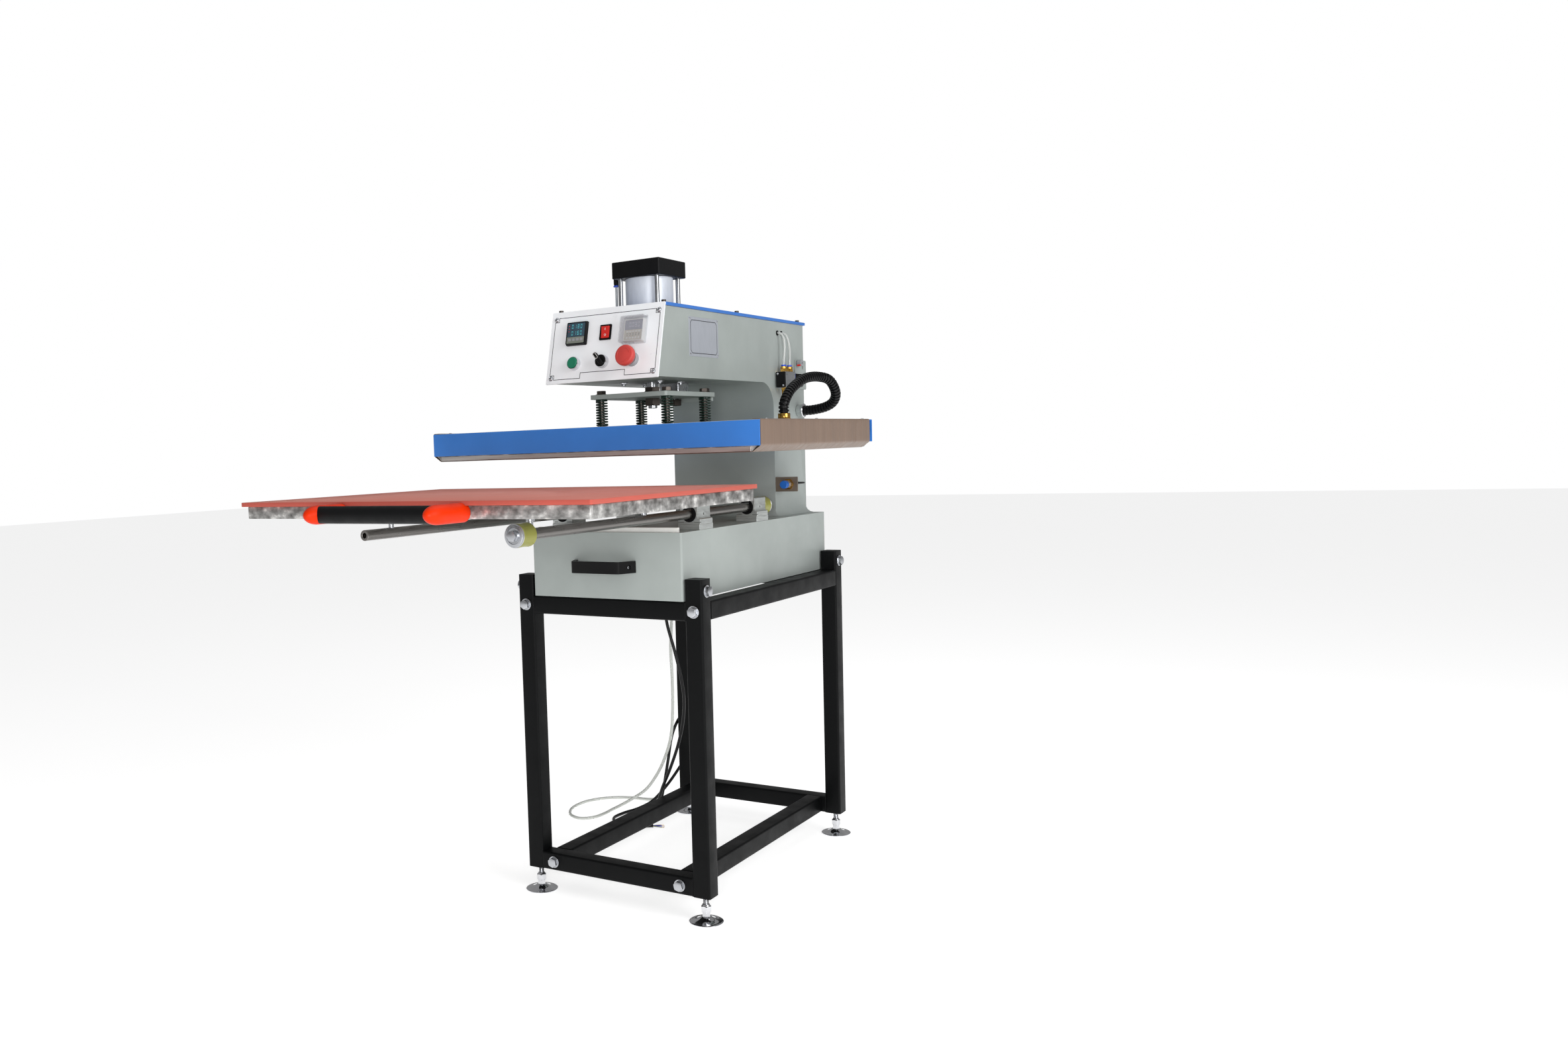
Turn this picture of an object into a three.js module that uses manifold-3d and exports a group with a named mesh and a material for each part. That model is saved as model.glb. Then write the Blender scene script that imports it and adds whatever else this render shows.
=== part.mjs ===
import * as THREE from 'three';
import { mergeVertices } from 'three/addons/utils/BufferGeometryUtils.js';
import Module from 'manifold-3d';

const wasm = await Module();
wasm.setup();

// A pneumatic heat press on a tube stand, in millimetres.
// X runs to the right, Y to the back and Z up. The table is drawn out to the front. What stands
// over the cabinet has its height given as a rise above the top of the cabinet.

// Clearances
const seatGap = 0.3;
const runningGap = 0.5;
const overrun = 3;

// Stand of square tube
const tubeSide = 40;
const tubeWall = 2;
const tubeCorner = 4;
const standWidth = 460;
const standDepth = 738;
const standFront = -380;
const legBottom = 55;
const deckHeight = 673;
const legRise = 46;
const legCapThickness = 3;
const lowerRailSpacing = 320;

// Levelling feet
const footRadius = 36;
const footRimHeight = 2;
const footBellRadius = 21;
const footCrownRadius = 10;
const footHeight = 12;
const footCollarAcross = 16;
const footCollarHeight = 11;
const footNutAcross = 20;
const footNutHeight = 12;
const stemRadius = 6;
const stemReach = 22;

// Hexagon bolts and washers of the stand
const boltAcross = 19;
const boltHeadHeight = 7.5;
const washerRadius = 13;
const washerThickness = 2.5;
const cabinetBoltRise = 21;

// Cabinet that the column stands on
const cabinetWidth = 374;
const cabinetHeight = 141.5;
const cabinetWall = 3;
const cabinetCorner = 5;
const cabinetLip = 44;
const cabinetHandleSpan = 154;
const cabinetHandleFront = 115;
const cabinetHandleReach = 41;
const cabinetHandleThickness = 9;
const cabinetHandleHeight = 25;
const cabinetHandleDrop = 72;

// Column and head, one welded sheet steel C
const columnWidth = 276;
const columnFront = 178.7;
const columnWall = 5;
const columnFilletRadius = 20;
const columnCorner = 3;
const headTopRise = 466.8;
const headBottomRise = 320.5;
const throatRadius = 60;
const rearCoverWidth = 216;
const rearCoverHeight = 330;
const rearCoverRise = 70;
const rearCoverThickness = 2;
const rearCoverLap = 16;

// Sloping control panel
const panelWidth = 280;
const panelHeight = 155.7;
const panelThickness = 3;
const panelTiltDegrees = 14;
const panelFootFront = -375;
const panelFootRise = 319;
const panelScrewInset = 12.4;
const panelScrewRadius = 4;
const panelScrewHeight = 2.2;

// Lid of the head
const lidWidth = 281;
const lidRearOverhang = 9;
const lidHeight = 7;
const lidSkin = 2;
const lidOpening = 114;
const lidOpeningCorner = 8;
const lidScrewInset = 12;
const lidScrewRadius = 6;
const lidScrewHeight = 4.5;

// Air cylinder on the head
const pressAxisY = -159;
const capSide = 120.2;
const capCorner = 2;
const topCapHeight = 36;
const cylinderTopRise = 586.1;
const frontCapHeight = 36;
const barrelRadius = 53;
const barrelWall = 3;
const tieRodRadius = 5;
const tieRodSpacing = 93;
const tieNutAcross = 16;
const tieNutHeight = 6;
const pistonHeight = 30;
const pistonDrop = 6;
const pistonRodRadius = 12.5;

// Guide rod behind the piston rod
const guideRodSetback = 100;
const guideBushSide = 50;
const guideBushRadius = 19;
const guideBushDrop = 20;
const guideBushLength = 95;
const guideRodLength = 165;
const guideCollarRadius = 15;
const guideCollarHeight = 4;
const guideRodRadius = 10;

// Spring plate that the rods carry
const springPlateRise = 295.5;
const springPlateThickness = 10;
const springPlateWidth = 195;
const springPlateDepth = 225;
const springPlateSetback = 4;
const springPlateLip = 9;
const springPlateLipThickness = 8;
const rodNutAcross = 32;
const rodNutHeight = 16;
const rodCollarHeight = 6;
const rodCollarRadius = 18;

// Springs, bolts and seats between the spring plate and the heated platen
const springSpacingX = 167;
const springSpacingY = 172;
const springRadius = 13.3;
const springWireRadius = 2.3;
const springCurls = 8;
const springSeatHeight = 5;
const springSeatRadius = 12;
const springBoltRadius = 6;
const springBoltHeadAcross = 19;
const springBoltHeadHeight = 9;

// Heated platen
const platenWidth = 800;
const platenDepth = 581;
const platenTopRise = 221.5;
const coverHeight = 49.5;
const coverSkin = 2;
const coverReturn = 20;
const platenUndersideRise = 161;
const heaterThickness = 30;
const platenInset = 7;
const platenChamfer = 11;
const platenChamferRise = 12;
const sheetThickness = 1.2;
const sheetFold = 16;

// Lower plate and its silicone pad
const tableWidth = 773.4;
const tableDepth = 567;
const tableFront = -1016;
const tableTopRise = 90.7;
const tableThickness = 22.5;
const tableCorner = 7;
const padOverhang = 5;
const padFrontOverhang = 8;
const padThickness = 8;
const padCorner = 5;

// Table handle
const handleSpread = 268;
const handleLegRadius = 16.5;
const handleReach = 96;
const handleNose = 30;
const gripRadius = 15;
const gripReach = 66;

// Slide shafts, bearing blocks and stops
const shaftRadius = 10;
const shaftSpacing = 322;
const shaftRise = 33;
const rightShaftFront = -912;
const leftShaftFront = -940;
const shaftRear = 62;
const shaftBoreRadius = 5;
const shaftBoreDepth = 12;
const standoffRadius = 8;
const standoffScrewRadius = 5;
const standoffPlay = 1;
const standoffFrontInset = 150;
const standoffRearInset = 34;
const blockLength = 56;
const blockWidth = 52;
const blockBodyWidth = 41;
const blockFlangeHeight = 11.5;
const blockChamfer = 3.5;
const blockHeight = 42;
const riserHeight = 11.7;
const riserSpare = 2;
const frontBlockFront = -299;
const rearBlockFront = -27.5;
const bushOuterRadius = 15;
const bushInnerGap = 0.6;
const sealProud = 1.2;
const lubricationHoleRadius = 2.5;
const lubricationHoleDepth = 4;
const tableTravel = 574;
const frontStripWidth = 350;
const frontStripDepth = 14;
const bumperRadius = 21;
const bumperDiscThickness = 6;
const bumperBoltAcross = 17;
const bumperBoltHeight = 6.5;
const rearBumperLength = 30;

// Air valve on the side of the column
const valveHeight = 38;
const valveWidth = 24;
const valveFront = 188;
const valveCoverLength = 5;
const valveBodyLength = 54;
const valveCoilLength = 56;
const valveCoilDrop = 3;
const valveStep = 0.6;
const valveTopRise = 346.5;
const valvePortPitch = 33;
const valvePortInset = 14;
const fittingRadius = 7;
const fittingHeight = 13;
const fittingHexAcross = 13;
const fittingHexHeight = 5;
const collarRadius = 6.6;
const collarHeight = 3.5;
const silencerRadius = 6;
const silencerHeight = 20;
const silencerTaperShare = 0.7;
const bracketThickness = 2.5;
const bracketLength = 66;
const bracketHeight = 72;
const bracketTopRise = 379.5;
const bracketOverhang = 9;
const keyholeRadius = 5;
const keyholeSlot = 3;
const keyholeDrop = 17;
const keyholeInset = 22;
const regulatorRadius = 8;
const regulatorLength = 16;
const regulatorInset = 12;
const regulatorDrop = 8;

// Air lines
const airHoseRadius = 3;
const hoseExitPitch = 22.3;
const hoseExitRise = 440;
const hoseExitFront = 206.5;
const hoseHoleRadius = 4;
const hoseBendShares = [0.88, 0.55, 0.2];
const elbowReach = 26;
const elbowRadius = 6;
const elbowDrop = 24;

// Ribbed conduit from the column to the heated platen
const conduitRadius = 11;
const conduitGroove = 1.6;
const conduitBoreRadius = 7;
const conduitRibPitch = 7.2;
const bossRadius = 15;
const bossLength = 14;
const bossRingRadius = 16.5;
const bossRingLength = 5;
const bossY = 319.5;
const bossRise = 254.5;
const glandX = 205;
const glandY = 90;
const glandAcross = 28;
const glandNutHeight = 12;
const glandRimHeight = 10;
const glandRimRadius = 14;
const glandCavityDepth = 8;
const conduitBulge = 43;
const conduitArch = 76;
// Share of the way from boss to gland, of the bulge to the right and of the arch over the boss
const conduitRouteShares = [
  [0.015, 0.246, 0.092],
  [0.041, 0.716, 0.237],
  [0.107, 1, 0.5],
  [0.237, 0.921, 0.895],
  [0.368, 0.591, 1],
  [0.586, 0.316, 0.947],
  [0.739, 0.17, 0.776],
  [0.895, 0.07, 0.513],
];

// Position sensor
const sensorX = 172;
const sensorRise = 76.5;
const sensorRadius = 9;
const sensorBack = 32;
const sensorNose = 30;
const sensorCapLength = 12;
const sensorCapStep = 0.5;
const sensorNutAcross = 24;
const sensorNutHeight = 4;
const sensorPlateWidth = 57;
const sensorPlateHeight = 35;
const sensorPlateThickness = 3;
const sensorTabLength = 18;
const sensorLeadRadius = 2.2;
const sensorLeadRun = 80;

// Controls, each placed on the panel from its left edge and foot
const controllerSide = 51.5;
const timerSide = 49;
const instrumentBezel = 9;
const instrumentBodyShare = 0.87;
const instrumentBodyDepth = 70;
const controllerColumn = 71;
const controllerRow = 107.5;
const timerColumn = 215;
const timerRow = 102.5;
const timerCoverSide = 57;
const timerCoverDepth = 20;
const timerCoverWall = 1.6;
const timerHingeRadius = 2.5;
const rockerColumn = 142;
const rockerRow = 105.4;
const rockerFrameWidth = 28.5;
const rockerFrameHeight = 33.6;
const rockerFrameThickness = 2.5;
const rockerWidth = 20;
const rockerHeight = 25;
const rockerThickness = 7;
const rockerRise = 4;
const rockerPivotDepth = 1;
const rockerCase = 20;
const rockerWall = 1.5;
const rockerPlay = 0.8;
const buttonRow = 41;
const bezelRadius = 14.5;
const bezelHeight = 5;
const buttonRadius = 10.5;
const buttonProud = 8;
const buttonHousing = 30;
const buttonEdgeShare = 0.92;
const collarEdgeShare = 0.6;
const collarSlopeShare = 0.2;
const bezelNeckRadius = 12.5;
const knobRadius = 12;
const knobHeight = 15;
const knobLever = 8;
const knobLeverLength = 26;
const knobPlateShare = 0.3;
const knobStem = 10;
const stopBaseRadius = 15;
const stopBaseHeight = 10;
const stopHeadRadius = 21;
const stopHeadHeight = 22;
const stopHeadRise = 18;
const stopNeckRadius = 9;
const stopRimShare = 0.45;
const stopUnderShare = 0.9;

// Mains cable and air supply hose under the cabinet
const mainsRadius = 4;
const mainsGlandX = -165;
const mainsGlandY = 150;
const mainsGlandLength = 32;
const mainsGlandRadius = 11;
const mainsGlandTip = 6;
const glandHexHeight = 9;
const supplyRadius = 4;
const supplyGlandX = -172;
const supplyGlandY = 205;
const supplyFittingLength = 24;
const supplyFittingRadius = 8;
const plugLength = 34;
const plugRadius = 6.5;
const plugBodyShare = 0.4;
const plugNeckShare = 0.5;
const plugStemShare = 0.6;

// Finishes
const finish = (color, roughness, metalness = 0) =>
  new THREE.MeshStandardMaterial({ color, roughness, metalness });
const finishes = {
  bodyPaint: finish(0x9aa29d, 0.55),
  standPaint: finish(0x1c1e1f, 0.5),
  lidBlue: finish(0x4169b0, 0.45),
  coverBlue: finish(0x3a7bcb, 0.4),
  panelWhite: finish(0xe8eaee, 0.4),
  zinc: finish(0xb9bcc0, 0.35, 0.9),
  steel: finish(0x8f9092, 0.3, 0.95),
  chrome: finish(0xd8dade, 0.12, 1),
  aluminium: finish(0xc8c9c8, 0.45, 0.8),
  blockSilver: finish(0xc6cac8, 0.5, 0.5),
  castAluminium: finish(0xadafae, 0.6, 0.7),
  blackPlastic: finish(0x151617, 0.5),
  blackRubber: finish(0x1b1b1c, 0.8),
  orangePlastic: finish(0xff4f14, 0.35),
  siliconeRed: finish(0xc5584a, 0.8),
  sheetBrown: finish(0x8d7364, 0.55),
  springGreen: finish(0x0d2f26, 0.4, 0.2),
  brass: finish(0xc9a253, 0.3, 0.9),
  urethane: finish(0xb9c25a, 0.4),
  clear: finish(0xdfe6e6, 0.1),
  redPlastic: finish(0xd3201c, 0.35),
  greenPlastic: finish(0x1f9a4d, 0.35),
  sensorBlue: finish(0x1f5fb5, 0.4),
};

// Solids and booleans
function toSolid(geometry) {
  const bare = geometry.clone();
  bare.deleteAttribute('normal');
  bare.deleteAttribute('uv');
  const merged = mergeVertices(bare);
  return new wasm.Manifold(new wasm.Mesh({
    numProp: 3,
    vertProperties: new Float32Array(merged.getAttribute('position').array),
    triVerts: new Uint32Array(merged.getIndex().array),
  }));
}

function toGeometry(solid) {
  const mesh = solid.getMesh();
  const geometry = new THREE.BufferGeometry();
  geometry.setAttribute('position', new THREE.BufferAttribute(new Float32Array(mesh.vertProperties), 3));
  geometry.setIndex(new THREE.BufferAttribute(new Uint32Array(mesh.triVerts), 1));
  return geometry;
}

const join = (...parts) => toGeometry(parts.map(toSolid).reduce((all, next) => all.add(next)));
const cut = (body, ...tools) => toGeometry(
  tools.map(toSolid).reduce((left, tool) => left.subtract(tool), toSolid(body)),
);

// A box between two corners
function block(low, high) {
  const size = high.map((end, i) => end - low[i]);
  const geometry = new THREE.BoxGeometry(...size);
  return geometry.translate(...low.map((start, i) => start + size[i] / 2));
}

// Turn a shape that stands along Z so that it runs along another axis from a starting point
const axisTurns = {
  x: new THREE.Matrix4().makeRotationY(Math.PI / 2),
  '-x': new THREE.Matrix4().makeRotationY(-Math.PI / 2),
  y: new THREE.Matrix4().makeRotationX(-Math.PI / 2),
  '-y': new THREE.Matrix4().makeRotationX(Math.PI / 2),
  z: new THREE.Matrix4(),
  '-z': new THREE.Matrix4().makeRotationX(Math.PI),
};
const stand = (geometry, axis, [x, y, z]) => geometry.applyMatrix4(axisTurns[axis]).translate(x, y, z);

// A revolved profile of radius and height pairs
function turned(profile, axis, start, segments = 16) {
  const points = profile.map(([radius, height]) => new THREE.Vector2(radius, height));
  const geometry = new THREE.LatheGeometry(points, segments);
  return stand(geometry.rotateX(Math.PI / 2), axis, start);
}
const round = (radius, length, axis, start, segments = 12) =>
  turned([[0, 0], [radius, 0], [radius, length], [0, length]], axis, start, segments);
const ring = (outer, inner, length, axis, start, segments = 12) => turned(
  [[inner, 0], [outer, 0], [outer, length], [inner, length], [inner, 0]],
  axis,
  start,
  segments,
);
const hexagon = (across, length, axis, start) =>
  round(across / Math.sqrt(3), length, axis, start, 6);

// A domed screw head, sunk a third of its height into the sheet that it holds
const domedScrew = (radius, height, axis, start) => turned([
  [0, -height / 3],
  [radius, -height / 3],
  [radius / 2, height],
  [0, height],
], axis, start, 8);

// Outlines
function roundedRectangle(width, height, radius, centre = [0, 0]) {
  const [x, y] = [centre[0] - width / 2, centre[1] - height / 2];
  const shape = new THREE.Shape();
  shape.absarc(x + width - radius, y + height - radius, radius, 0, Math.PI / 2);
  shape.absarc(x + radius, y + height - radius, radius, Math.PI / 2, Math.PI);
  shape.absarc(x + radius, y + radius, radius, Math.PI, Math.PI * 1.5);
  shape.absarc(x + width - radius, y + radius, radius, Math.PI * 1.5, Math.PI * 2);
  return shape;
}
const outline = (points) => new THREE.Shape(points.map(([a, b]) => new THREE.Vector2(a, b)));

// A prism of an outline: in Y and Z along X, in X and Z along Y, or in X and Y along Z
const prismBases = {
  x: [new THREE.Vector3(0, 1, 0), new THREE.Vector3(0, 0, 1), new THREE.Vector3(1, 0, 0)],
  y: [new THREE.Vector3(1, 0, 0), new THREE.Vector3(0, 0, 1), new THREE.Vector3(0, -1, 0)],
  z: [new THREE.Vector3(1, 0, 0), new THREE.Vector3(0, 1, 0), new THREE.Vector3(0, 0, 1)],
};
function prism(shape, axis, from, to, curveSegments = 2) {
  const geometry = new THREE.ExtrudeGeometry(shape, {
    depth: to - from,
    bevelEnabled: false,
    curveSegments,
  });
  geometry.applyMatrix4(new THREE.Matrix4().makeBasis(...prismBases[axis]));
  const place = { x: [from, 0, 0], y: [0, to, 0], z: [0, 0, from] }[axis];
  return geometry.translate(...place);
}

// A closed body through rings of points, with flat ends
function loft(rings) {
  const sides = rings[0].length;
  const positions = rings.flat().flatMap((point) => [point.x, point.y, point.z]);
  const index = [];
  for (let k = 0; k + 1 < rings.length; k += 1) {
    for (let i = 0; i < sides; i += 1) {
      const [a, b] = [k * sides + i, k * sides + ((i + 1) % sides)];
      index.push(a, b, b + sides, a, b + sides, a + sides);
    }
  }
  const last = (rings.length - 1) * sides;
  for (let i = 1; i + 1 < sides; i += 1) {
    index.push(0, i + 1, i, last, last + i, last + i + 1);
  }
  const geometry = new THREE.BufferGeometry();
  geometry.setAttribute('position', new THREE.Float32BufferAttribute(positions, 3));
  geometry.setIndex(index);
  return geometry;
}

// Rings of points square to a path, carried along it without twist
function ringsAlong(path, radii, sides) {
  const tangents = path.map((point, i) => {
    const ahead = path[Math.min(i + 1, path.length - 1)];
    return ahead.clone().sub(path[Math.max(i - 1, 0)]).normalize();
  });
  const first = tangents[0];
  const side = Math.abs(first.z) > Math.SQRT1_2 ? new THREE.Vector3(1, 0, 0) : new THREE.Vector3(0, 0, 1);
  let across = side.cross(first).normalize();
  return path.map((point, i) => {
    if (i > 0) {
      const turn = new THREE.Quaternion().setFromUnitVectors(tangents[i - 1], tangents[i]);
      across = across.clone().applyQuaternion(turn);
    }
    const other = new THREE.Vector3().crossVectors(tangents[i], across);
    return Array.from({ length: sides }, (_, k) => {
      const angle = (2 * Math.PI * k) / sides;
      return point.clone()
        .addScaledVector(across, radii[i] * Math.cos(angle))
        .addScaledVector(other, radii[i] * Math.sin(angle));
    });
  });
}

// The least distance between points of a wound path that are more than half a curl apart
function leastGap(path, apart, thickness) {
  let least = Infinity;
  for (let i = 0; i < path.length; i += 1) {
    for (let j = i + apart; j < path.length; j += 1) {
      least = Math.min(least, path[i].distanceTo(path[j]));
    }
  }
  return least - thickness;
}

// A round cord or pipe through points
function pipe(points, radius, sides, stepLength) {
  const curve = new THREE.CatmullRomCurve3(points.map((p) => new THREE.Vector3(...p)), false, 'centripetal');
  const section = new THREE.Shape(Array.from({ length: sides }, (_, k) => {
    const angle = (2 * Math.PI * k) / sides;
    return new THREE.Vector2(radius * Math.cos(angle), radius * Math.sin(angle));
  }));
  const steps = Math.round(curve.getLength() / stepLength);
  return new THREE.ExtrudeGeometry(section, { steps, extrudePath: curve, bevelEnabled: false });
}

// The press as named pieces
const press = new THREE.Group();
const controls = new THREE.Group();
press.add(controls);
function piece(name, geometry, material, group = press) {
  const mesh = new THREE.Mesh(geometry, material);
  mesh.name = name;
  group.add(mesh);
}
const mirrored = (make) => [-1, 1].map(make);
const corners = (make) => [-1, 1].flatMap((sx) => [-1, 1].map((sy) => make(sx, sy)));

// Places that several pieces share
const standRear = standFront + standDepth;
const legX = standWidth / 2 - tubeSide / 2;
const legFrontY = standFront + tubeSide / 2;
const legRearY = standRear - tubeSide / 2;
const legTop = deckHeight + legRise;
const railTop = deckHeight - seatGap;
const cabinetTop = deckHeight + cabinetHeight;
const headTop = cabinetTop + headTopRise;
const headBottom = cabinetTop + headBottomRise;
const panelFootHeight = cabinetTop + panelFootRise;
const cylinderTop = cabinetTop + cylinderTopRise;
const springPlateTop = cabinetTop + springPlateRise;
const platenTop = cabinetTop + platenTopRise;
const platenUnderside = cabinetTop + platenUndersideRise;
const tableTop = cabinetTop + tableTopRise;
const shaftHeight = cabinetTop + shaftRise;
const valveTop = cabinetTop + valveTopRise;
const bracketTop = cabinetTop + bracketTopRise;
const hoseExitHeight = cabinetTop + hoseExitRise;
const bossHeight = cabinetTop + bossRise;
const sensorHeight = cabinetTop + sensorRise;
const columnBase = cabinetTop + seatGap;
const columnSide = columnWidth / 2;
const panelTilt = THREE.MathUtils.degToRad(panelTiltDegrees);
controls.rotation.x = Math.PI / 2 - panelTilt;
controls.position.set(0, panelFootFront, panelFootHeight);
controls.updateMatrix();
const springPlateBottom = springPlateTop - springPlateThickness;
const springPlateY = pressAxisY + springPlateSetback;
const guideRodY = pressAxisY + guideRodSetback;
const platenFront = pressAxisY - platenDepth / 2;
const platenRear = pressAxisY + platenDepth / 2;
const tableRear = tableFront + tableDepth;
const tableBottom = tableTop - tableThickness;
const shaftX = shaftSpacing / 2;

// Hexagon bolt head on its washer, sunk a little into the tube that it clamps
function bolt(axis, start) {
  const washer = round(washerRadius, washerThickness + tubeWall / 2, 'z', [0, 0, -tubeWall / 2], 10);
  const head = hexagon(boltAcross, boltHeadHeight + washerThickness, 'z', [0, 0, 0]);
  return stand(join(washer, head), axis, start);
}

// End frames of the stand, with hollow legs and rails that open into each other
const tubeSection = roundedRectangle(tubeSide, tubeSide, tubeCorner);
const crossSection = roundedRectangle(tubeSide - seatGap, tubeSide - seatGap, tubeCorner);
const tubeHollow = tubeSide / 2 - tubeWall;
const lowerRailX = lowerRailSpacing / 2;
const upperRailZ = railTop - tubeSide / 2;
const lowerRailZ = legBottom + tubeSide / 2;
function endFrame(y, outward) {
  const face = y + (outward === 'y' ? tubeSide : -tubeSide) / 2;
  const nutTop = legBottom - seatGap;
  const outer = [
    ...mirrored((s) => prism(tubeSection, 'z', legBottom, legTop).translate(s * legX, y, 0)),
    ...[upperRailZ, lowerRailZ].map((level) => prism(crossSection, 'x', -legX, legX, 1).translate(0, y, level)),
    ...mirrored((s) => bolt(outward, [s * legX, face, upperRailZ])),
    ...mirrored((s) => bolt(outward, [s * lowerRailX, face, lowerRailZ])),
    ...mirrored((s) => bolt(s > 0 ? 'x' : '-x', [s * standWidth / 2, y, deckHeight + cabinetBoltRise])),
  ];
  const inner = [
    ...mirrored((s) => block(
      [s * legX - tubeHollow, y - tubeHollow, legBottom + 2 * tubeWall],
      [s * legX + tubeHollow, y + tubeHollow, legTop - legCapThickness],
    )),
    ...[upperRailZ, lowerRailZ].map((level) => block(
      [-legX, y - tubeHollow + seatGap, level - tubeHollow + seatGap],
      [legX, y + tubeHollow - seatGap, level + tubeHollow - seatGap],
    )),
    ...mirrored((s) => round(
      stemRadius + seatGap,
      stemReach + overrun,
      'z',
      [s * legX, y, nutTop - overrun],
    )),
  ];
  return cut(join(...outer), ...inner);
}
piece('front_frame', endFrame(legFrontY, '-y'), finishes.standPaint);
piece('rear_frame', endFrame(legRearY, 'y'), finishes.standPaint);

// Side rails bolted between the end frames
function sideRail(x, level) {
  const [from, to] = [standFront + tubeSide + seatGap, standRear - tubeSide - seatGap];
  return cut(
    prism(tubeSection, 'y', from, to, 1).translate(x, 0, level),
    block(
      [x - tubeHollow, from - overrun, level - tubeHollow],
      [x + tubeHollow, to + overrun, level + tubeHollow],
    ),
  );
}
mirrored((s) => {
  const side = s > 0 ? 'right' : 'left';
  piece(`upper_rail_${side}`, sideRail(s * legX, upperRailZ), finishes.standPaint);
  piece(`lower_rail_${side}`, sideRail(s * lowerRailX, lowerRailZ), finishes.standPaint);
});

// Levelling feet screwed into the legs, each with a hexagon collar on its bell and a lock nut
function foot() {
  const nutFoot = footHeight + footCollarHeight;
  return join(
    turned([
      [0, 0],
      [footRadius, 0],
      [footRadius, footRimHeight],
      [footBellRadius, 2 * footRimHeight],
      [footCrownRadius, footHeight],
      [stemRadius, footHeight],
      [stemRadius, legBottom + stemReach],
      [0, legBottom + stemReach],
    ], 'z', [0, 0, 0]),
    hexagon(footCollarAcross, footCollarHeight + seatGap, 'z', [0, 0, footHeight - seatGap]),
    hexagon(footNutAcross, footNutHeight, 'z', [0, 0, nutFoot]),
  );
}
const legPlaces = {
  front_left: [-legX, legFrontY],
  front_right: [legX, legFrontY],
  rear_left: [-legX, legRearY],
  rear_right: [legX, legRearY],
};
Object.entries(legPlaces).forEach(([place, [x, y]]) => {
  piece(`foot_${place}`, foot().translate(x, y, 0), finishes.zinc);
});

// Cabinet: a folded box, open under a lip, with the front strip and the outlets of both cords
const cabinetShape = roundedRectangle(
  cabinetWidth,
  standDepth,
  cabinetCorner,
  [0, standFront + standDepth / 2],
);
const cabinetHollow = (inset, low, high) => block(
  [inset - cabinetWidth / 2, standFront + inset, low],
  [cabinetWidth / 2 - inset, standRear - inset, high],
);
const riserTop = cabinetTop + seatGap + riserHeight;
const frontStrip = block(
  [-frontStripWidth / 2, standFront + cabinetCorner, cabinetTop - cabinetWall / 2],
  [frontStripWidth / 2, standFront + frontStripDepth, riserTop - riserSpare],
);
const outletRoot = deckHeight + cabinetWall / 2;
const outletFoot = deckHeight - glandHexHeight;
const outlet = ([x, y], radius, tip, length) => join(
  hexagon(2 * radius, outletRoot - outletFoot, '-z', [x, y, outletRoot]),
  turned([
    [0, -glandHexHeight / 2],
    [radius - runningGap, -glandHexHeight / 2],
    [radius - runningGap, length / 3],
    [tip, length],
    [0, length],
  ], '-z', [x, y, outletFoot], 12),
);
const mainsOutlet = [mainsGlandX, mainsGlandY];
const supplyOutlet = [supplyGlandX, supplyGlandY];
piece('base_cabinet', join(
  cut(
    prism(cabinetShape, 'z', deckHeight, cabinetTop),
    cabinetHollow(cabinetWall, deckHeight + cabinetWall, cabinetTop - cabinetWall),
    cabinetHollow(cabinetLip, deckHeight - overrun, deckHeight + cabinetHeight / 2),
  ),
  frontStrip,
  outlet(mainsOutlet, mainsGlandRadius, mainsGlandTip, mainsGlandLength),
  outlet(supplyOutlet, supplyFittingRadius, supplyRadius + seatGap, supplyFittingLength),
), finishes.bodyPaint);

function cabinetHandle() {
  const [base, front] = [cabinetHandleSpan / 2, cabinetHandleFront / 2];
  const [reach, thick] = [-cabinetHandleReach, cabinetHandleThickness];
  const bridge = outline([
    [-base, 0],
    [-front, reach],
    [front, reach],
    [base, 0],
    [base - thick, 0],
    [front - thick / 2, reach + thick],
    [thick / 2 - front, reach + thick],
    [thick - base, 0],
  ]);
  const top = cabinetTop - cabinetHandleDrop;
  const body = prism(bridge, 'z', top - cabinetHandleHeight / 2, top + cabinetHandleHeight / 2);
  return body.translate(0, standFront - seatGap, 0);
}
piece('cabinet_handle', cabinetHandle(), finishes.blackPlastic);

// Column and head: the outline of the side plates, and the hollow inside it
const panelBackY = panelFootFront + (panelThickness + seatGap) / Math.cos(panelTilt);
const headFrontAt = (z) => panelBackY + (z - panelFootHeight) * Math.tan(panelTilt);
const panelTop = panelFootHeight + panelHeight * Math.cos(panelTilt);
function sideOutline(wall) {
  const shape = new THREE.Shape();
  const [open, floor] = [wall > 0 ? overrun : 0, headBottom + wall];
  const centre = [columnFront - throatRadius, headBottom - throatRadius];
  const front = (z) => headFrontAt(z) - (wall > 0 ? overrun : 0);
  shape.moveTo(standRear - wall, columnBase - open);
  shape.lineTo(standRear - wall, headTop + open);
  shape.lineTo(front(headTop + open), headTop + open);
  shape.lineTo(front(floor), floor);
  shape.absarc(...centre, throatRadius + wall, Math.PI / 2, 0, true);
  shape.lineTo(columnFront + wall, columnBase - open);
  return shape;
}

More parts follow.
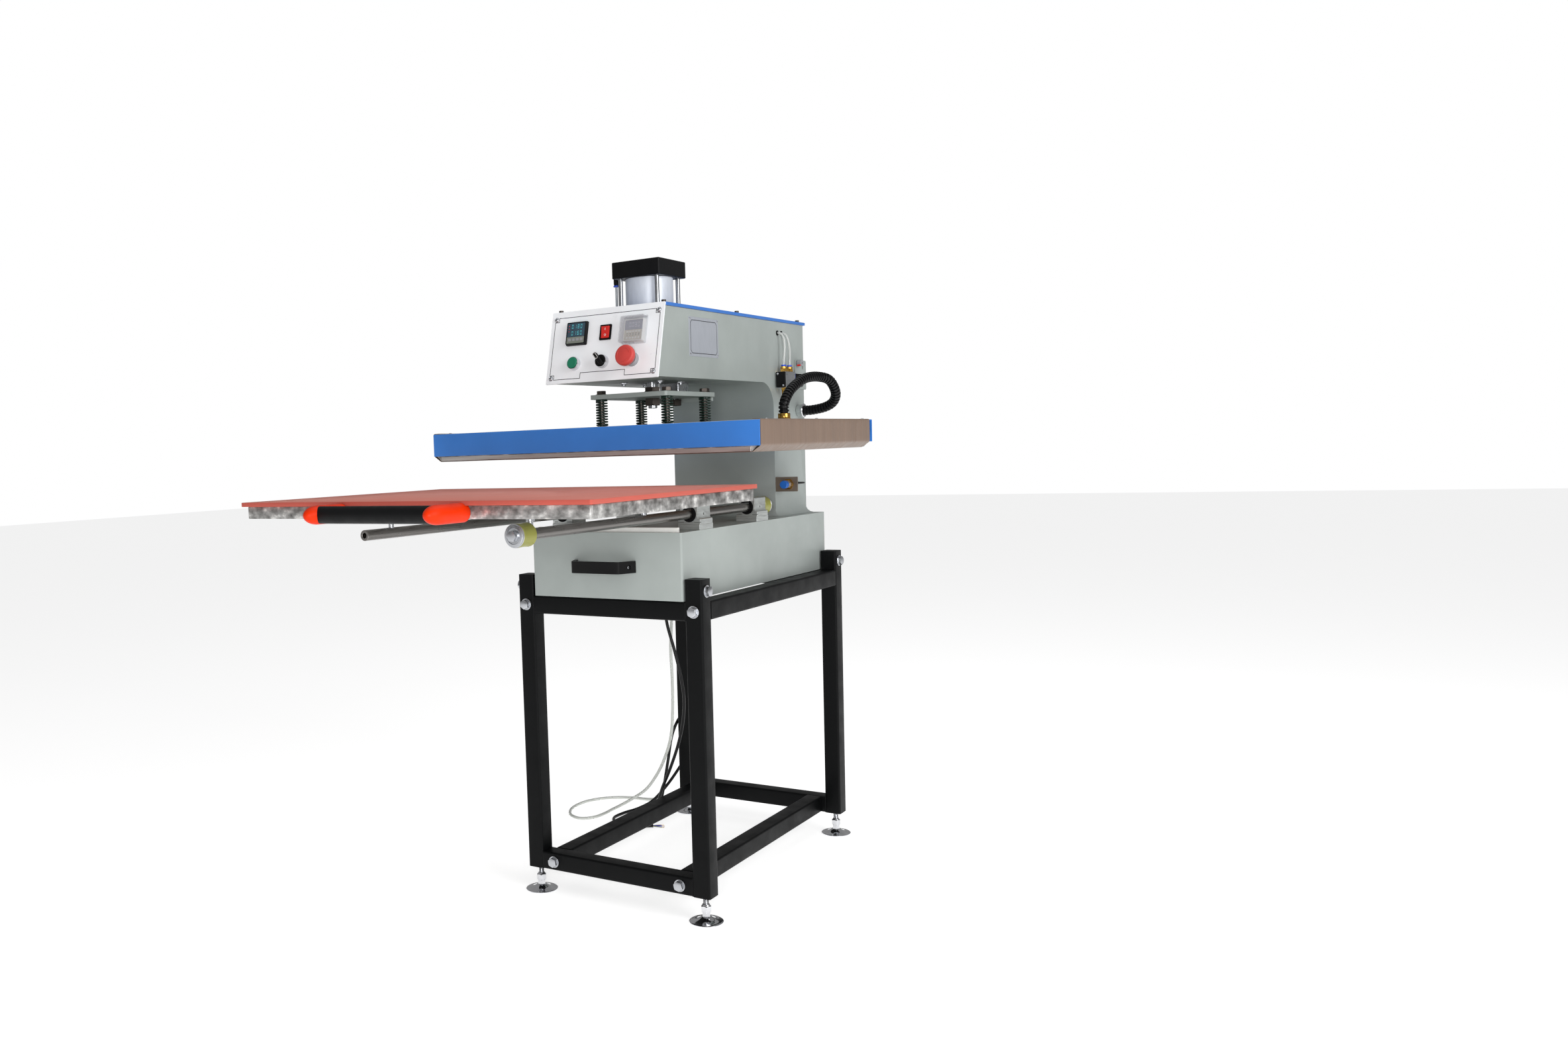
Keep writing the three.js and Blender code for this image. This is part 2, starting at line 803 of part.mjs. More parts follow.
// The welded foot of the column flares out over the cabinet
function columnFoot() {
  const steps = 4;
  return loft(Array.from({ length: steps + 1 }, (_, k) => {
    const rise = columnFilletRadius * (1 - Math.cos((Math.PI / 2) * (k / steps)));
    const fall = columnFilletRadius - rise;
    const flare = columnFilletRadius - Math.sqrt(columnFilletRadius ** 2 - fall ** 2);
    const section = roundedRectangle(
      columnWidth + 2 * flare,
      standRear - columnFront + flare,
      columnCorner,
      [0, (standRear + columnFront - flare) / 2],
    );
    return section.getPoints(2).slice(0, -1)
      .map((point) => new THREE.Vector3(point.x, point.y, columnBase + rise));
  }));
}
const frontCapBottom = headBottom + columnWall + seatGap;
const tieRodPlaces = corners((sx, sy) => [sx * tieRodSpacing / 2, pressAxisY + sy * tieRodSpacing / 2]);
const floorHole = (radius, x, y, sides = 12) => round(
  radius,
  columnWall + 2 * overrun,
  'z',
  [x, y, headBottom - overrun],
  sides,
);
const sideHole = (radius, y, z) => round(
  radius,
  columnWall + 2 * overrun,
  'x',
  [columnSide - columnWall - overrun, y, z],
);
const rearCoverMiddle = columnBase + rearCoverRise + rearCoverHeight / 2;
function rearPlate(lap, from, to) {
  const shape = roundedRectangle(
    rearCoverWidth - 2 * lap,
    rearCoverHeight - 2 * lap,
    columnCorner,
    [0, rearCoverMiddle],
  );
  return prism(shape, 'y', from, to);
}
const hoseExits = [0, 1].map((k) => hoseExitFront + k * hoseExitPitch);
const leadEndY = columnFront + sensorBack + sensorLeadRun;
piece('column_and_head', cut(
  join(prism(sideOutline(0), 'x', -columnSide, columnSide, 8), columnFoot()),
  prism(sideOutline(columnWall), 'x', columnWall - columnSide, columnSide - columnWall, 8),
  floorHole(pistonRodRadius + runningGap, 0, pressAxisY, 16),
  floorHole(guideBushRadius + seatGap, 0, guideRodY),
  ...tieRodPlaces.map(([x, y]) => floorHole(tieRodRadius + seatGap, x, y, 8)),
  ...hoseExits.map((y) => sideHole(hoseHoleRadius, y, hoseExitHeight)),
  sideHole(conduitBoreRadius, bossY, bossHeight),
  sideHole(sensorLeadRadius + 2 * runningGap, leadEndY, sensorHeight),
  rearPlate(rearCoverLap, standRear - columnWall - overrun, standRear + overrun),
), finishes.bodyPaint);
const coverFace = standRear + seatGap + rearCoverThickness;
const rearScrew = (sx, sz) => domedScrew(panelScrewRadius, panelScrewHeight, 'y', [
  sx * (rearCoverWidth - rearCoverLap) / 2,
  coverFace,
  rearCoverMiddle + sz * (rearCoverHeight - rearCoverLap) / 2,
]);
piece('rear_cover', join(
  rearPlate(0, standRear + seatGap, coverFace),
  ...corners(rearScrew),
), finishes.bodyPaint);

// Lid with a turned down rim, screwed down and cut out round the cylinder
const lidFront = headFrontAt(panelTop);
const lidRear = standRear + lidRearOverhang;
const lidBottom = headTop + seatGap;
const lidTop = lidBottom + lidHeight;
const lidScrewPlaces = [-1, 1].flatMap((s) => [0, 0.5, 1].map((share) => [
  s * (lidWidth / 2 - lidScrewInset),
  THREE.MathUtils.lerp(lidFront + lidScrewInset, standRear - lidScrewInset, share),
]));
const lidHole = roundedRectangle(lidOpening, lidOpening, lidOpeningCorner, [0, pressAxisY]);
const elbowX = -capSide / 2 - elbowReach;
const elbowHeight = cylinderTop - topCapHeight / 2;
piece('head_lid', cut(
  join(
    block([-lidWidth / 2, lidFront, lidBottom], [lidWidth / 2, lidRear, lidTop]),
    ...lidScrewPlaces.map(([x, y]) => domedScrew(lidScrewRadius, lidScrewHeight, 'z', [x, y, lidTop])),
  ),
  block(
    [-columnSide, lidFront - overrun, lidBottom - overrun],
    [columnSide, lidRear - lidSkin, lidTop - lidSkin],
  ),
  prism(lidHole, 'z', lidBottom - overrun, lidTop + overrun),
  round(airHoseRadius + runningGap, lidHeight + 2 * overrun, 'z', [elbowX, pressAxisY, lidBottom - overrun]),
), finishes.lidBlue);

// Air cylinder: square caps, barrel and tie rods
const barrelBottom = frontCapBottom + frontCapHeight;
const topCapBottom = cylinderTop - topCapHeight;
const capSection = roundedRectangle(capSide, capSide, capCorner, [0, pressAxisY]);
const tieHole = ([x, y], from, to) => round(tieRodRadius + seatGap, to - from, 'z', [x, y, from], 8);
const tieNutTop = headBottom - seatGap;
const tieRodLength = topCapBottom + overrun - tieNutTop + tieNutHeight;
const tieRod = ([x, y]) => join(
  round(tieRodRadius, tieRodLength, 'z', [x, y, tieNutTop - tieNutHeight], 8),
  hexagon(tieNutAcross, tieNutHeight, 'z', [x, y, tieNutTop - tieNutHeight]),
);

// The top cap carries the tie rods and an elbow whose hose goes down through the lid
const elbowFoot = elbowHeight - elbowDrop;
piece('cylinder_top_cap', join(
  prism(capSection, 'z', topCapBottom, cylinderTop),
  ...tieRodPlaces.map(tieRod),
  round(elbowRadius, elbowReach + elbowRadius, '-x', [elbowRadius - capSide / 2, pressAxisY, elbowHeight]),
  round(elbowRadius, elbowDrop, '-z', [elbowX, pressAxisY, elbowHeight]),
  round(collarRadius, collarHeight, '-z', [elbowX, pressAxisY, elbowFoot]),
  round(airHoseRadius, elbowFoot - headTop, '-z', [elbowX, pressAxisY, elbowFoot], 8),
), finishes.blackPlastic);
piece('cylinder_front_cap', cut(
  prism(capSection, 'z', frontCapBottom, barrelBottom),
  ...tieRodPlaces.map((place) => tieHole(place, frontCapBottom - overrun, barrelBottom + overrun)),
  round(
    pistonRodRadius + runningGap,
    frontCapHeight + 2 * overrun,
    'z',
    [0, pressAxisY, frontCapBottom - overrun],
    16,
  ),
), finishes.blackPlastic);
piece('cylinder_barrel', ring(
  barrelRadius,
  barrelRadius - barrelWall,
  topCapBottom - barrelBottom - 2 * seatGap,
  'z',
  [0, pressAxisY, barrelBottom + seatGap],
  32,
), finishes.aluminium);

// Piston and rod, with the nut under the spring plate and the collar on it, and the guide rod in its
// flanged bush
const nutBottom = springPlateBottom - seatGap - rodNutHeight;
const pistonBottom = topCapBottom - pistonDrop - pistonHeight;
const pistonRadius = barrelRadius - barrelWall - runningGap;
piece('piston_rod', join(
  turned([
    [0, nutBottom],
    [pistonRodRadius, nutBottom],
    [pistonRodRadius, pistonBottom],
    [pistonRadius, pistonBottom],
    [pistonRadius, pistonBottom + pistonHeight],
    [0, pistonBottom + pistonHeight],
  ], 'z', [0, pressAxisY, 0], 16),
  hexagon(rodNutAcross, rodNutHeight, 'z', [0, pressAxisY, nutBottom]),
  round(rodCollarRadius, rodCollarHeight, 'z', [0, pressAxisY, springPlateTop + seatGap]),
), finishes.steel);
piece('guide_bush', cut(
  join(
    block(
      [-guideBushSide / 2, guideRodY - guideBushSide / 2, headBottom - guideBushDrop],
      [guideBushSide / 2, guideRodY + guideBushSide / 2, headBottom - seatGap],
    ),
    round(guideBushRadius, guideBushLength, 'z', [0, guideRodY, headBottom - guideBushDrop]),
  ),
  round(
    guideRodRadius + runningGap,
    guideBushLength + 2 * overrun,
    'z',
    [0, guideRodY, headBottom - guideBushDrop - overrun],
  ),
), finishes.blackPlastic);
piece('guide_rod', join(
  round(guideRodRadius, guideRodLength, 'z', [0, guideRodY, springPlateBottom]),
  round(guideCollarRadius, guideCollarHeight, 'z', [0, guideRodY, springPlateTop + seatGap]),
), finishes.steel);

// Spring plate, folded down along its rear edge
const springPlaces = corners((sx, sy) => [sx * springSpacingX / 2, springPlateY + sy * springSpacingY / 2]);
const plateRear = springPlateY + springPlateDepth / 2;
const plateHole = (radius, x, y, sides = 12) => round(
  radius,
  springPlateThickness + 2 * overrun,
  'z',
  [x, y, springPlateBottom - overrun],
  sides,
);
piece('spring_plate', cut(
  join(
    block(
      [-springPlateWidth / 2, springPlateY - springPlateDepth / 2, springPlateBottom],
      [springPlateWidth / 2, plateRear, springPlateTop],
    ),
    block(
      [-springPlateWidth / 2, plateRear - springPlateLipThickness, springPlateBottom - springPlateLip],
      [springPlateWidth / 2, plateRear, springPlateTop],
    ),
  ),
  plateHole(pistonRodRadius + seatGap, 0, pressAxisY, 16),
  plateHole(guideRodRadius + seatGap, 0, guideRodY),
  ...springPlaces.map(([x, y]) => plateHole(springBoltRadius + runningGap, x, y)),
), finishes.bodyPaint);

// Four springs press the heated platen away from the spring plate
function springPath([x, y]) {
  const stepsPerCurl = 8;
  const foot = platenTop + springSeatHeight + 2 * seatGap;
  const head = springPlateBottom - seatGap;
  const wireLength = 2 * springWireRadius;
  const reach = springRadius - springWireRadius;
  const count = springCurls * stepsPerCurl;
  const curls = Array.from({ length: count + 1 }, (_, k) => {
    const angle = (2 * Math.PI * k) / stepsPerCurl;
    const height = THREE.MathUtils.lerp(foot + wireLength, head - wireLength, k / count);
    return new THREE.Vector3(x + reach * Math.cos(angle), y + reach * Math.sin(angle), height);
  });
  const start = new THREE.Vector3(x + reach, y, foot);
  const end = curls[count].clone().setZ(head);
  return [start, ...curls, end];
}
const springPaths = springPlaces.map(springPath);
console.log('least gap in a spring', leastGap(springPaths[0], 6, 2 * springWireRadius).toFixed(2));
const wireRadii = springPaths[0].map(() => springWireRadius);
const quarterNames = ['front_left', 'rear_left', 'front_right', 'rear_right'];
springPaths.forEach((path, i) => {
  piece(`platen_spring_${quarterNames[i]}`, loft(ringsAlong(path, wireRadii, 5)), finishes.springGreen);
});

// Heated platen: a cast plate with chamfered sides under a folded cover. Four bolts with seats for
// the springs stand on it, and their heads hang it from the spring plate.
const coverBottom = platenTop - coverHeight;
const heaterTop = platenUnderside + heaterThickness;
const springBoltLength = springPlateTop + springBoltHeadHeight / 2 - heaterTop;
const springBolt = ([x, y]) => join(
  round(springSeatRadius, springSeatHeight, 'z', [x, y, platenTop + seatGap], 10),
  round(springBoltRadius, springBoltLength + overrun, 'z', [x, y, heaterTop - overrun], 8),
  hexagon(springBoltHeadAcross, springBoltHeadHeight, 'z', [x, y, springPlateTop + seatGap]),
);
const heaterHalf = platenWidth / 2 - platenInset;
const chamferTop = platenUnderside + platenChamferRise;
const coverSide = platenWidth / 2 - sheetThickness - seatGap;
const coverInner = coverSide - coverSkin;
const heaterSection = outline([
  [-heaterHalf + platenChamfer, platenUnderside],
  [heaterHalf - platenChamfer, platenUnderside],
  [heaterHalf, chamferTop],
  [heaterHalf, coverBottom],
  [coverInner - seatGap, coverBottom],
  [coverInner - seatGap, heaterTop],
  [seatGap - coverInner, heaterTop],
  [seatGap - coverInner, coverBottom],
  [-heaterHalf, coverBottom],
  [-heaterHalf, chamferTop],
]);
piece('heating_plate', join(
  prism(heaterSection, 'y', platenFront + coverSkin + seatGap, platenRear - coverSkin - seatGap),
  ...springPlaces.map(springBolt),
), finishes.castAluminium);
piece('platen_cover', cut(
  block([-platenWidth / 2, platenFront, coverBottom], [platenWidth / 2, platenRear, platenTop]),
  block(
    [-coverInner, platenFront + coverSkin, coverBottom - overrun],
    [coverInner, platenRear - coverSkin, platenTop - coverSkin],
  ),
  ...mirrored((s) => block(
    [s > 0 ? coverSide : -platenWidth, platenFront + coverReturn, coverBottom - overrun],
    [s > 0 ? platenWidth : -coverSide, platenRear - coverReturn, platenTop + overrun],
  )),
  ...springPlaces.map(([x, y]) => round(
    springBoltRadius + seatGap,
    coverSkin + 2 * overrun,
    'z',
    [x, y, platenTop - coverSkin - overrun],
  )),
), finishes.coverBlue);

// Release sheet: under the platen, along its chamfers, up both sides and folded over the top
function sheetOutline() {
  const side = platenWidth / 2;
  const fold = side - sheetFold;
  const [under, over] = [platenUnderside - seatGap, platenTop + seatGap];
  const bend = heaterHalf - platenChamfer + seatGap;
  const inner = [
    [fold, over],
    [side - sheetThickness, over],
    [side - sheetThickness, coverBottom],
    [bend, under],
  ];
  const outer = [
    [bend + sheetThickness, under - sheetThickness],
    [side, coverBottom - sheetThickness / 2],
    [side, over + sheetThickness],
    [fold, over + sheetThickness],
  ];
  const flip = (points) => points.map(([x, z]) => [-x, z]).reverse();
  return outline([...inner, ...flip(inner), ...flip(outer), ...outer]);
}
piece('release_sheet', prism(
  sheetOutline(),
  'y',
  platenFront + coverReturn + seatGap,
  platenRear - coverReturn - seatGap,
), finishes.sheetBrown);

// Sliding table: cast plate, silicone pad and handle
const tableShape = roundedRectangle(tableWidth, tableDepth, tableCorner, [0, tableFront + tableDepth / 2]);
piece('lower_plate', prism(tableShape, 'z', tableBottom, tableTop), finishes.castAluminium);
const padFront = tableFront - padFrontOverhang;
const padRear = tableRear + padFrontOverhang;
const padShape = roundedRectangle(
  tableWidth + 2 * padOverhang,
  padRear - padFront,
  padCorner,
  [0, (padFront + padRear) / 2],
);
const padFoot = tableTop + seatGap;
piece('silicone_pad', prism(padShape, 'z', padFoot, padFoot + padThickness), finishes.siliconeRed);

const handleZ = tableTop - tableThickness / 2;
const gripY = tableFront - gripReach;
function handleLeg(s) {
  const straight = handleReach - handleNose;
  const steps = 4;
  const nose = Array.from({ length: steps + 1 }, (_, k) => {
    const angle = (Math.PI / 2) * (k / steps);
    return [handleLegRadius * Math.cos(angle), straight + handleNose * Math.sin(angle)];
  });
  nose[steps][0] = 0;
  const profile = [[0, 0], [handleLegRadius, 0], ...nose];
  return turned(profile, '-y', [s * handleSpread / 2, tableFront - seatGap, handleZ]);
}
const gripBar = (reach, radius) => round(radius, 2 * reach, 'x', [-reach, gripY, handleZ], 16);
const underPad = (s) => block(
  [s * handleSpread / 2 - 2 * handleLegRadius, padFront - seatGap, tableTop],
  [s * handleSpread / 2 + 2 * handleLegRadius, tableFront + overrun, padFoot + padThickness],
);
mirrored((s) => piece(
  `handle_leg_${s > 0 ? 'right' : 'left'}`,
  cut(handleLeg(s), gripBar(handleSpread / 2, gripRadius + seatGap), underPad(s)),
  finishes.orangePlastic,
));
piece('handle_grip', gripBar(handleSpread / 2 - seatGap, gripRadius), finishes.blackPlastic);

// Slide shafts with threaded ends. The plate stands on them on spacers, whose screws pass through
// the slots of the bearing blocks. The right shaft has a stop at each end: a urethane ring, a zinc
// disc and a bolt.
const standoffPlaces = [tableFront + standoffFrontInset, tableRear - standoffRearInset];
const blockTop = riserTop + blockHeight;
function standoff(x, y) {
  const plateFoot = tableBottom - seatGap;
  const spacerFoot = blockTop + runningGap;
  return [
    round(standoffScrewRadius, plateFoot - shaftHeight, 'z', [x, y, shaftHeight], 8),
    round(standoffRadius, plateFoot - spacerFoot, 'z', [x, y, spacerFoot], 8),
  ];
}
function shaft(x, front) {
  return join(
    cut(
      round(shaftRadius, shaftRear - front, 'y', [x, front, shaftHeight], 16),
      round(shaftBoreRadius, shaftBoreDepth + overrun, 'y', [x, front - overrun, shaftHeight], 8),
    ),
    ...standoffPlaces.flatMap((y) => standoff(x, y)),
  );
}
const frontRingRear = frontBlockFront - riserSpare - runningGap - tableTravel;
const rearRingFront = rearBlockFront + blockLength + riserSpare + runningGap;
const rearRingRear = rearRingFront + rearBumperLength;
const stopRing = (from, to) => round(bumperRadius, to - from, 'y', [shaftX, from, shaftHeight], 16);
function stopDisc(axis, y) {
  const disc = round(bumperRadius + seatGap, bumperDiscThickness, 'z', [0, 0, 0], 16);
  const head = hexagon(bumperBoltAcross, bumperBoltHeight + bumperDiscThickness, 'z', [0, 0, 0]);
  return stand(join(disc, head), axis, [shaftX, y, shaftHeight]);
}
piece('slide_shaft_left', shaft(-shaftX, leftShaftFront), finishes.steel);
piece('slide_shaft_right', join(
  shaft(shaftX, rightShaftFront),
  stopRing(rightShaftFront, frontRingRear),
  stopDisc('-y', rightShaftFront),
  stopRing(rearRingFront, rearRingRear),
  stopDisc('y', rearRingRear),
), finishes.steel);

// Bearing blocks on risers, with sealed bushes that the shafts run in. Block and bush are open along
// the top, so that the spacer screws can pass.
const blockBottom = riserTop;
function bearingBlock(x, front) {
  const [flange, body] = [blockWidth / 2, blockBodyWidth / 2];
  const shoulder = blockBottom + blockFlangeHeight;
  const section = outline([
    [-flange, blockBottom - riserSpare],
    [flange, blockBottom - riserSpare],
    [flange, shoulder],
    [body, shoulder + blockChamfer],
    [body, blockTop],
    [-body, blockTop],
    [-body, shoulder + blockChamfer],
    [-flange, shoulder],
  ]);
  const riser = block(
    [-flange, front - riserSpare, columnBase],
    [flange, front + blockLength + riserSpare, riserTop],
  );
  const bushLength = blockLength + 2 * sealProud;
  const bush = round(bushOuterRadius, bushLength, 'y', [0, front - sealProud, shaftHeight], 16);
  const out = x > 0 ? 'x' : '-x';
  const holeStart = [Math.sign(x) * (body - lubricationHoleDepth), front + blockLength / 2, shaftHeight];
  const slot = block(
    [-standoffScrewRadius - standoffPlay, front - sealProud - overrun, shaftHeight],
    [standoffScrewRadius + standoffPlay, front + blockLength + sealProud + overrun, blockTop + overrun],
  );
  return cut(
    join(prism(section, 'y', front, front + blockLength), riser, bush),
    round(
      shaftRadius + bushInnerGap,
      bushLength + 2 * overrun,
      'y',
      [0, front - sealProud - overrun, shaftHeight],
      16,
    ),
    round(lubricationHoleRadius, lubricationHoleDepth + overrun, out, holeStart, 6),
    slot,
  ).translate(x, 0, 0);
}
mirrored((s) => {
  const side = s > 0 ? 'right' : 'left';
  piece(`bearing_block_front_${side}`, bearingBlock(s * shaftX, frontBlockFront), finishes.blockSilver);
  piece(`bearing_block_rear_${side}`, bearingBlock(s * shaftX, rearBlockFront), finishes.blockSilver);
});

// Air valve: end cover, body and coil in line, on a bracket plate with a keyhole
const valveInner = columnSide + bracketThickness + 2 * seatGap;
const valveOuter = valveInner + valveWidth;
const valveBottom = valveTop - valveHeight;
const valveBodyFront = valveFront + valveCoverLength;
const valveBodyRear = valveBodyFront + valveBodyLength;
const ports = [0, 1].map((k) => valveBodyFront + valvePortInset + k * valvePortPitch);
const portX = (valveInner + valveOuter) / 2;
const portFitting = (y) => join(
  hexagon(fittingHexAcross, fittingHexHeight + overrun, 'z', [portX, y, valveTop - overrun]),
  round(fittingRadius, fittingHeight, 'z', [portX, y, valveTop]),
);
const silencer = (y) => turned([
  [0, -overrun],
  [silencerRadius, -overrun],
  [silencerRadius, silencerHeight * silencerTaperShare],
  [silencerRadius / 2, silencerHeight],
  [0, silencerHeight],
], '-z', [portX, y, valveBottom], 10);
const collarBase = valveTop + fittingHeight;
piece('air_valve', join(
  block([valveInner, valveBodyFront, valveBottom], [valveOuter, valveBodyRear, valveTop]),
  block(
    [valveInner, valveFront, valveBottom + valveStep],
    [valveOuter - valveStep, valveBodyFront + overrun, valveTop - valveStep],
  ),
  block(
    [valveInner, valveBodyRear - overrun, valveBottom + valveCoilDrop],
    [valveOuter - valveStep, valveBodyRear + valveCoilLength, valveTop - valveCoilDrop],
  ),
  ...ports.flatMap((y) => [
    portFitting(y),
    silencer(y),
    round(collarRadius, collarHeight + overrun, 'z', [portX, y, collarBase - overrun]),
  ]),
), finishes.aluminium);

function valveBracket() {
  const rear = standRear + bracketOverhang;
  const plate = block(
    [columnSide + seatGap, rear - bracketLength, bracketTop - bracketHeight],
    [columnSide + seatGap + bracketThickness, rear, bracketTop],
  );
  const arm = block(
    [columnSide + seatGap, valveBodyFront, valveBottom],
    [columnSide + seatGap + bracketThickness, rear - bracketLength + overrun, valveTop],
  );
  const [y, z] = [rear - keyholeInset, bracketTop - keyholeDrop];
  const through = (radius, height) => round(
    radius,
    bracketThickness + 2 * overrun,
    'x',
    [columnSide - overrun, y, height],
  );
  const knob = round(
    regulatorRadius,
    regulatorLength + bracketThickness / 2,
    'x',
    [columnSide + seatGap + bracketThickness / 2, rear - bracketLength + regulatorInset, bracketTop - regulatorDrop],
  );
  return cut(
    join(plate, arm, knob),
    through(keyholeRadius, z),
    through(keyholeSlot, z + keyholeRadius),
  );
}
piece('valve_bracket', valveBracket(), finishes.bodyPaint);

// Clear hoses from the head to the valve
const hoseFoot = collarBase + collarHeight + seatGap;
ports.forEach((y, k) => {
  const exitY = hoseExits[k];
  const rise = hoseExitHeight - hoseFoot;
  piece(`valve_hose_${k ? 'rear' : 'front'}`, pipe([
    [columnSide - columnWall, exitY, hoseExitHeight],
    [columnSide + 2 * airHoseRadius, exitY, hoseExitHeight],
    [portX - airHoseRadius, exitY, hoseFoot + rise * hoseBendShares[0]],
    [portX + airHoseRadius, (exitY + y) / 2, hoseFoot + rise * hoseBendShares[1]],
    [portX, y, hoseFoot + rise * hoseBendShares[2]],
    [portX, y, hoseFoot],
  ], airHoseRadius, 8, 4 * airHoseRadius), finishes.clear);
});

// Conduit boss on the column, gland on the platen, and the ribbed conduit between them
const bossEnd = columnSide + seatGap + bossLength;
piece('column_gland', join(
  ring(bossRadius, conduitBoreRadius, bossLength, 'x', [columnSide + seatGap, bossY, bossHeight], 16),
  ring(
    bossRingRadius,
    conduitRadius + seatGap,
    bossRingLength,
    'x',
    [bossEnd - bossRingLength / 4, bossY, bossHeight],
    16,
  ),
), finishes.chrome);
const glandFoot = platenTop + seatGap;
const glandTop = glandFoot + glandNutHeight + glandRimHeight;
piece('platen_gland', cut(
  join(
    hexagon(glandAcross, glandNutHeight, 'z', [glandX, glandY, glandFoot]),
    round(glandRimRadius, glandTop - glandFoot, 'z', [glandX, glandY, glandFoot], 16),
  ),
  round(
    conduitRadius + seatGap,
    glandRimHeight + overrun,
    'z',
    [glandX, glandY, glandTop - glandRimHeight],
    16,
  ),
  round(conduitBoreRadius, glandTop - glandFoot + 2 * overrun, 'z', [glandX, glandY, glandFoot - overrun]),
), finishes.brass);

function conduitCurve() {
  const startX = bossEnd + seatGap;
  const endZ = glandTop - glandRimHeight + glandCavityDepth;
  return new THREE.CatmullRomCurve3([
    [startX, bossY, bossHeight],
    [startX + 2 * conduitRadius, bossY, bossHeight],
    ...conduitRouteShares.map(([along, out, up]) => [
      glandX + out * conduitBulge,
      bossY + along * (glandY - bossY),
      bossHeight + up * conduitArch,
    ]),
    [glandX, glandY, endZ + 2 * conduitRadius],
    [glandX, glandY, endZ],
  ].map((p) => new THREE.Vector3(...p)), false, 'centripetal');
}

// Ribs are pairs of rings, and the bore has a ring every third rib, so that it stays inside at the bends
function ribbedConduit(curve) {
  const ribs = Math.round(curve.getLength() / conduitRibPitch);
  const sides = 8;
  const outerPath = curve.getSpacedPoints(2 * ribs);
  const outerRadii = outerPath.map((_, i) => (i % 2 ? conduitRadius : conduitRadius - conduitGroove));
  const outer = ringsAlong(outerPath, outerRadii, sides);
  const boreSteps = Math.ceil(ribs / 3);
  const borePath = curve.getSpacedPoints(boreSteps);
  const bore = ringsAlong(borePath, borePath.map(() => conduitBoreRadius), sides);
  return cut(loft(outer), loft([extended(bore, 0, 1), ...bore, extended(bore, bore.length - 1, -1)]));
}

// A ring moved past an open end, away from its neighbour
function extended(rings, at, step) {
  const away = rings[at][0].clone().sub(rings[at + step][0]).normalize().multiplyScalar(overrun);
  return rings[at].map((point) => point.clone().add(away));
}
piece('conduit', ribbedConduit(conduitCurve()), finishes.blackRubber);

// Position sensor: bracket on the column, threaded barrel with nuts, and its lead
const sensorPlateFront = columnFront + seatGap;
const sensorPlateRear = sensorPlateFront + sensorPlateThickness;
const bracketSide = columnSide + seatGap;
const sensorPlateLow = sensorHeight - sensorPlateHeight / 2;
const sensorBarrelFront = sensorPlateFront - sensorNose + sensorCapLength;
const sensorLength = sensorPlateRear + sensorBack - sensorBarrelFront;
piece('proximity_sensor', join(
  block(
    [bracketSide, sensorPlateFront, sensorPlateLow],
    [bracketSide + sensorPlateWidth, sensorPlateRear, sensorPlateLow + sensorPlateHeight],
  ),
  block(
    [bracketSide, sensorPlateFront, sensorPlateLow],
    [bracketSide + sensorPlateThickness, sensorPlateRear + sensorTabLength, sensorPlateLow + sensorPlateHeight],
  ),
  hexagon(
    sensorNutAcross,
    sensorPlateThickness + 2 * sensorNutHeight,
    'y',
    [sensorX, sensorPlateFront - sensorNutHeight, sensorHeight],
  ),
  round(sensorRadius, sensorLength, 'y', [sensorX, sensorBarrelFront, sensorHeight]),
  round(
    sensorRadius - sensorCapStep,
    sensorCapLength + overrun,
    'y',
    [sensorX, sensorPlateFront - sensorNose, sensorHeight],
  ),
), finishes.chrome);
const leadStart = sensorPlateRear + sensorBack + seatGap;
piece('sensor_lead', pipe([
  [sensorX, leadStart, sensorHeight],
  [sensorX, leadStart + sensorLeadRun / 3, sensorHeight],
  [sensorX - 2 * sensorLeadRadius, leadEndY - 5 * sensorLeadRadius, sensorHeight],
  [columnSide + 4 * sensorLeadRadius, leadEndY, sensorHeight],
  [columnSide, leadEndY, sensorHeight],
  [columnSide - columnWall, leadEndY, sensorHeight],
], sensorLeadRadius, 8, 4 * sensorLeadRadius), finishes.blackRubber);

// Control panel, with its foot along X, Y up the slope and Z out of it
const across = (column) => column - panelWidth / 2;
const bodyHalf = (side) => (side * instrumentBodyShare) / 2;
const centred = (x, y, halfX, halfY, low, high) => block([x - halfX, y - halfY, low], [x + halfX, y + halfY, high]);
const panelCut = (x, y, half) => centred(x, y, half, half, -panelThickness - overrun, overrun);
const buttonX = across(controllerColumn);
const selectorX = across(rockerColumn);
const stopX = across(timerColumn);
const rockerHalf = [rockerWidth / 2 + seatGap, rockerHeight / 2 + rockerPlay];

// Hollow collars of the start button, the selector and the emergency stop
const collar = (x, radius, height, bore) => turned([
  [bore, -buttonHousing],
  [bezelNeckRadius, -buttonHousing],
  [bezelNeckRadius, -panelThickness / 2],
  [radius, -panelThickness / 2],
  [radius, height * collarEdgeShare],
  [radius - height * collarSlopeShare, height],
  [bore, height],
  [bore, -buttonHousing],
], 'z', [x, buttonRow, 0]);
const buttonBore = buttonRadius + seatGap;
const stopBore = stopNeckRadius + runningGap;
const through = (x, radius) => round(
  radius,
  panelThickness + 2 * overrun,
  'z',
  [x, buttonRow, -panelThickness - overrun],
  16,
);
const panelScrew = (sx, sy) => domedScrew(panelScrewRadius, panelScrewHeight, 'z', [
  sx * (panelWidth / 2 - panelScrewInset),
  panelHeight / 2 + sy * (panelHeight / 2 - panelScrewInset),
  0,
]);
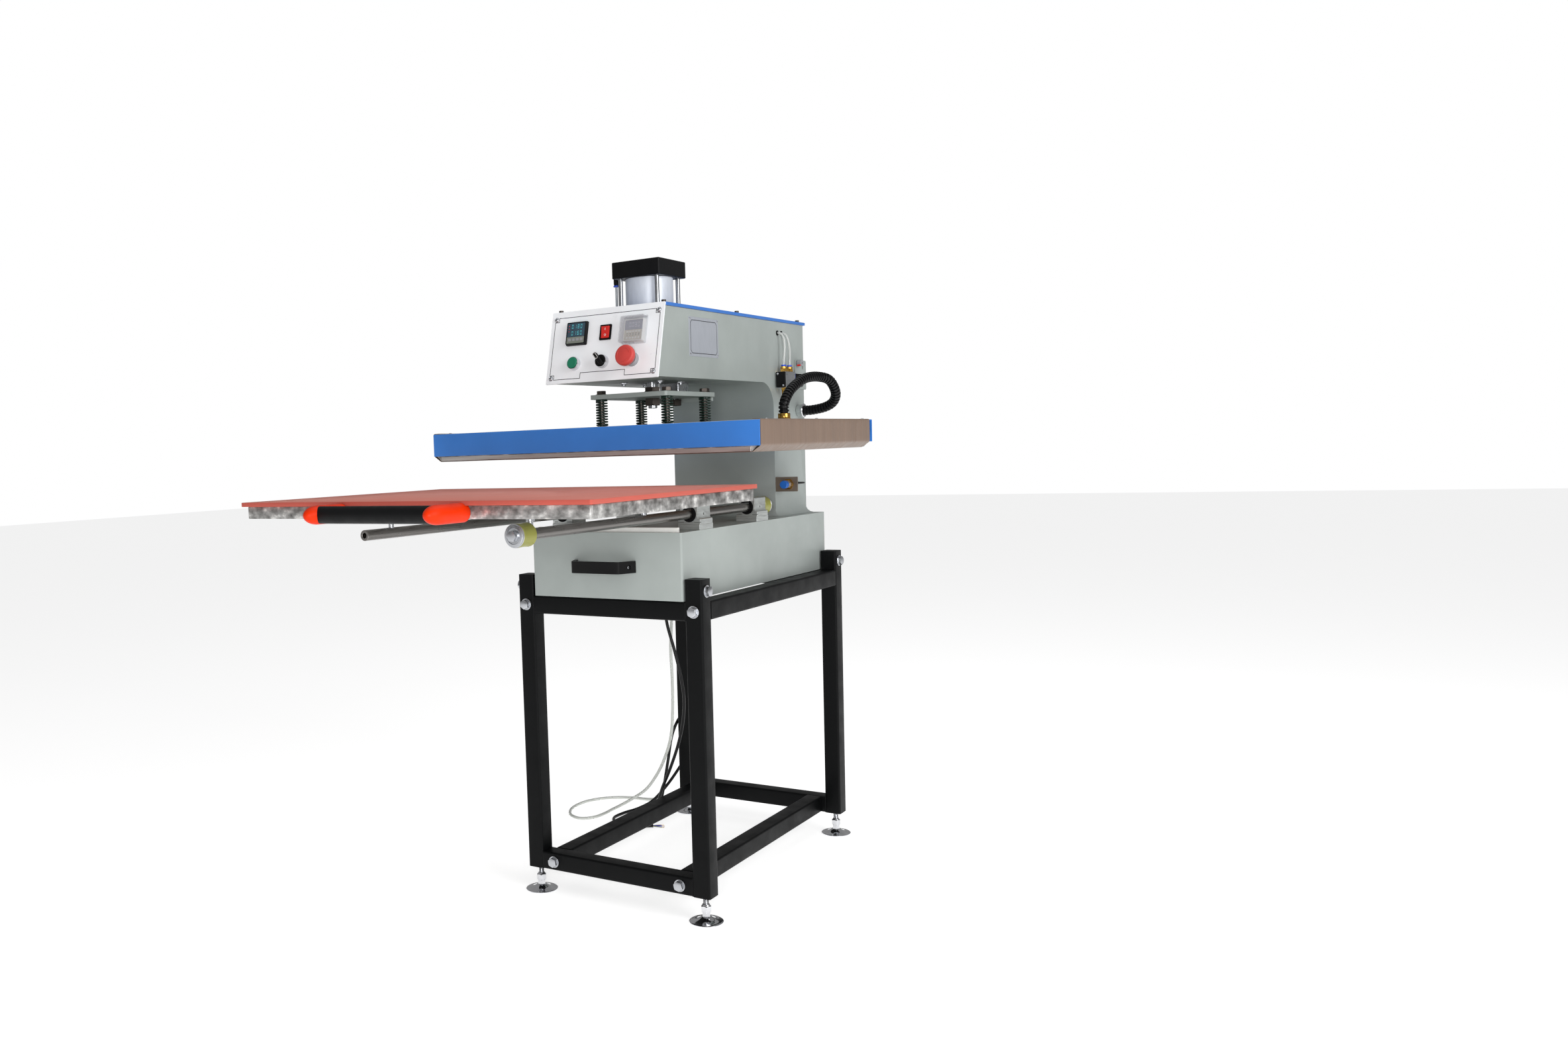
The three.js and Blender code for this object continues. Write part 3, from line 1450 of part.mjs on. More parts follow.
const panelSheet = cut(
  join(
    block([-panelWidth / 2, 0, -panelThickness], [panelWidth / 2, panelHeight, 0]),
    centred(selectorX, rockerRow, rockerFrameWidth / 2, rockerFrameHeight / 2, -overrun / 2, rockerFrameThickness),
    centred(
      selectorX,
      rockerRow,
      rockerHalf[0] + rockerWall,
      rockerHalf[1] + rockerWall,
      -rockerCase,
      0,
    ),
  ),
  panelCut(buttonX, controllerRow, bodyHalf(controllerSide) + seatGap),
  panelCut(stopX, timerRow, bodyHalf(timerSide) + seatGap),
  centred(selectorX, rockerRow, ...rockerHalf, -rockerCase - overrun, rockerFrameThickness + overrun),
  ...[buttonX, selectorX].map((x) => through(x, buttonBore)),
  through(stopX, stopBore),
);
piece('control_panel', join(
  panelSheet,
  collar(buttonX, bezelRadius, bezelHeight, buttonBore),
  collar(selectorX, bezelRadius, bezelHeight, buttonBore),
  collar(stopX, stopBaseRadius, stopBaseHeight, stopBore),
  ...corners(panelScrew),
), finishes.panelWhite, controls);

const instrument = (x, y, side) => join(
  centred(x, y, side / 2, side / 2, seatGap, instrumentBezel),
  centred(x, y, bodyHalf(side), bodyHalf(side), -instrumentBodyDepth, seatGap + overrun),
);
piece(
  'temperature_controller',
  instrument(buttonX, controllerRow, controllerSide),
  finishes.blackPlastic,
  controls,
);
piece('timer', instrument(stopX, timerRow, timerSide), finishes.blackPlastic, controls);
const coverHalf = timerCoverSide / 2;
piece('timer_cover', join(
  cut(
    centred(stopX, timerRow, coverHalf, coverHalf, seatGap, timerCoverDepth),
    centred(
      stopX,
      timerRow,
      coverHalf - timerCoverWall,
      coverHalf - timerCoverWall,
      -overrun,
      timerCoverDepth - timerCoverWall,
    ),
  ),
  round(
    timerHingeRadius,
    timerCoverSide,
    'x',
    [stopX - coverHalf, timerRow + coverHalf, timerHingeRadius + seatGap],
    8,
  ),
), finishes.clear, controls);

// Power rocker
const rockerPivot = rockerFrameThickness - rockerPivotDepth;

// The rocker is a wedge of two flats that meet over its pivot, tipped towards its lower end
const rockerShape = outline([
  [-rockerHeight / 2, rockerPivot - rockerThickness / 2],
  [rockerHeight / 2, rockerPivot - rockerThickness / 2],
  [rockerHeight / 2, rockerPivot + rockerRise],
  [0, rockerPivot + rockerRise / 2],
  [-rockerHeight / 2, rockerPivot + rockerRise / 3],
]);
piece('power_rocker', prism(rockerShape, 'x', -rockerWidth / 2, rockerWidth / 2)
  .translate(selectorX, rockerRow, 0), finishes.redPlastic, controls);

// Start button
const buttonTravel = buttonProud / 2;
piece('start_button', turned([
  [0, buttonTravel - buttonHousing],
  [buttonRadius, buttonTravel - buttonHousing],
  [buttonRadius, buttonProud - seatGap],
  [buttonRadius * buttonEdgeShare, buttonProud],
  [0, buttonProud],
], 'z', [buttonX, buttonRow, 0]), finishes.greenPlastic, controls);

// Selector: a round knob with a raised lever across it, on a stem in the bezel
const knobBase = bezelHeight + seatGap;
const leverShape = roundedRectangle(knobLever, knobLeverLength, knobLever / 3);
piece('selector_knob', join(
  turned([
    [0, -knobStem],
    [buttonRadius - seatGap, -knobStem],
    [buttonRadius - seatGap, knobBase],
    [knobRadius, knobBase],
    [knobRadius, knobBase + knobHeight * knobPlateShare],
    [0, knobBase + knobHeight * knobPlateShare],
  ], 'z', [0, 0, 0]),
  prism(leverShape, 'z', knobBase, knobBase + knobHeight),
).translate(selectorX, buttonRow, 0), finishes.blackPlastic, controls);

// Emergency stop: a red mushroom head on a neck
function mushroom() {
  const rim = stopHeadRise + stopHeadHeight * stopRimShare;
  const crown = stopHeadRise + stopHeadHeight;
  const steps = 4;
  const dome = Array.from({ length: steps + 1 }, (_, k) => {
    const angle = (Math.PI / 2) * (k / steps);
    return [stopHeadRadius * Math.cos(angle), rim + (crown - rim) * Math.sin(angle)];
  });
  dome[steps][0] = 0;
  return turned([
    [0, stopHeadRise - buttonHousing],
    [stopNeckRadius, stopHeadRise - buttonHousing],
    [stopNeckRadius, stopHeadRise],
    [stopHeadRadius * stopUnderShare, stopHeadRise],
    ...dome,
  ], 'z', [stopX, buttonRow, 0], 18);
}
piece('emergency_stop', mushroom(), finishes.redPlastic, controls);

// Mains cable and the clear supply hose with its plug
const mainsExit = outletFoot - mainsGlandLength - seatGap;
const mainsRoute = [
  [mainsGlandX, mainsGlandY, mainsExit],
  [-164, 150, 600],
  [-157, 150, 541],
  [-138, 150, 475],
  [-121, 150, 405],
  [-114, 150, 350],
  [-119, 150, 293],
  [-136, 152, 231],
  [-166, 157, 160],
  [-196, 166, 104],
  [-219, 183, 56],
  [-236, 206, 26],
  [-246, 238, 34],
  [-246, 262, 82],
  [-242, 282, 150],
  [-239, 302, 214],
  [-236, 332, 250],
  [-236, 364, 260],
  [-232, 386, 240],
  [-233, 398, 190],
  [-250, 402, 140],
  [-276, 390, 92],
  [-300, 360, 48],
  [-320, 322, 17],
  [-338, 276, 5.6],
  [-352, 226, 4.4],
  [-352, 176, 4.4],
  [-326, 142, 4.4],
  [-286, 134, 4.4],
  [-248, 144, 4.4],
  [-222, 160, 4.4],
];
piece('mains_cable', pipe(mainsRoute, mainsRadius, 8, 12 * mainsRadius), finishes.blackRubber);
const supplyExit = outletFoot - supplyFittingLength - seatGap;
const supplyRoute = [
  [supplyGlandX, supplyGlandY, supplyExit],
  [-172, 205, 590],
  [-176, 205, 530],
  [-180, 205, 467],
  [-181, 210, 395],
  [-185, 215, 308],
  [-199, 225, 229],
  [-233, 245, 160],
  [-281, 275, 98],
  [-331, 302, 50],
  [-372, 306, 22],
  [-396, 280, 6],
  [-398, 240, 4.3],
  [-396, 195, 4.3],
  [-404, 150, 4.3],
  [-430, 128, 4.3],
  [-466, 140, 4.3],
  [-494, 176, 4.3],
  [-508, 224, 4.3],
  [-504, 278, 4.3],
  [-480, 322, 4.3],
  [-446, 350, 4.3],
  [-404, 366, 4.3],
  [-362, 372, 4.3],
  [-330, 392, 4.3],
  [-304, 410, 5],
  [-280, 414, 6.5],
  [-262, 414, 6.5],
];
piece('supply_hose', pipe(supplyRoute, supplyRadius, 8, 12 * supplyRadius), finishes.clear);
const supplyEnd = supplyRoute[supplyRoute.length - 1];
piece('supply_plug', turned([
  [0, 0],
  [plugRadius, 0],
  [plugRadius, plugLength * plugBodyShare],
  [plugRadius * plugStemShare, plugLength * plugNeckShare],
  [plugRadius * plugStemShare, plugLength],
  [0, plugLength],
], 'x', [supplyEnd[0] + seatGap, supplyEnd[1], plugRadius], 12), finishes.brass);

// The origin is the middle of the floor area of the press, without its free cords
const freeCords = ['mains_cable', 'supply_hose', 'supply_plug'];
press.updateMatrixWorld(true);
const bounds = new THREE.Box3();
press.traverse((node) => {
  if (node.isMesh && !freeCords.includes(node.name)) {
    bounds.expandByObject(node, true);
  }
});
press.position.set(
  -(bounds.min.x + bounds.max.x) / 2,
  -(bounds.min.y + bounds.max.y) / 2,
  -bounds.min.z,
);
press.updateMatrixWorld(true);

export default press;
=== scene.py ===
# %% [markdown]
# # A pneumatic heat press, dressed in Blender
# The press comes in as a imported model: sixty hard pieces that already have their real sizes and joints.
# This lesson leaves them where they are and adds what a hard model can't carry: rounded edges, threads,
# springs, cords and the finish of each surface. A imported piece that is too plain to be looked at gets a
# finer mesh in its place.

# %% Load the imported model
import math
from functools import partial
from math import cos, pi, radians, sin

import bmesh
import bpy
from mathutils import Matrix, Vector


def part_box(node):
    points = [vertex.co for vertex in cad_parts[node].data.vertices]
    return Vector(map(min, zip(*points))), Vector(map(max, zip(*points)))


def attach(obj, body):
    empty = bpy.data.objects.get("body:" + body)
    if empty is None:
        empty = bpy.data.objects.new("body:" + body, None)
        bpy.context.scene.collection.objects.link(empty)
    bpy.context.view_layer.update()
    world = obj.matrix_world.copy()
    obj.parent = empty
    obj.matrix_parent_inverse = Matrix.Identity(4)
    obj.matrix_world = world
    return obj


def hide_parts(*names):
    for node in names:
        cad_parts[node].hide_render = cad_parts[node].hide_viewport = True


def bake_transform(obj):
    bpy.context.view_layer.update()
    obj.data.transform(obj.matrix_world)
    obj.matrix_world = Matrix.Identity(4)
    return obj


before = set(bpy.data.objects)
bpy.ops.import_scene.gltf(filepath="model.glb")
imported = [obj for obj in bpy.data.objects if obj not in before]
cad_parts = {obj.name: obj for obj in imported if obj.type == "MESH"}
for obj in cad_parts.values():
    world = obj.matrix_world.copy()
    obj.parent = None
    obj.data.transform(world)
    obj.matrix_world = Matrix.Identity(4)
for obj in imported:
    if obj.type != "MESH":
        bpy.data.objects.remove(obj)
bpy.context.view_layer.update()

# %% [markdown]
# ## From the drawing to the frame
# A maker draws in millimetres and counts depth from the press itself. Blender works in metres, from the
# middle of the floor area. One small function goes from the first to the second. The shift between them
# isn't typed in: the cabinet's front is at -380 on the drawing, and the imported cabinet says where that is
# in the frame.

# %% Millimetres of the drawing, metres of the frame
MM = 0.001
CABINET_FRONT = -380
SHIFT_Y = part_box("base_cabinet")[0].y / MM - CABINET_FRONT


def to_frame(point):
    """A point of the drawing as a point of the frame."""
    return Vector((point[0], point[1] + SHIFT_Y, point[2])) * MM


print("depth shift in mm:", round(SHIFT_Y, 2))

# %% [markdown]
# ## Camera, floor and light
# The camera's place, direction and focal length were worked out from edges of known direction. The view
# looks past the press, so it needs lens shift, as on a view camera: turning the camera instead would bend
# the uprights. A flash beside the lens, two soft boxes and a bright room keep the shadows pale.

# %% Camera at the photograph's angle
PHOTO_WIDTH, PHOTO_HEIGHT = 2368, 1568
FOCAL_PIXELS = 1917.6
AXIS_U, AXIS_V = 842.0, 827.4
CAMERA_PLACE = (1448.3, -2643.0, 987.5)
YAW, PITCH, ROLL = (radians(angle) for angle in (-34.733, -4.311, -2.023))
SENSOR = 36.0


def linked(name, data):
    """A mesh, lamp or camera as an object of the scene, at the origin."""
    obj = bpy.data.objects.new(name, data)
    bpy.context.scene.collection.objects.link(obj)
    return obj


def camera_turn():
    """Camera axes from compass angle, slope and roll, as columns of a matrix."""
    ahead = Vector((sin(YAW) * cos(PITCH), cos(YAW) * cos(PITCH), sin(PITCH)))
    level = Vector((cos(YAW), -sin(YAW), 0))
    upright = level.cross(ahead)
    right = cos(ROLL) * level + sin(ROLL) * upright
    up = -sin(ROLL) * level + cos(ROLL) * upright
    return Matrix((right, up, -ahead)).transposed()


lens = bpy.data.cameras.new("photo_camera")
lens.sensor_width = SENSOR
lens.lens = FOCAL_PIXELS / PHOTO_WIDTH * SENSOR
lens.shift_x = (PHOTO_WIDTH / 2 - AXIS_U) / PHOTO_WIDTH
lens.shift_y = (AXIS_V - PHOTO_HEIGHT / 2) / PHOTO_WIDTH
lens.clip_end = 60
camera = linked("photo_camera", lens)
camera.matrix_world = Matrix.Translation(to_frame(CAMERA_PLACE)) @ camera_turn().to_4x4()
bpy.context.scene.camera = camera
print("focal length in mm:", round(lens.lens, 2))

# %% Floor and lights
FLOOR_SIDE = 40
FLOOR_GLOW = 0.64


def pale_floor():
    """A wide pale floor at the height of the feet."""
    half = FLOOR_SIDE / 2
    mesh = bpy.data.meshes.new("studio_floor")
    mesh.from_pydata([(-half, -half, 0), (half, -half, 0), (half, half, 0), (-half, half, 0)], [],
        [(0, 1, 2, 3)])
    material = bpy.data.materials.new("pale_floor")
    material.use_nodes = True
    paint = material.node_tree.nodes["Principled BSDF"]
    for socket, value in (("Base Color", (0.85, 0.85, 0.85, 1)), ("Roughness", 0.7),
            ("Emission Color", (1, 1, 1, 1)), ("Emission Strength", FLOOR_GLOW)):
        paint.inputs[socket].default_value = value
    mesh.materials.append(material)
    linked("studio_floor", mesh)


def soft_box(name, place, side, power):
    """A square area light that looks at the middle of the press."""
    lamp = bpy.data.lights.new(name, "AREA")
    lamp.shape = "SQUARE"
    lamp.size = side
    lamp.energy = power
    box = linked(name, lamp)
    box.location = place
    box.rotation_euler = (Vector(MIDDLE) - Vector(place)).to_track_quat("-Z", "Y").to_euler()


MIDDLE = (0, 0.3, 0.9)
FLASH_LEFT, FLASH_UP = 0.15, 0.04
aside = camera_turn().col[0]
pale_floor()
soft_box("flash", camera.location - aside * FLASH_LEFT + Vector((0, 0, FLASH_UP)), 0.5, 23)
soft_box("side_light", (3.6, -0.9, 2.2), 2.2, 76)
soft_box("top_light", (0.2, 0.6, 3.8), 2.6, 26)


def bright_room(backdrop, fill):
    """A white backdrop for the picture, and a dimmer room for the light that falls on the press."""
    room = bpy.data.worlds.new("bright_room")
    room.use_nodes = True
    nodes, links = room.node_tree.nodes, room.node_tree.links
    strength = nodes.new("ShaderNodeMapRange")
    strength.inputs["To Min"].default_value = fill
    strength.inputs["To Max"].default_value = backdrop
    links.new(nodes.new("ShaderNodeLightPath").outputs["Is Camera Ray"], strength.inputs["Value"])
    links.new(strength.outputs[0], nodes["Background"].inputs["Strength"])
    nodes["Background"].inputs["Color"].default_value = (1, 1, 1, 1)
    bpy.context.scene.world = room


bright_room(1.0, 0.28)
bpy.context.scene.view_settings.view_transform = "Standard"

# %% [markdown]
# ## Finishes
# No real surface has one flat colour. Paint has orange peel, castings have blotches, plastic has a fine
# grain, and all of them shine a little unevenly. Each finish is a short recipe: a base colour that
# drifts, an uneven gloss, and a bump at the scale of the real grain. The patterns read object
# coordinates, so they stick to the piece from every side.

# %% A recipe for a finish
def rgb(red, green, blue):
    """A colour read off a photograph, as the linear colour that Blender mixes."""
    return tuple((c / 255 / 12.92) if c <= 10 else ((c / 255 + 0.055) / 1.055) ** 2.4
        for c in (red, green, blue))


class Finish:
    """A material under construction: a shader and the pattern nodes that feed it."""

    def __init__(self, name, colour, roughness, metallic=0.0, **fixed):
        self.material = bpy.data.materials.new(name)
        self.material.use_nodes = True
        self.nodes = self.material.node_tree.nodes
        self.links = self.material.node_tree.links
        self.shader = self.nodes["Principled BSDF"]
        self.colour = colour
        self.set("Base Color", (*colour, 1))
        self.set("Roughness", roughness)
        self.set("Metallic", metallic)
        for socket, value in fixed.items():
            self.set(socket.replace("_", " "), value)
        self.place = self.nodes.new("ShaderNodeTexCoord").outputs["Object"]
        self.height = None

    def set(self, socket, value):
        self.shader.inputs[socket].default_value = value

    def node(self, kind, **inputs):
        made = self.nodes.new(kind)
        for socket, value in inputs.items():
            target = made.inputs[socket.replace("_", " ")]
            if isinstance(value, bpy.types.NodeSocket):
                self.links.new(value, target)
            else:
                target.default_value = value
        return made

    def noise(self, scale, detail=3.0, stretch=(1, 1, 1)):
        """Cloudy noise, with its cells drawn out along the axes where stretch is small."""
        turned_place = self.node("ShaderNodeMapping", Vector=self.place, Scale=stretch)
        cloud = self.node("ShaderNodeTexNoise", Vector=turned_place.outputs[0], Scale=scale, Detail=detail)
        return cloud.outputs["Fac"]

    def ramp(self, value, stops):
        """Colours at places between 0 and 1."""
        band = self.node("ShaderNodeValToRGB", Fac=value)
        elements = band.color_ramp.elements
        while len(elements) < len(stops):
            elements.new(0.5)
        for element, (place, colour) in zip(elements, stops):
            element.position = place
            element.color = (*colour, 1)
        return band.outputs["Color"]

    def drift(self, scale, darker, lighter, low=0.35, high=0.65, **noise):
        """Let the base colour wander between a darker and a lighter share of itself."""
        shade = [tuple(c * share for c in self.colour) for share in (darker, lighter)]
        cloud = self.noise(scale, **noise)
        self.links.new(self.ramp(cloud, [(low, shade[0]), (high, shade[1])]),
            self.shader.inputs["Base Color"])
        return self

    def gloss(self, scale, low, high, **noise):
        """Let the roughness wander between two values."""
        spread = self.node("ShaderNodeMapRange", Value=self.noise(scale, **noise), From_Min=0.3,
            From_Max=0.7, To_Min=low, To_Max=high)
        self.links.new(spread.outputs[0], self.shader.inputs["Roughness"])
        return self

    def grain(self, scale, strength, distance, **noise):
        """Raise the surface by noise, on top of any grain that is there already."""
        return self.raised(self.noise(scale, **noise), strength, distance)

    def raised(self, height, strength, distance):
        bump = self.node("ShaderNodeBump", Height=height, Strength=strength, Distance=distance)
        if self.height is not None:
            self.links.new(self.height, bump.inputs["Normal"])
        self.height = bump.outputs["Normal"]
        self.links.new(self.height, self.shader.inputs["Normal"])
        return self


print("middle grey as light:", round(rgb(128, 128, 128)[0], 3))

# %% Paints
def orange_peel_paint(name, colour, roughness, peel=0.25, coat=0.12, **fixed):
    """Sprayed and baked paint: a soft orange peel, a little dust and an uneven gloss."""
    paint = Finish(name, colour, roughness, Coat_Weight=coat, Coat_Roughness=0.25, **fixed)
    paint.drift(9, 0.94, 1.05, detail=5.0)
    paint.gloss(25, roughness - 0.07, roughness + 0.08)
    paint.grain(420, peel, 0.0003, detail=2.0)
    return paint.grain(14, 0.15, 0.001).material


grey_paint = orange_peel_paint("grey_paint", rgb(158, 165, 162), 0.48)
frame_paint = orange_peel_paint("frame_paint", rgb(9, 10, 11), 0.42, 0.4, 0.0, Specular_IOR_Level=0.12)
lid_paint = orange_peel_paint("lid_paint", rgb(54, 114, 196), 0.42)
cover_paint = orange_peel_paint("cover_paint", rgb(54, 126, 212), 0.36, 0.15)
pale_paint = orange_peel_paint("pale_paint", rgb(184, 190, 186), 0.5)
panel_paint = orange_peel_paint("panel_paint", rgb(248, 252, 255), 0.34, 0.08)
spring_paint = orange_peel_paint("spring_paint", rgb(8, 36, 26), 0.3, 0.2, 0.0, Specular_IOR_Level=0.35)
print("finishes so far:", len(bpy.data.materials))

# %% Metals
def metal(name, colour, roughness, scale=60, spread=0.1, stretch=(1, 1, 1), bump=0.1, bare=1.0, stain=0.14):
    """Bare or plated metal: an uneven gloss and fine marks, drawn out along the way it was worked."""
    plate = Finish(name, colour, roughness, bare)
    plate.drift(30, 1 - stain, 1 + stain / 2, detail=6.0, stretch=stretch)
    plate.gloss(scale, max(0.03, roughness - spread), roughness + spread, detail=6.0, stretch=stretch)
    return plate.grain(scale * 9, bump, 0.0002, stretch=stretch).material


zinc_plate = metal("zinc_plate", rgb(190, 192, 196), 0.3, spread=0.12)
bright_chrome = metal("bright_chrome", rgb(222, 223, 226), 0.1, 30, 0.05, bump=0.03)
ground_steel = metal("ground_steel", rgb(128, 125, 122), 0.3, 90, 0.04, (2, 0.35, 2), 0.02, stain=0.05)
polished_steel = metal("polished_steel", rgb(170, 172, 176), 0.2, 60, 0.05, (5, 5, 0.3))
dark_steel = metal("dark_steel", rgb(84, 78, 74), 0.42, 40, 0.12)
stained_plate = metal("stained_plate", rgb(128, 116, 104), 0.42, 50, 0.1, bare=0.5)
drawn_tube = metal("drawn_tube", rgb(222, 226, 232), 0.42, 70, 0.05, (3, 3, 1), 0.05, 0.3, 0.05)
label_foil = metal("label_foil", rgb(174, 178, 186), 0.4, 80, 0.05, (1, 4, 1), 0.03, 0.25, 0.04)
block_metal = metal("block_metal", rgb(206, 210, 208), 0.46, 80, 0.08, (1, 1, 8))
valve_metal = metal("valve_metal", rgb(172, 174, 176), 0.42, 90, 0.08)
yellow_brass = metal("yellow_brass", rgb(205, 160, 80), 0.24, 50, 0.08)
milled_strip = metal("milled_strip", rgb(205, 200, 196), 0.4, 50, 0.12, (0.4, 6, 6))
print("finishes so far:", len(bpy.data.materials))

# %% Rough castings
def cast_metal():
    """Sand cast aluminium: bright and dull blotches, dents and scratches on a worn skin."""
    skin = Finish("cast_metal", rgb(178, 177, 176), 0.5, 0.7)
    blotch = skin.noise(48, detail=12.0, stretch=(1, 1, 1.4))
    shades = [(0.32, rgb(104, 103, 101)), (0.46, rgb(146, 145, 143)), (0.56, rgb(176, 175, 173)),
        (0.68, rgb(226, 225, 222))]
    skin.links.new(skin.ramp(blotch, shades), skin.shader.inputs["Base Color"])
    skin.gloss(30, 0.4, 0.72, detail=8.0)
    dents = skin.node("ShaderNodeTexVoronoi", Vector=skin.place, Scale=70.0)
    skin.raised(dents.outputs["Distance"], 0.35, 0.0012)
    skin.grain(45, 0.8, 0.002, detail=9.0)
    return skin.grain(420, 0.3, 0.0003, detail=2.0).material


cast_aluminium = cast_metal()
print("finishes so far:", len(bpy.data.materials))

# %% Plastics and rubber
def moulded(name, colour, roughness, grain=0.2, scale=900, **fixed):
    """Moulded plastic or rubber with a spark eroded grain and a faint drift of colour."""
    part = Finish(name, colour, roughness, **fixed)
    part.drift(24, 0.93, 1.06, detail=4.0)
    part.gloss(60, roughness - 0.06, roughness + 0.08)
    return part.grain(scale, grain, 0.00015).material


SOFT_BLACK = {"Specular_IOR_Level": 0.16}
black_plastic = moulded("black_plastic", rgb(14, 14, 15), 0.42, **SOFT_BLACK)
black_anodised = moulded("black_anodised", rgb(14, 14, 15), 0.4, 0.12, 500, **SOFT_BLACK)
black_rubber = moulded("black_rubber", rgb(12, 12, 13), 0.5, 0.35, 500, **SOFT_BLACK)
cable_rubber = moulded("cable_rubber", rgb(8, 8, 10), 0.34, 0.2, 700, Specular_IOR_Level=0.28)
grip_rubber = moulded("grip_rubber", rgb(12, 13, 14), 0.52, 0.5, 350, **SOFT_BLACK)
orange_plastic = moulded("orange_plastic", rgb(216, 46, 0), 0.4, 0.1, 200, Specular_IOR_Level=0.15)
red_plastic = moulded("red_plastic", rgb(214, 38, 30), 0.32, 0.08, Coat_Weight=0.2)
stop_red = moulded("stop_red", rgb(200, 66, 60), 0.46, 0.15)
green_plastic = moulded("green_plastic", rgb(24, 124, 92), 0.34, 0.08)
blue_plastic = moulded("blue_plastic", rgb(22, 96, 184), 0.36, 0.15)
collar_blue = moulded("collar_blue", rgb(28, 78, 210), 0.3, 0.1)
white_plastic = moulded("white_plastic", rgb(226, 226, 222), 0.4, 0.1)
beige_plastic = moulded("beige_plastic", rgb(198, 193, 176), 0.42, 0.1)
grey_plastic = moulded("grey_plastic", rgb(150, 152, 156), 0.45, 0.15)
olive_plastic = moulded("olive_plastic", rgb(128, 134, 124), 0.4, 0.1)
brown_plastic = moulded("brown_plastic", rgb(92, 52, 28), 0.4, 0.1)
urethane = moulded("urethane", rgb(150, 150, 66), 0.34, 0.08, 300, Transmission_Weight=0.15)
print_ink = moulded("print_ink", rgb(36, 38, 42), 0.5, 0.05)
print("finishes so far:", len(bpy.data.materials))

# %% Silicone, clear plastics and displays
def silicone():
    """Sponge silicone: a dry skin with pores, and pressed marks where garments lay."""
    pad = Finish("silicone_pad", rgb(184, 84, 72), 0.8, Sheen_Weight=0.35, Sheen_Roughness=0.45,
        Sheen_Tint=(1, 0.6, 0.5, 1), Specular_IOR_Level=0.25)
    pad.drift(6, 0.93, 1.05, detail=8.0)
    pad.gloss(12, 0.62, 0.82, detail=6.0)
    pores = pad.node("ShaderNodeTexVoronoi", Vector=pad.place, Scale=900.0)
    pad.raised(pores.outputs["Distance"], 0.18, 0.0002)
    return pad.grain(9, 0.2, 0.0012, detail=5.0).material


def clear(name, colour, roughness, clarity, **fixed):
    """Clear plastic: light passes, with a haze of fine scratches."""
    shell = Finish(name, colour, roughness, Transmission_Weight=clarity, **fixed)
    shell.gloss(80, roughness, roughness + 0.1, detail=6.0)
    return shell.grain(60, 0.05, 0.0003).material


def lit(name, colour, strength):
    """A lit segment behind a tinted window."""
    glow = Finish(name, colour, 0.4, Emission_Color=(*colour, 1), Emission_Strength=strength)
    return glow.drift(400, 0.8, 1.1).material


red_silicone = silicone()
clear_case = clear("clear_case", rgb(190, 192, 198), 0.08, 0.0, Alpha=0.24)
clear_tube = clear("clear_tube", (0.9, 0.92, 0.9), 0.15, 0.55)
milky_tube = clear("milky_tube", (0.86, 0.88, 0.84), 0.25, 0.45)
dark_window = moulded("dark_window", rgb(58, 80, 94), 0.14, 0.02)
grey_window = moulded("grey_window", rgb(140, 144, 158), 0.2, 0.02)
teal_segment = lit("teal_segment", rgb(84, 176, 186), 0.2)
pale_segment = lit("pale_segment", rgb(188, 190, 200), 0.1)
print("finishes so far:", len(bpy.data.materials))

# %% [markdown]
# ## Shapes
# A lathe, a saw and a press brake make nearly every part of this machine, and three ways of working make
# nearly every mesh: turning a profile round an axis, drawing out an outline, and sweeping a section along
# a path. Each returns plain lists of corners and faces in millimetres, so shapes can be moved and joined
# before Blender sees them. A drill is a Boolean between two of them.

# %% Turn, saw and sweep
AXES = {"x": Matrix.Rotation(pi / 2, 3, "Y"), "-x": Matrix.Rotation(-pi / 2, 3, "Y"),
    "y": Matrix.Rotation(-pi / 2, 3, "X"), "-y": Matrix.Rotation(pi / 2, 3, "X"), "z": Matrix.Identity(3),
    "-z": Matrix.Rotation(pi, 3, "X")}


def moved(shape, place=(0, 0, 0), axis="z"):
    """Stand a shape along another axis, then carry it to its place."""
    corners, faces = shape
    return [AXES[axis] @ Vector(c) + Vector(place) for c in corners], faces


def merged(*shapes):
    """Several shapes as one list of corners and faces."""
    corners, faces = [], []
    for some_corners, some_faces in shapes:
        faces += [[i + len(corners) for i in face] for face in some_faces]
        corners += some_corners
    return corners, faces


def turned(profile, place=(0, 0, 0), axis="z", sides=48):
    """Radius and height pairs turned round an axis; a profile may close on itself round a bore."""
    corners, faces, rings = [], [], []
    for radius, height in profile:
        count = sides if radius else 1
        rings.append([len(corners) + k for k in range(count)])
        for k in range(count):
            angle = 2 * pi * k / sides
            corners.append(Vector((radius * cos(angle), radius * sin(angle), height)))
    for low, high in zip(rings, rings[1:]):
        for k in range(sides if len(low) + len(high) > 2 else 0):
            after = (k + 1) % sides
            face = [low[k % len(low)], low[after % len(low)], high[after % len(high)], high[k % len(high)]]
            faces.append(list(dict.fromkeys(face)))
    return moved((corners, faces), place, axis)


def rod(radius, length, place=(0, 0, 0), axis="z", edge=0.4, sides=40):
    """A cylinder with broken edges."""
    edge = min(edge, radius / 3, length / 3)
    return turned([(0, 0), (radius - edge, 0), (radius, edge), (radius, length - edge),
        (radius - edge, length), (0, length)], place, axis, sides)


def ring(outer, inner, length, place=(0, 0, 0), axis="z", edge=0.4, sides=48):
    """A bush or washer with broken edges."""
    edge = min(edge, (outer - inner) / 3, length / 3)
    return turned([(inner, 0), (outer - edge, 0), (outer, edge), (outer, length - edge),
        (outer - edge, length), (inner, length), (inner, 0)], place, axis, sides)


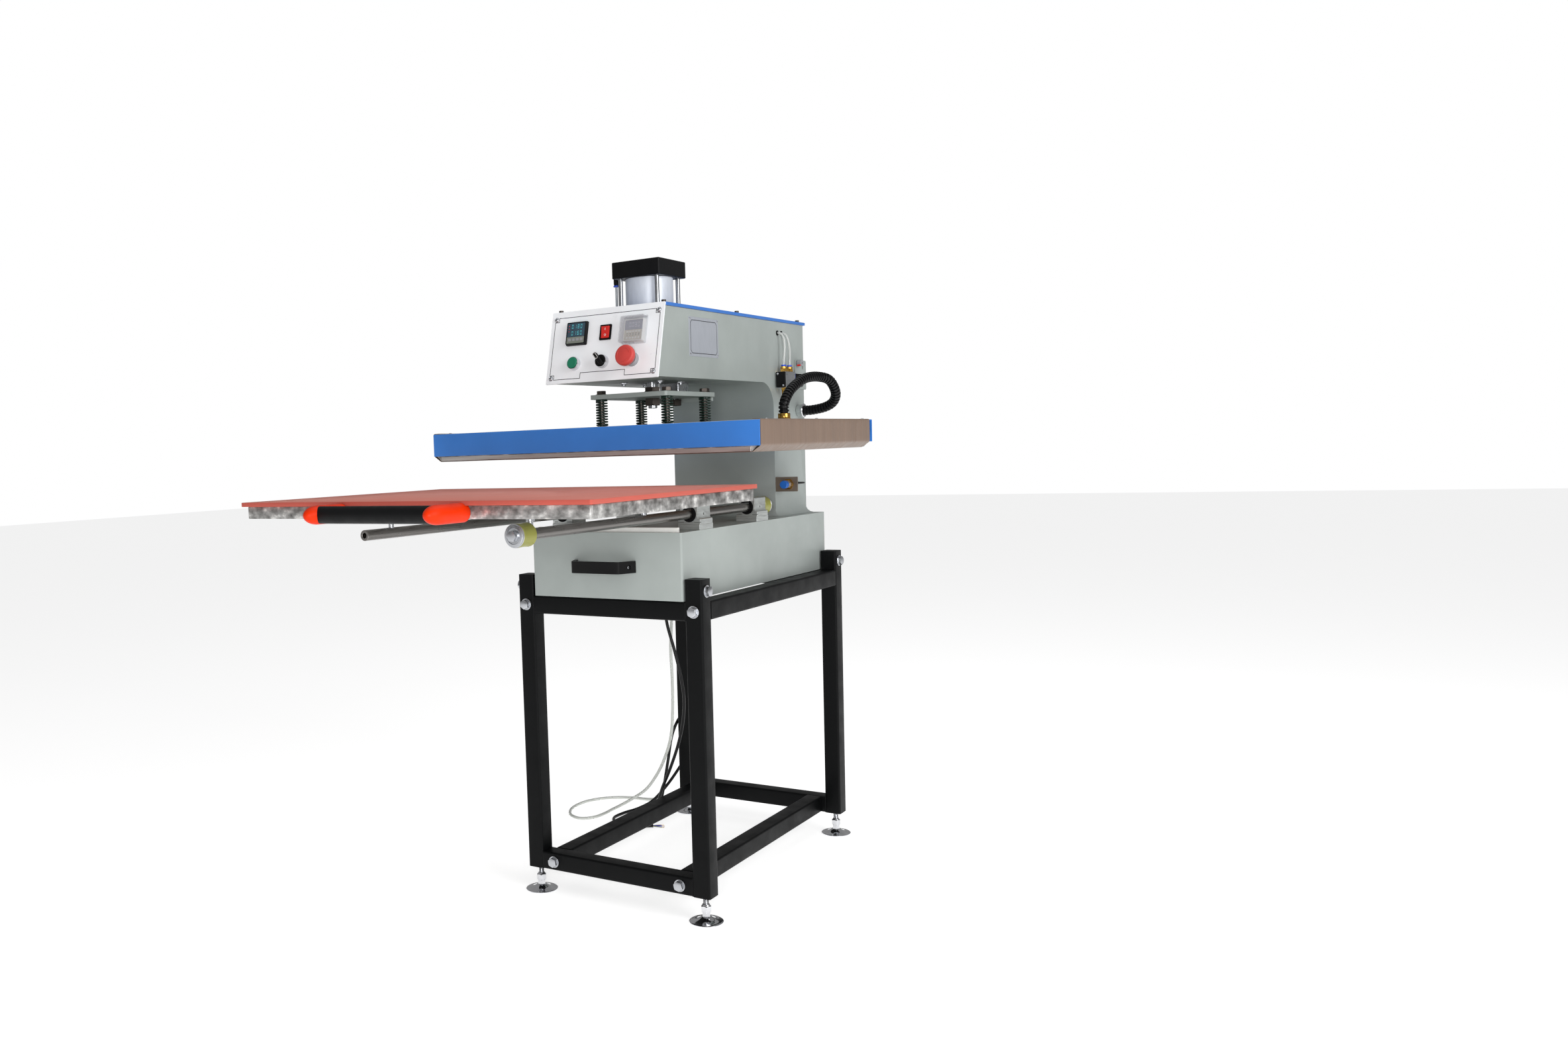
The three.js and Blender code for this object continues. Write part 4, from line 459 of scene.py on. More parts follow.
def prism(outline, axis, low, high):
    """An outline in the two other axes, in their order, drawn out along one axis."""
    order = {"x": (2, 0, 1), "y": (0, 2, 1), "z": (0, 1, 2)}[axis]
    count = len(outline)
    corners = []
    for end in (low, high):
        for a, b in outline:
            mixed = (a, b, end)
            corners.append(Vector(mixed[i] for i in order))
    faces = [list(range(count)), list(range(count, 2 * count))]
    faces += [[k, (k + 1) % count, (k + 1) % count + count, k + count] for k in range(count)]
    return corners, faces


def rounded(width, height, radius, centre=(0, 0), steps=6):
    """Outline of a rectangle with round corners."""
    points = []
    for turn, (sx, sy) in enumerate(((1, 1), (-1, 1), (-1, -1), (1, -1))):
        for k in range(steps + 1):
            angle = pi / 2 * (turn + k / steps)
            points.append((centre[0] + sx * (width / 2 - radius) + radius * cos(angle),
                centre[1] + sy * (height / 2 - radius) + radius * sin(angle)))
    return points


def block(low, high):
    """A box between two corners."""
    outline = [(low[0], low[1]), (high[0], low[1]), (high[0], high[1]), (low[0], high[1])]
    return prism(outline, "z", low[2], high[2])


def skinned(rings, closed=False):
    """A closed body through rings; closed joins the last ring to the first, round a bore."""
    sides = len(rings[0])
    corners = [corner for one in rings for corner in one]
    faces = []
    pairs = list(zip(range(len(rings)), range(1, len(rings))))
    pairs += [(len(rings) - 1, 0)] if closed else []
    for low, high in pairs:
        faces += [[low * sides + k, low * sides + (k + 1) % sides, high * sides + (k + 1) % sides,
            high * sides + k] for k in range(sides)]
    if not closed:
        faces += [list(range(sides)), [len(corners) - sides + k for k in range(sides)]]
    return corners, faces


def hexagon(across, height, place=(0, 0, 0), axis="z", chamfer=0.12):
    """A hexagon nut or head with its top corners turned off by a lathe."""
    crest, reach, per_side = across / 2 * 0.96, across / math.sqrt(3), 4
    turns = [Vector((cos(pi / 3 * k), sin(pi / 3 * k))) for k in range(7)]
    outline = [(a + (b - a) * k / per_side) * reach for a, b in zip(turns, turns[1:])
        for k in range(per_side)]
    drop = height * chamfer / (reach - crest)
    foot = [Vector((*p, 0)) for p in outline]
    shoulder = [Vector((*p, height - max(0, p.length - crest) * drop)) for p in outline]
    top = [Vector((*(p.normalized() * crest), height)) for p in outline]
    return moved(skinned([foot, shoulder, top]), place, axis)


print("corners of a hexagon head:", len(hexagon(19, 8)[0]))

# %% Paths and sweeps
def smooth_path(points, step):
    """A centripetal curve through points, cut into steps of about one length."""
    points = [Vector(p) for p in points]
    ends = [2 * points[0] - points[1]] + points + [2 * points[-1] - points[-2]]
    path = []
    for before, a, b, after in zip(ends, ends[1:], ends[2:], ends[3:]):
        k0, k1, k2 = (math.sqrt((q - p).length) for p, q in ((before, a), (a, b), (b, after)))
        leave = ((a - before) / k0 - (b - before) / (k0 + k1) + (b - a) / k1) * k1
        arrive = ((b - a) / k1 - (after - a) / (k1 + k2) + (after - b) / k2) * k1
        count = max(1, round((b - a).length / step))
        for k in range(count):
            t = k / count
            path.append(a + leave * t + (3 * (b - a) - 2 * leave - arrive) * t ** 2
                + (2 * (a - b) + leave + arrive) * t ** 3)
    return path + [points[-1]]


def path_length(path):
    return sum((b - a).length for a, b in zip(path, path[1:]))


def carried_rings(path, radii, sides):
    """Rings of corners square to a path, carried along it without twist."""
    tangents = [(path[min(i + 1, len(path) - 1)] - path[max(i - 1, 0)]).normalized()
        for i in range(len(path))]
    across = tangents[0].orthogonal().normalized()
    rings = []
    for i, (point, radius) in enumerate(zip(path, radii)):
        if i:
            across = tangents[i - 1].rotation_difference(tangents[i]) @ across
        other = tangents[i].cross(across)
        rings.append([point + radius * (cos(2 * pi * k / sides) * across + sin(2 * pi * k / sides) * other)
            for k in range(sides)])
    return rings


def swept(path, radius, sides=16, bore=0):
    """A round bar or, with a bore, a tube along a path."""
    outer = carried_rings(path, [radius] * len(path), sides)
    if not bore:
        return skinned(outer)
    inner = carried_rings(path, [bore] * len(path), sides)
    return skinned(outer + inner[::-1], closed=True)


def cross_drilled(body, *tools):
    """Cut shapes out of a shape with Booleans, and return the shape that is left."""
    made = []
    for corners, faces in (body, *tools):
        mesh = bpy.data.meshes.new("stock")
        mesh.from_pydata(corners, [], faces)
        tidy_mesh(mesh)
        made.append(linked("stock", mesh))
    for tool in made[1:]:
        cut = made[0].modifiers.new("cut", "BOOLEAN")
        cut.operation = "DIFFERENCE"
        cut.object = tool
    left = made[0].evaluated_get(bpy.context.evaluated_depsgraph_get()).to_mesh()
    shape = [v.co.copy() for v in left.vertices], [list(p.vertices) for p in left.polygons]
    for thing in made:
        bpy.data.meshes.remove(thing.data)
    return shape


def tidy_mesh(mesh):
    """Merge doubled corners and turn every face outwards."""
    work = bmesh.new()
    work.from_mesh(mesh)
    bmesh.ops.remove_doubles(work, verts=work.verts, dist=1e-6)
    bmesh.ops.recalc_face_normals(work, faces=work.faces)
    work.to_mesh(mesh)
    work.free()


print("a quarter bend of 16 steps:", len(swept([Vector((0, 0, z)) for z in range(16)], 1)[1]), "faces")

# %% [markdown]
# ## From a shape to a piece
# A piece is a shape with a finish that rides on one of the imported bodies. A Bevel modifier breaks its
# edges, because an edge with no width catches no light and looks drawn. Smooth shading stops at edges
# sharper than 35 degrees, so turned faces look round and flats stay flat.

# %% Make a piece
SMOOTH_ANGLE = radians(35)
BEVEL_ANGLE = radians(40)
FLAT_ANGLE = radians(1)
made_pieces = []


def dressed(obj, body, replaces=None, bevel=0.0):
    """Shade, bevel and hang a finished mesh object on its body."""
    for polygon in obj.data.polygons:
        polygon.use_smooth = True
    obj.data.set_sharp_from_angle(angle=SMOOTH_ANGLE)
    if bevel:
        edge = obj.modifiers.new("broken_edges", "BEVEL")
        edge.width = bevel * MM
        edge.segments = 2
        edge.limit_method = "ANGLE"
        edge.angle_limit = BEVEL_ANGLE
        edge.harden_normals = True
    if body:
        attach(obj, body)
    if replaces:
        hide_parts(replaces)
    made_pieces.append(obj.name)
    return obj


def piece(name, shape, finish, replaces=None, bevel=0.0, body="stand"):
    """A named piece from corners and faces in drawing millimetres."""
    mesh = bpy.data.meshes.new(name)
    mesh.from_pydata([to_frame(c) for c in shape[0]], [], shape[1])
    mesh.materials.append(finish)
    tidy_mesh(mesh)
    return dressed(linked(name, mesh), body, replaces, bevel)


def from_node(node, name, bevel, zones=()):
    """A packed sheet piece's own mesh in grey paint, with other finishes in some zones."""
    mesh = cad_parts[node].data.copy()
    mesh.materials.clear()
    for some in (grey_paint, *(zone[0] for zone in zones)):
        mesh.materials.append(some)
    work = bmesh.new()
    work.from_mesh(mesh)
    bmesh.ops.remove_doubles(work, verts=work.verts, dist=1e-6)
    for face in work.faces:
        middle = face.calc_center_median() / MM - Vector((0, SHIFT_Y, 0))
        face.material_index = next((i + 1 for i, zone in enumerate(zones) if zone[1](middle)), 0)
    bmesh.ops.dissolve_limit(work, angle_limit=FLAT_ANGLE, verts=work.verts, edges=work.edges,
        delimit={"MATERIAL"})
    work.to_mesh(mesh)
    work.free()
    return dressed(linked(name, mesh), "stand", node, bevel)


def node_box(node):
    """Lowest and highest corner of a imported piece, in drawing millimetres."""
    return tuple(Vector(corner) / MM - Vector((0, SHIFT_Y, 0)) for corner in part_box(node))


print("cabinet from and to:", *node_box("base_cabinet"))

# %% [markdown]
# ## Mains cable and supply hose
# Both leave the cabinet from below, hang down beside the rear left leg and lie on the floor. The mains
# cable ends in three bare wires for the fitter, the supply hose in a brass plug. Their points are set as
# a cable designer would pin them: straight out of the exit, down under gravity, then along the floor.

# %% Routes of both cords
CORD_RADIUS = 4
CORD_STEP = 4
mains_points = [(-165, 150, 631.7), (-164, 150, 600), (-157, 150, 541), (-138, 150, 475), (-121, 150, 405),
    (-114, 150, 350), (-119, 150, 293), (-136, 152, 231), (-166, 157, 160), (-196, 166, 104),
    (-219, 183, 56), (-236, 206, 26), (-246, 238, 34), (-246, 262, 82), (-242, 282, 150), (-239, 302, 214),
    (-236, 332, 250), (-236, 364, 260), (-232, 386, 240), (-233, 398, 190), (-250, 402, 140),
    (-276, 390, 92), (-300, 360, 48), (-320, 322, 17), (-338, 276, 5.6), (-352, 226, 4.4), (-352, 176, 4.4),
    (-326, 142, 4.4), (-286, 134, 4.4), (-248, 144, 4.4), (-222, 160, 4.4)]
supply_points = [(-172, 205, 639.7), (-172, 205, 590), (-176, 205, 530), (-180, 205, 467), (-181, 210, 395),
    (-185, 215, 308), (-199, 225, 229), (-233, 245, 160), (-281, 275, 98), (-331, 302, 50), (-372, 306, 22),
    (-396, 280, 6), (-398, 240, 4.3), (-396, 195, 4.3), (-404, 150, 4.3), (-430, 128, 4.3),
    (-466, 140, 4.3), (-494, 176, 4.3), (-508, 224, 4.3), (-504, 278, 4.3), (-480, 322, 4.3),
    (-446, 350, 4.3), (-404, 366, 4.3), (-362, 372, 4.3), (-330, 392, 4.3), (-304, 410, 5),
    (-280, 414, 6.5), (-262, 414, 6.5)]
mains_path = smooth_path(mains_points, CORD_STEP)
supply_path = smooth_path(supply_points, CORD_STEP)
print("mains cable mm:", round(path_length(mains_path)), "supply hose mm:", round(path_length(supply_path)))

# %% Wires and plug on the far ends
WIRE_RADIUS = 1.1
WIRE_LENGTH = 26
STRAND_RADIUS = 0.7
STRAND_LENGTH = 7


def bare_wires():
    """Three insulated wires that fan out of the cut cable, each with a stripped end."""
    end = mains_path[-1]
    ahead = (mains_path[-1] - mains_path[-3]).normalized()
    aside = ahead.cross(Vector((0, 0, 1))).normalized()
    colours = {"brown": brown_plastic, "blue": collar_blue, "earth": urethane}
    wires = []
    for k, (colour, finish) in enumerate(colours.items()):
        lean = (k - 1) * 0.32
        start = end - ahead * 3 + aside * (k - 1) * 1.6
        wire_end = start + (ahead + aside * lean).normalized() * WIRE_LENGTH + Vector((0, 0, -1.4))
        middle = start.lerp(wire_end, 0.5) + aside * lean * 2
        path = smooth_path([start, middle, wire_end], 1.5)
        tip = (path[-1] - path[-2]).normalized()
        wires.append(piece(f"mains_wire_{colour}", swept(path, WIRE_RADIUS, 12), finish))
        strand = [path[-1] - tip, path[-1] + tip * STRAND_LENGTH]
        wires.append(piece(f"mains_strand_{colour}", swept(strand, STRAND_RADIUS, 8), yellow_brass))
    return wires


PLUG_PROFILE = [(0, 0), (6, 0), (6.5, 0.6), (6.5, 8), (5.6, 8.6), (5.6, 10), (6.5, 10.6), (6.5, 13),
    (5.6, 13.8), (3.9, 17), (3.9, 21), (3.2, 21.6), (3.2, 23.4), (3.9, 24), (3.9, 33.2), (3.2, 34), (2, 34),
    (2, 28), (0, 28)]
plug_place = supply_path[-1] + Vector((0.3, 0, 0))
supply_plug = piece("supply_plug_turned", turned(PLUG_PROFILE, plug_place, "x"), yellow_brass,
    "supply_plug")
wires = bare_wires()
print("wires and strands:", len(wires))

# %% The two cords
def cord(name, path, finish, node, bore):
    """A free cord as a mesh along its path."""
    tube = piece(name, swept(path, CORD_RADIUS, 16, bore), finish, node)


cord("mains_cable_sheath", mains_path, cable_rubber, "mains_cable", 0)
cord("supply_hose_tube", supply_path, milky_tube, "supply_hose", 2.6)
print("pieces so far:", len(made_pieces))

# %% [markdown]
# ## Geometry Nodes for what repeats
# Bolts, screws and springs are better grown than placed by hand. A node tree takes named sizes, grows a
# shape on every point of a seed mesh, and turns its instances into real mesh with a material, because
# instances don't survive an export. A seed point carries the direction that its screw looks in, and a
# fixed seed number turns each head a little differently, as spanners leave them.

# %% Build and run a tree
def new_tree(name, **sockets):
    """A node group with a geometry input and output, and named inputs of each kind."""
    tree = bpy.data.node_groups.new(name, "GeometryNodeTree")
    tree.interface.new_socket("Geometry", in_out="INPUT", socket_type="NodeSocketGeometry")
    for kind, labels in sockets.items():
        for label in labels:
            tree.interface.new_socket(label, in_out="INPUT", socket_type="NodeSocket" + kind)
    tree.interface.new_socket("Geometry", in_out="OUTPUT", socket_type="NodeSocketGeometry")
    return tree


def grow_node(tree, kind, inputs=None, **settings):
    """Add a node, set it up, and feed its inputs with values or with other nodes' outputs."""
    made = tree.nodes.new(kind)
    for key, value in settings.items():
        setattr(made, key, value)
    for socket, value in (inputs or {}).items():
        if isinstance(value, bpy.types.NodeSocket):
            tree.links.new(value, made.inputs[socket])
        else:
            made.inputs[socket].default_value = value
    return made


def arithmetic(tree, operation, *values):
    return grow_node(tree, "ShaderNodeMath", dict(enumerate(values)), operation=operation).outputs[0]


def finished_tree(tree, geometry, finish):
    """Close a tree: realize its instances and give them their finish."""
    real = grow_node(tree, "GeometryNodeRealizeInstances", {0: geometry})
    painted = grow_node(tree, "GeometryNodeSetMaterial", {0: real.outputs[0], "Material": finish})
    grow_node(tree, "NodeGroupOutput", {0: painted.outputs[0]})
    return tree


def grown(name, tree, seed_mesh, inputs, body, replaces=None):
    """Run a tree on a seed mesh, keep the result as a plain mesh, and hang it on its body."""
    seed = linked(name + "_seed", seed_mesh)
    modifier = seed.modifiers.new("tree", "NODES")
    modifier.node_group = tree
    for item in tree.interface.items_tree:
        if item.in_out == "INPUT" and item.name in inputs:
            modifier[item.identifier] = inputs[item.name]
    mesh = bpy.data.meshes.new_from_object(seed.evaluated_get(bpy.context.evaluated_depsgraph_get()))
    bpy.data.objects.remove(seed)
    mesh.name = name
    return dressed(linked(name, mesh), body, replaces)


def place_mesh(name, places):
    """A seed mesh of points that remember which way is out."""
    mesh = bpy.data.meshes.new(name)
    mesh.from_pydata([to_frame(point) for point, _ in places], [], [])
    out = mesh.attributes.new("out", "FLOAT_VECTOR", "POINT")
    for item, (_, direction) in zip(out.data, places):
        item.vector = direction
    return mesh


def both_sides(x, rows):
    """Spots left and right of the middle, in rows of the other axis."""
    return [(s * x, row) for s in (-1, 1) for row in rows]


def facing(spots, height, way=1):
    """Seed places at one height that look up, or down where way is -1."""
    return [((x, y, height), (0, 0, way)) for x, y in spots]


def fastener_tree():
    """A fastener on every seed point, standing along the point's own direction."""
    tree = new_tree("fasteners", Object=("Fastener",), Int=("Turn Seed",), Material=("Finish",))
    add = partial(grow_node, tree)
    given = add("NodeGroupInput").outputs
    points = add("GeometryNodeMeshToPoints", {0: given["Geometry"]})
    shape = add("GeometryNodeObjectInfo", {"Object": given["Fastener"]})
    out = add("GeometryNodeInputNamedAttribute", {"Name": "out"}, data_type="FLOAT_VECTOR")
    stand_up = add("FunctionNodeAlignRotationToVector", {"Vector": out.outputs[0]}, axis="Z")
    turn = add("FunctionNodeRandomValue", {"Seed": given["Turn Seed"]}, data_type="FLOAT")
    turn.inputs[3].default_value = 2 * pi
    spin = add("FunctionNodeAxisAngleToRotation", {"Angle": turn.outputs[1]})
    both = add("FunctionNodeRotateRotation", {0: stand_up.outputs[0], 1: spin.outputs[0]},
        rotation_space="LOCAL")
    heads = add("GeometryNodeInstanceOnPoints", {"Points": points.outputs[0], "Rotation": both.outputs[0],
        "Instance": shape.outputs["Geometry"]})
    return finished_tree(tree, heads.outputs[0], given["Finish"])


screw_tree = fastener_tree()


def fasteners(name, shape, places, finish, turn_seed, body="stand"):
    """Copies of one fastener shape, made by the tree, as one piece on one body."""
    mesh = bpy.data.meshes.new(name + "_shape")
    mesh.from_pydata([Vector(c) * MM for c in shape[0]], [], shape[1])
    tidy_mesh(mesh)
    model = bpy.data.objects.new(name + "_shape", mesh)
    inputs = {"Fastener": model, "Turn Seed": turn_seed, "Finish": finish}
    made = grown(name, screw_tree, place_mesh(name, places), inputs, body)
    bpy.data.objects.remove(model)
    return made


print("tree:", screw_tree.name, "with", len(screw_tree.nodes), "nodes")

# %% Fastener shapes
def hexagon_bolt(across, height, washer_radius=0, washer_height=0, nose=0):
    """A hexagon head on an optional washer, with an optional thread end proud of a nut."""
    parts = [hexagon(across, height, (0, 0, washer_height))]
    if washer_radius:
        parts.append(ring(washer_radius, across / 4, washer_height, edge=0.5, sides=40))
    if nose:
        parts.append(rod(across * 0.3, nose, (0, 0, washer_height + height - 0.5), edge=1, sides=24))
    return merged(*parts)


def cross_screw(radius, height):
    """A domed head with a cross recess."""
    dome = [(radius * cos(a), height * sin(a)) for a in (k * pi / 12 for k in range(6))]
    head = turned([(0, -0.5), (radius, -0.5), *dome, (0, height)], sides=28)
    arm, slot = radius * 0.55, radius * 0.12
    recess = [block((-x, -y, height * 0.35), (x, y, height * 2)) for x, y in ((arm, slot), (slot, arm))]
    return cross_drilled(head, *recess)


def socket_screw(radius, height, key):
    """A cylinder head with a hexagon socket."""
    head = rod(radius, height, edge=0.5, sides=32)
    return cross_drilled(head, hexagon(key, height, (0, 0, height * 0.4), chamfer=0))


print("corners of a cross recessed screw:", len(cross_screw(4, 2.4)[0]))

# %% [markdown]
# ## Stand
# Two welded end frames of 40 mm square tube carry side rails bolted between them. The tube has round
# corners, the leg tops are capped, and each rail meets its leg in a weld bead. The frames are built again
# from round-cornered bars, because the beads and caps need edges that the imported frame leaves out.

# %% Square tube frames
TUBE = 40
TUBE_CORNER = 4.5
LEG_X = 210
BEAD = 2.2
LEG_FOOT, LEG_TOP = (node_box("front_frame")[k].z for k in (0, 1))
RAIL_LEVELS = (LEG_FOOT + TUBE / 2, node_box("upper_rail_left")[0].z + TUBE / 2)
FRONT_Y = CABINET_FRONT + TUBE / 2
REAR_Y = node_box("upper_rail_left")[1].y + TUBE / 2 + 0.3


def weld_bead(x, y, z, half):
    """A ring of weld round a square rail where it meets a leg, slightly rippled."""
    path, radii = [], []
    for k in range(96):
        angle = 2 * pi * k / 96
        reach = (half - TUBE_CORNER / 2) / max(abs(cos(angle)), abs(sin(angle)))
        a, b = (min(reach, half * 1.33) * f(angle) for f in (cos, sin))
        path.append(Vector((x, y + a, z + b)))
        radii.append(BEAD * (1 + 0.12 * sin(k * 1.9)))
    return skinned(carried_rings(path, radii, 8), closed=True)


def end_frame(y):
    """Two capped legs, two rails between them and the beads that join them."""
    legs = [prism(rounded(TUBE, TUBE, TUBE_CORNER, (x, y)), "z", LEG_FOOT, LEG_TOP)
        for x in (-LEG_X, LEG_X)]
    inner = LEG_X - TUBE / 2
    rails = [prism(rounded(TUBE - 0.3, TUBE - 0.3, TUBE_CORNER, (y, z)), "x", -inner, inner)
        for z in RAIL_LEVELS]
    beads = [weld_bead(s * inner, y, z, TUBE / 2) for s in (-1, 1) for z in RAIL_LEVELS]
    return merged(*legs, *rails, *beads)


piece("end_frame_front", end_frame(FRONT_Y), frame_paint, "front_frame", 0.8)
piece("end_frame_rear", end_frame(REAR_Y), frame_paint, "rear_frame", 0.8)
rail_names = [f"{level}_rail_{side}" for level in ("upper", "lower") for side in ("left", "right")]
for rail in rail_names:
    low, high = node_box(rail)
    centre = ((low.x + high.x) / 2, (low.z + high.z) / 2)
    bar = prism(rounded(TUBE, TUBE, TUBE_CORNER, centre), "y", low.y, high.y)
    piece(rail + "_tube", bar, frame_paint, rail, 0.5)
print("frames at depths", round(FRONT_Y), round(REAR_Y))

# %% Bolts of the stand
LOWER_BOLT_X = 160
CABINET_BOLT_Z = 694
stand_places = []
for depth, way in ((CABINET_FRONT, -1), (REAR_Y + TUBE / 2, 1)):
    for s in (-1, 1):
        stand_places.append(((s * LEG_X, depth, RAIL_LEVELS[1]), (0, way, 0)))
        stand_places.append(((s * LOWER_BOLT_X, depth, RAIL_LEVELS[0]), (0, way, 0)))
        stand_places.append(((s * (LEG_X + TUBE / 2), depth - way * TUBE / 2, CABINET_BOLT_Z), (s, 0, 0)))
fasteners("stand_bolts", hexagon_bolt(19, 7.5, 13, 2.5), stand_places, zinc_plate, 7)
print("stand bolts:", len(stand_places))

# %% [markdown]
# ## Levelling feet
# Each leg stands on a pressed chrome bell. Its stem is an M12 thread with a hexagon at the foot, to turn
# it, and a lock nut under the leg. A thread is one helical ridge, so its skin is a formula: the radius
# rises and falls with the height and the angle together. Each foot is a piece on its own body, because it
# turns about its stem.

# %% Turn, thread and nut
THREAD_PITCH = 1.75


def thread(radius, low, high, depth=0.9, pitch=THREAD_PITCH, sides=24):
    """A helical ridge between two heights."""
    steps = round((high - low) / pitch * 6)
    rings = []
    for j in range(steps + 1):
        z = low + (high - low) * j / steps
        radii = [radius - depth * abs(2 * ((z / pitch - k / sides) % 1) - 1) for k in range(sides)]
        angles = [2 * pi * k / sides for k in range(sides)]
        rings.append([Vector((r * cos(a), r * sin(a), z)) for r, a in zip(radii, angles)])
    return skinned(rings)


def bell_profile():
    """Rim, concave bell and crown of a foot, from the floor up."""
    hollow = [(36 - 26 * (t := k / 10), 3.2 + 8.8 * t ** 2.4) for k in range(11)]
    return [(0, 0), (35.4, 0), (36, 0.6), (36, 2.2), (35.2, 2.8)] + hollow[1:] + [(8, 12.2), (0, 12.2)]


def levelling_foot():
    nut = hexagon(20, 12, (0, 0, 23.2))
    flange = turned([(0, 34.6), (9.6, 34.6), (9.2, 35.6), (7.4, 38), (0, 38)])
    return merged(turned(bell_profile(), sides=64), hexagon(16, 11, (0, 0, 12)), nut, flange,
        thread(6, 37, LEG_FOOT + 12))


for corner in ("front_left", "front_right", "rear_left", "rear_right"):
    low, high = node_box(f"foot_{corner}")
    centre = ((low.x + high.x) / 2, (low.y + high.y) / 2, 0)
    piece(f"levelling_foot_{corner}", moved(levelling_foot(), centre), bright_chrome, f"foot_{corner}",
        body=f"foot_{corner}")
print("thread turns:", round((LEG_FOOT + 12 - 37) / THREAD_PITCH, 1))

# %% [markdown]
# ## Cabinet, column and head
# These are big folded and welded sheet steel boxes in one grey-green paint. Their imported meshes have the
# right outline, so each is copied, its loose triangles are merged into flat faces, and every edge gets a
# fine radius. A zone test on each face's middle gives the outlets under the cabinet their own finish.

# %% Cabinet with its outlets
SHEET_BEVEL = 1.2
DECK = node_box("upper_rail_left")[1].z + 0.3
CABINET_TOP = node_box("bearing_block_front_left")[0].z - 0.3
MAINS_OUTLET, SUPPLY_OUTLET = (-165, 150), (-172, 205)


def near(spot, radius):
    """A zone test: faces round an outlet, at or below the underside of the cabinet."""
    return lambda middle: middle.z < DECK + 2 and (Vector(spot) - middle.xy).length < radius


def front_strip(middle):
    return middle.z > CABINET_TOP + 0.05


cabinet_zones = [(black_plastic, near(MAINS_OUTLET, 13)), (yellow_brass, near(SUPPLY_OUTLET, 10)),
    (white_plastic, front_strip)]
from_node("base_cabinet", "cabinet_shell", SHEET_BEVEL, cabinet_zones)
from_node("column_and_head", "column_and_head_shell", 0.9)
from_node("rear_cover", "rear_cover_plate", 0.4)
print("cabinet top at", round(CABINET_TOP, 1))

# %% [markdown]
# ## Cabinet handle
# A black moulded bridge: an outline drawn once and drawn out up and down, with a drilled recess and a
# screw in each foot.

# %% The bridge
def cabinet_bridge():
    low, high = node_box("cabinet_handle")
    base, reach, thick = (high.x - low.x) / 2, low.y - high.y, 9
    front = base - 19.5
    outline = [(-base, 0), (-front - 2, reach + 3), (-front + 4, reach), (front - 4, reach),
        (front + 2, reach + 3), (base, 0), (base - thick, 0), (front - 4, reach + thick),
        (-front + 4, reach + thick), (thick - base, 0)]
    bar = prism([(x, y + high.y) for x, y in outline], "z", low.z, high.z)
    middle = (low.z + high.z) / 2
    wells = [rod(5, 9, (s * (base - 3), high.y - 16, middle), "-x" if s > 0 else "x", sides=28)
        for s in (-1, 1)]
    return cross_drilled(bar, *wells), base, high.y, middle


bridge, bridge_base, bridge_root, bridge_middle = cabinet_bridge()
piece("cabinet_handle_bridge", bridge, black_plastic, "cabinet_handle", 1.6)
fasteners("cabinet_handle_screws", socket_screw(3.6, 3, 3),
    [((s * (bridge_base - 11), bridge_root - 16, bridge_middle), (s, 0, 0)) for s in (-1, 1)], zinc_plate,
    3)
print("handle span:", round(2 * bridge_base))

# %% [markdown]
# ## Lid
# The head is closed by a shallow lid of blue painted sheet, screwed down at six places: a tray, less its
# inside, less the square hole for the cylinder and the small hole for the hose.

# %% The lid and its screws
LID_SKIN = 2
LID_SCREW_INSET = 12
PRESS_Y = -159
CYLINDER_SIDE = 120.2
lid_low, lid_high = node_box("head_lid")
LID_TOP = lid_high.z - 4.5
ELBOW_X = -CYLINDER_SIDE / 2 - 26


def lid_tray():
    tray = block(lid_low, (lid_high.x, lid_high.y, LID_TOP))
    inside = block((-138, lid_low.y - 5, lid_low.z - 5), (138, lid_high.y - LID_SKIN, LID_TOP - LID_SKIN))
    square = prism(rounded(114, 114, 8, (0, PRESS_Y)), "z", lid_low.z - 5, LID_TOP + 5)
    return cross_drilled(tray, inside, square, rod(3.5, 30, (ELBOW_X, PRESS_Y, lid_low.z - 9)))


piece("head_lid_tray", lid_tray(), lid_paint, "head_lid", 0.6)
HEAD_REAR = node_box("column_and_head")[1].y
lid_rows = [lid_low.y + LID_SCREW_INSET, HEAD_REAR - LID_SCREW_INSET]
lid_rows.insert(1, sum(lid_rows) / 2)
lid_places = facing(both_sides(lid_high.x - LID_SCREW_INSET, lid_rows), LID_TOP)
fasteners("lid_screws",
    merged(ring(6.6, 2, 1.2, edge=0.3), moved(socket_screw(4.9, 4.6, 3.6), (0, 0, 1.2))), lid_places,
    dark_steel, 5)
print("lid screws:", len(lid_places))

# %% [markdown]
# ## Control panel
# The panel is a white sheet that leans back by 14 degrees, so its parts are easier to draw on a flat
# board: x from its middle, s up the slope and n straight out of it. One function lays a shape drawn that
# way onto the slope. The sheet has real cut-outs, so the instruments sit in it as on the bench. Labels
# are left off, and the displays show plain figures.

# %% From the board to the slope
PANEL_TILT = radians(14)
PANEL_FOOT = (0, -375, 1133.5)
PANEL_HALF = 140
PANEL_RISE = (LID_TOP + 0.4 - PANEL_FOOT[2]) / cos(PANEL_TILT)
PANEL_SHEET = 3
ON_SLOPE = Matrix.Rotation(pi / 2 - PANEL_TILT, 3, "X")


def on_panel(shape):
    """Lay a shape drawn on the board onto the slope."""
    return [ON_SLOPE @ Vector(c) + Vector(PANEL_FOOT) for c in shape[0]], shape[1]


def panel_places(points):
    """Seed places for screws on the panel."""
    out = ON_SLOPE @ Vector((0, 0, 1))
    return [(ON_SLOPE @ Vector((*point, 0)) + Vector(PANEL_FOOT), out) for point in points]


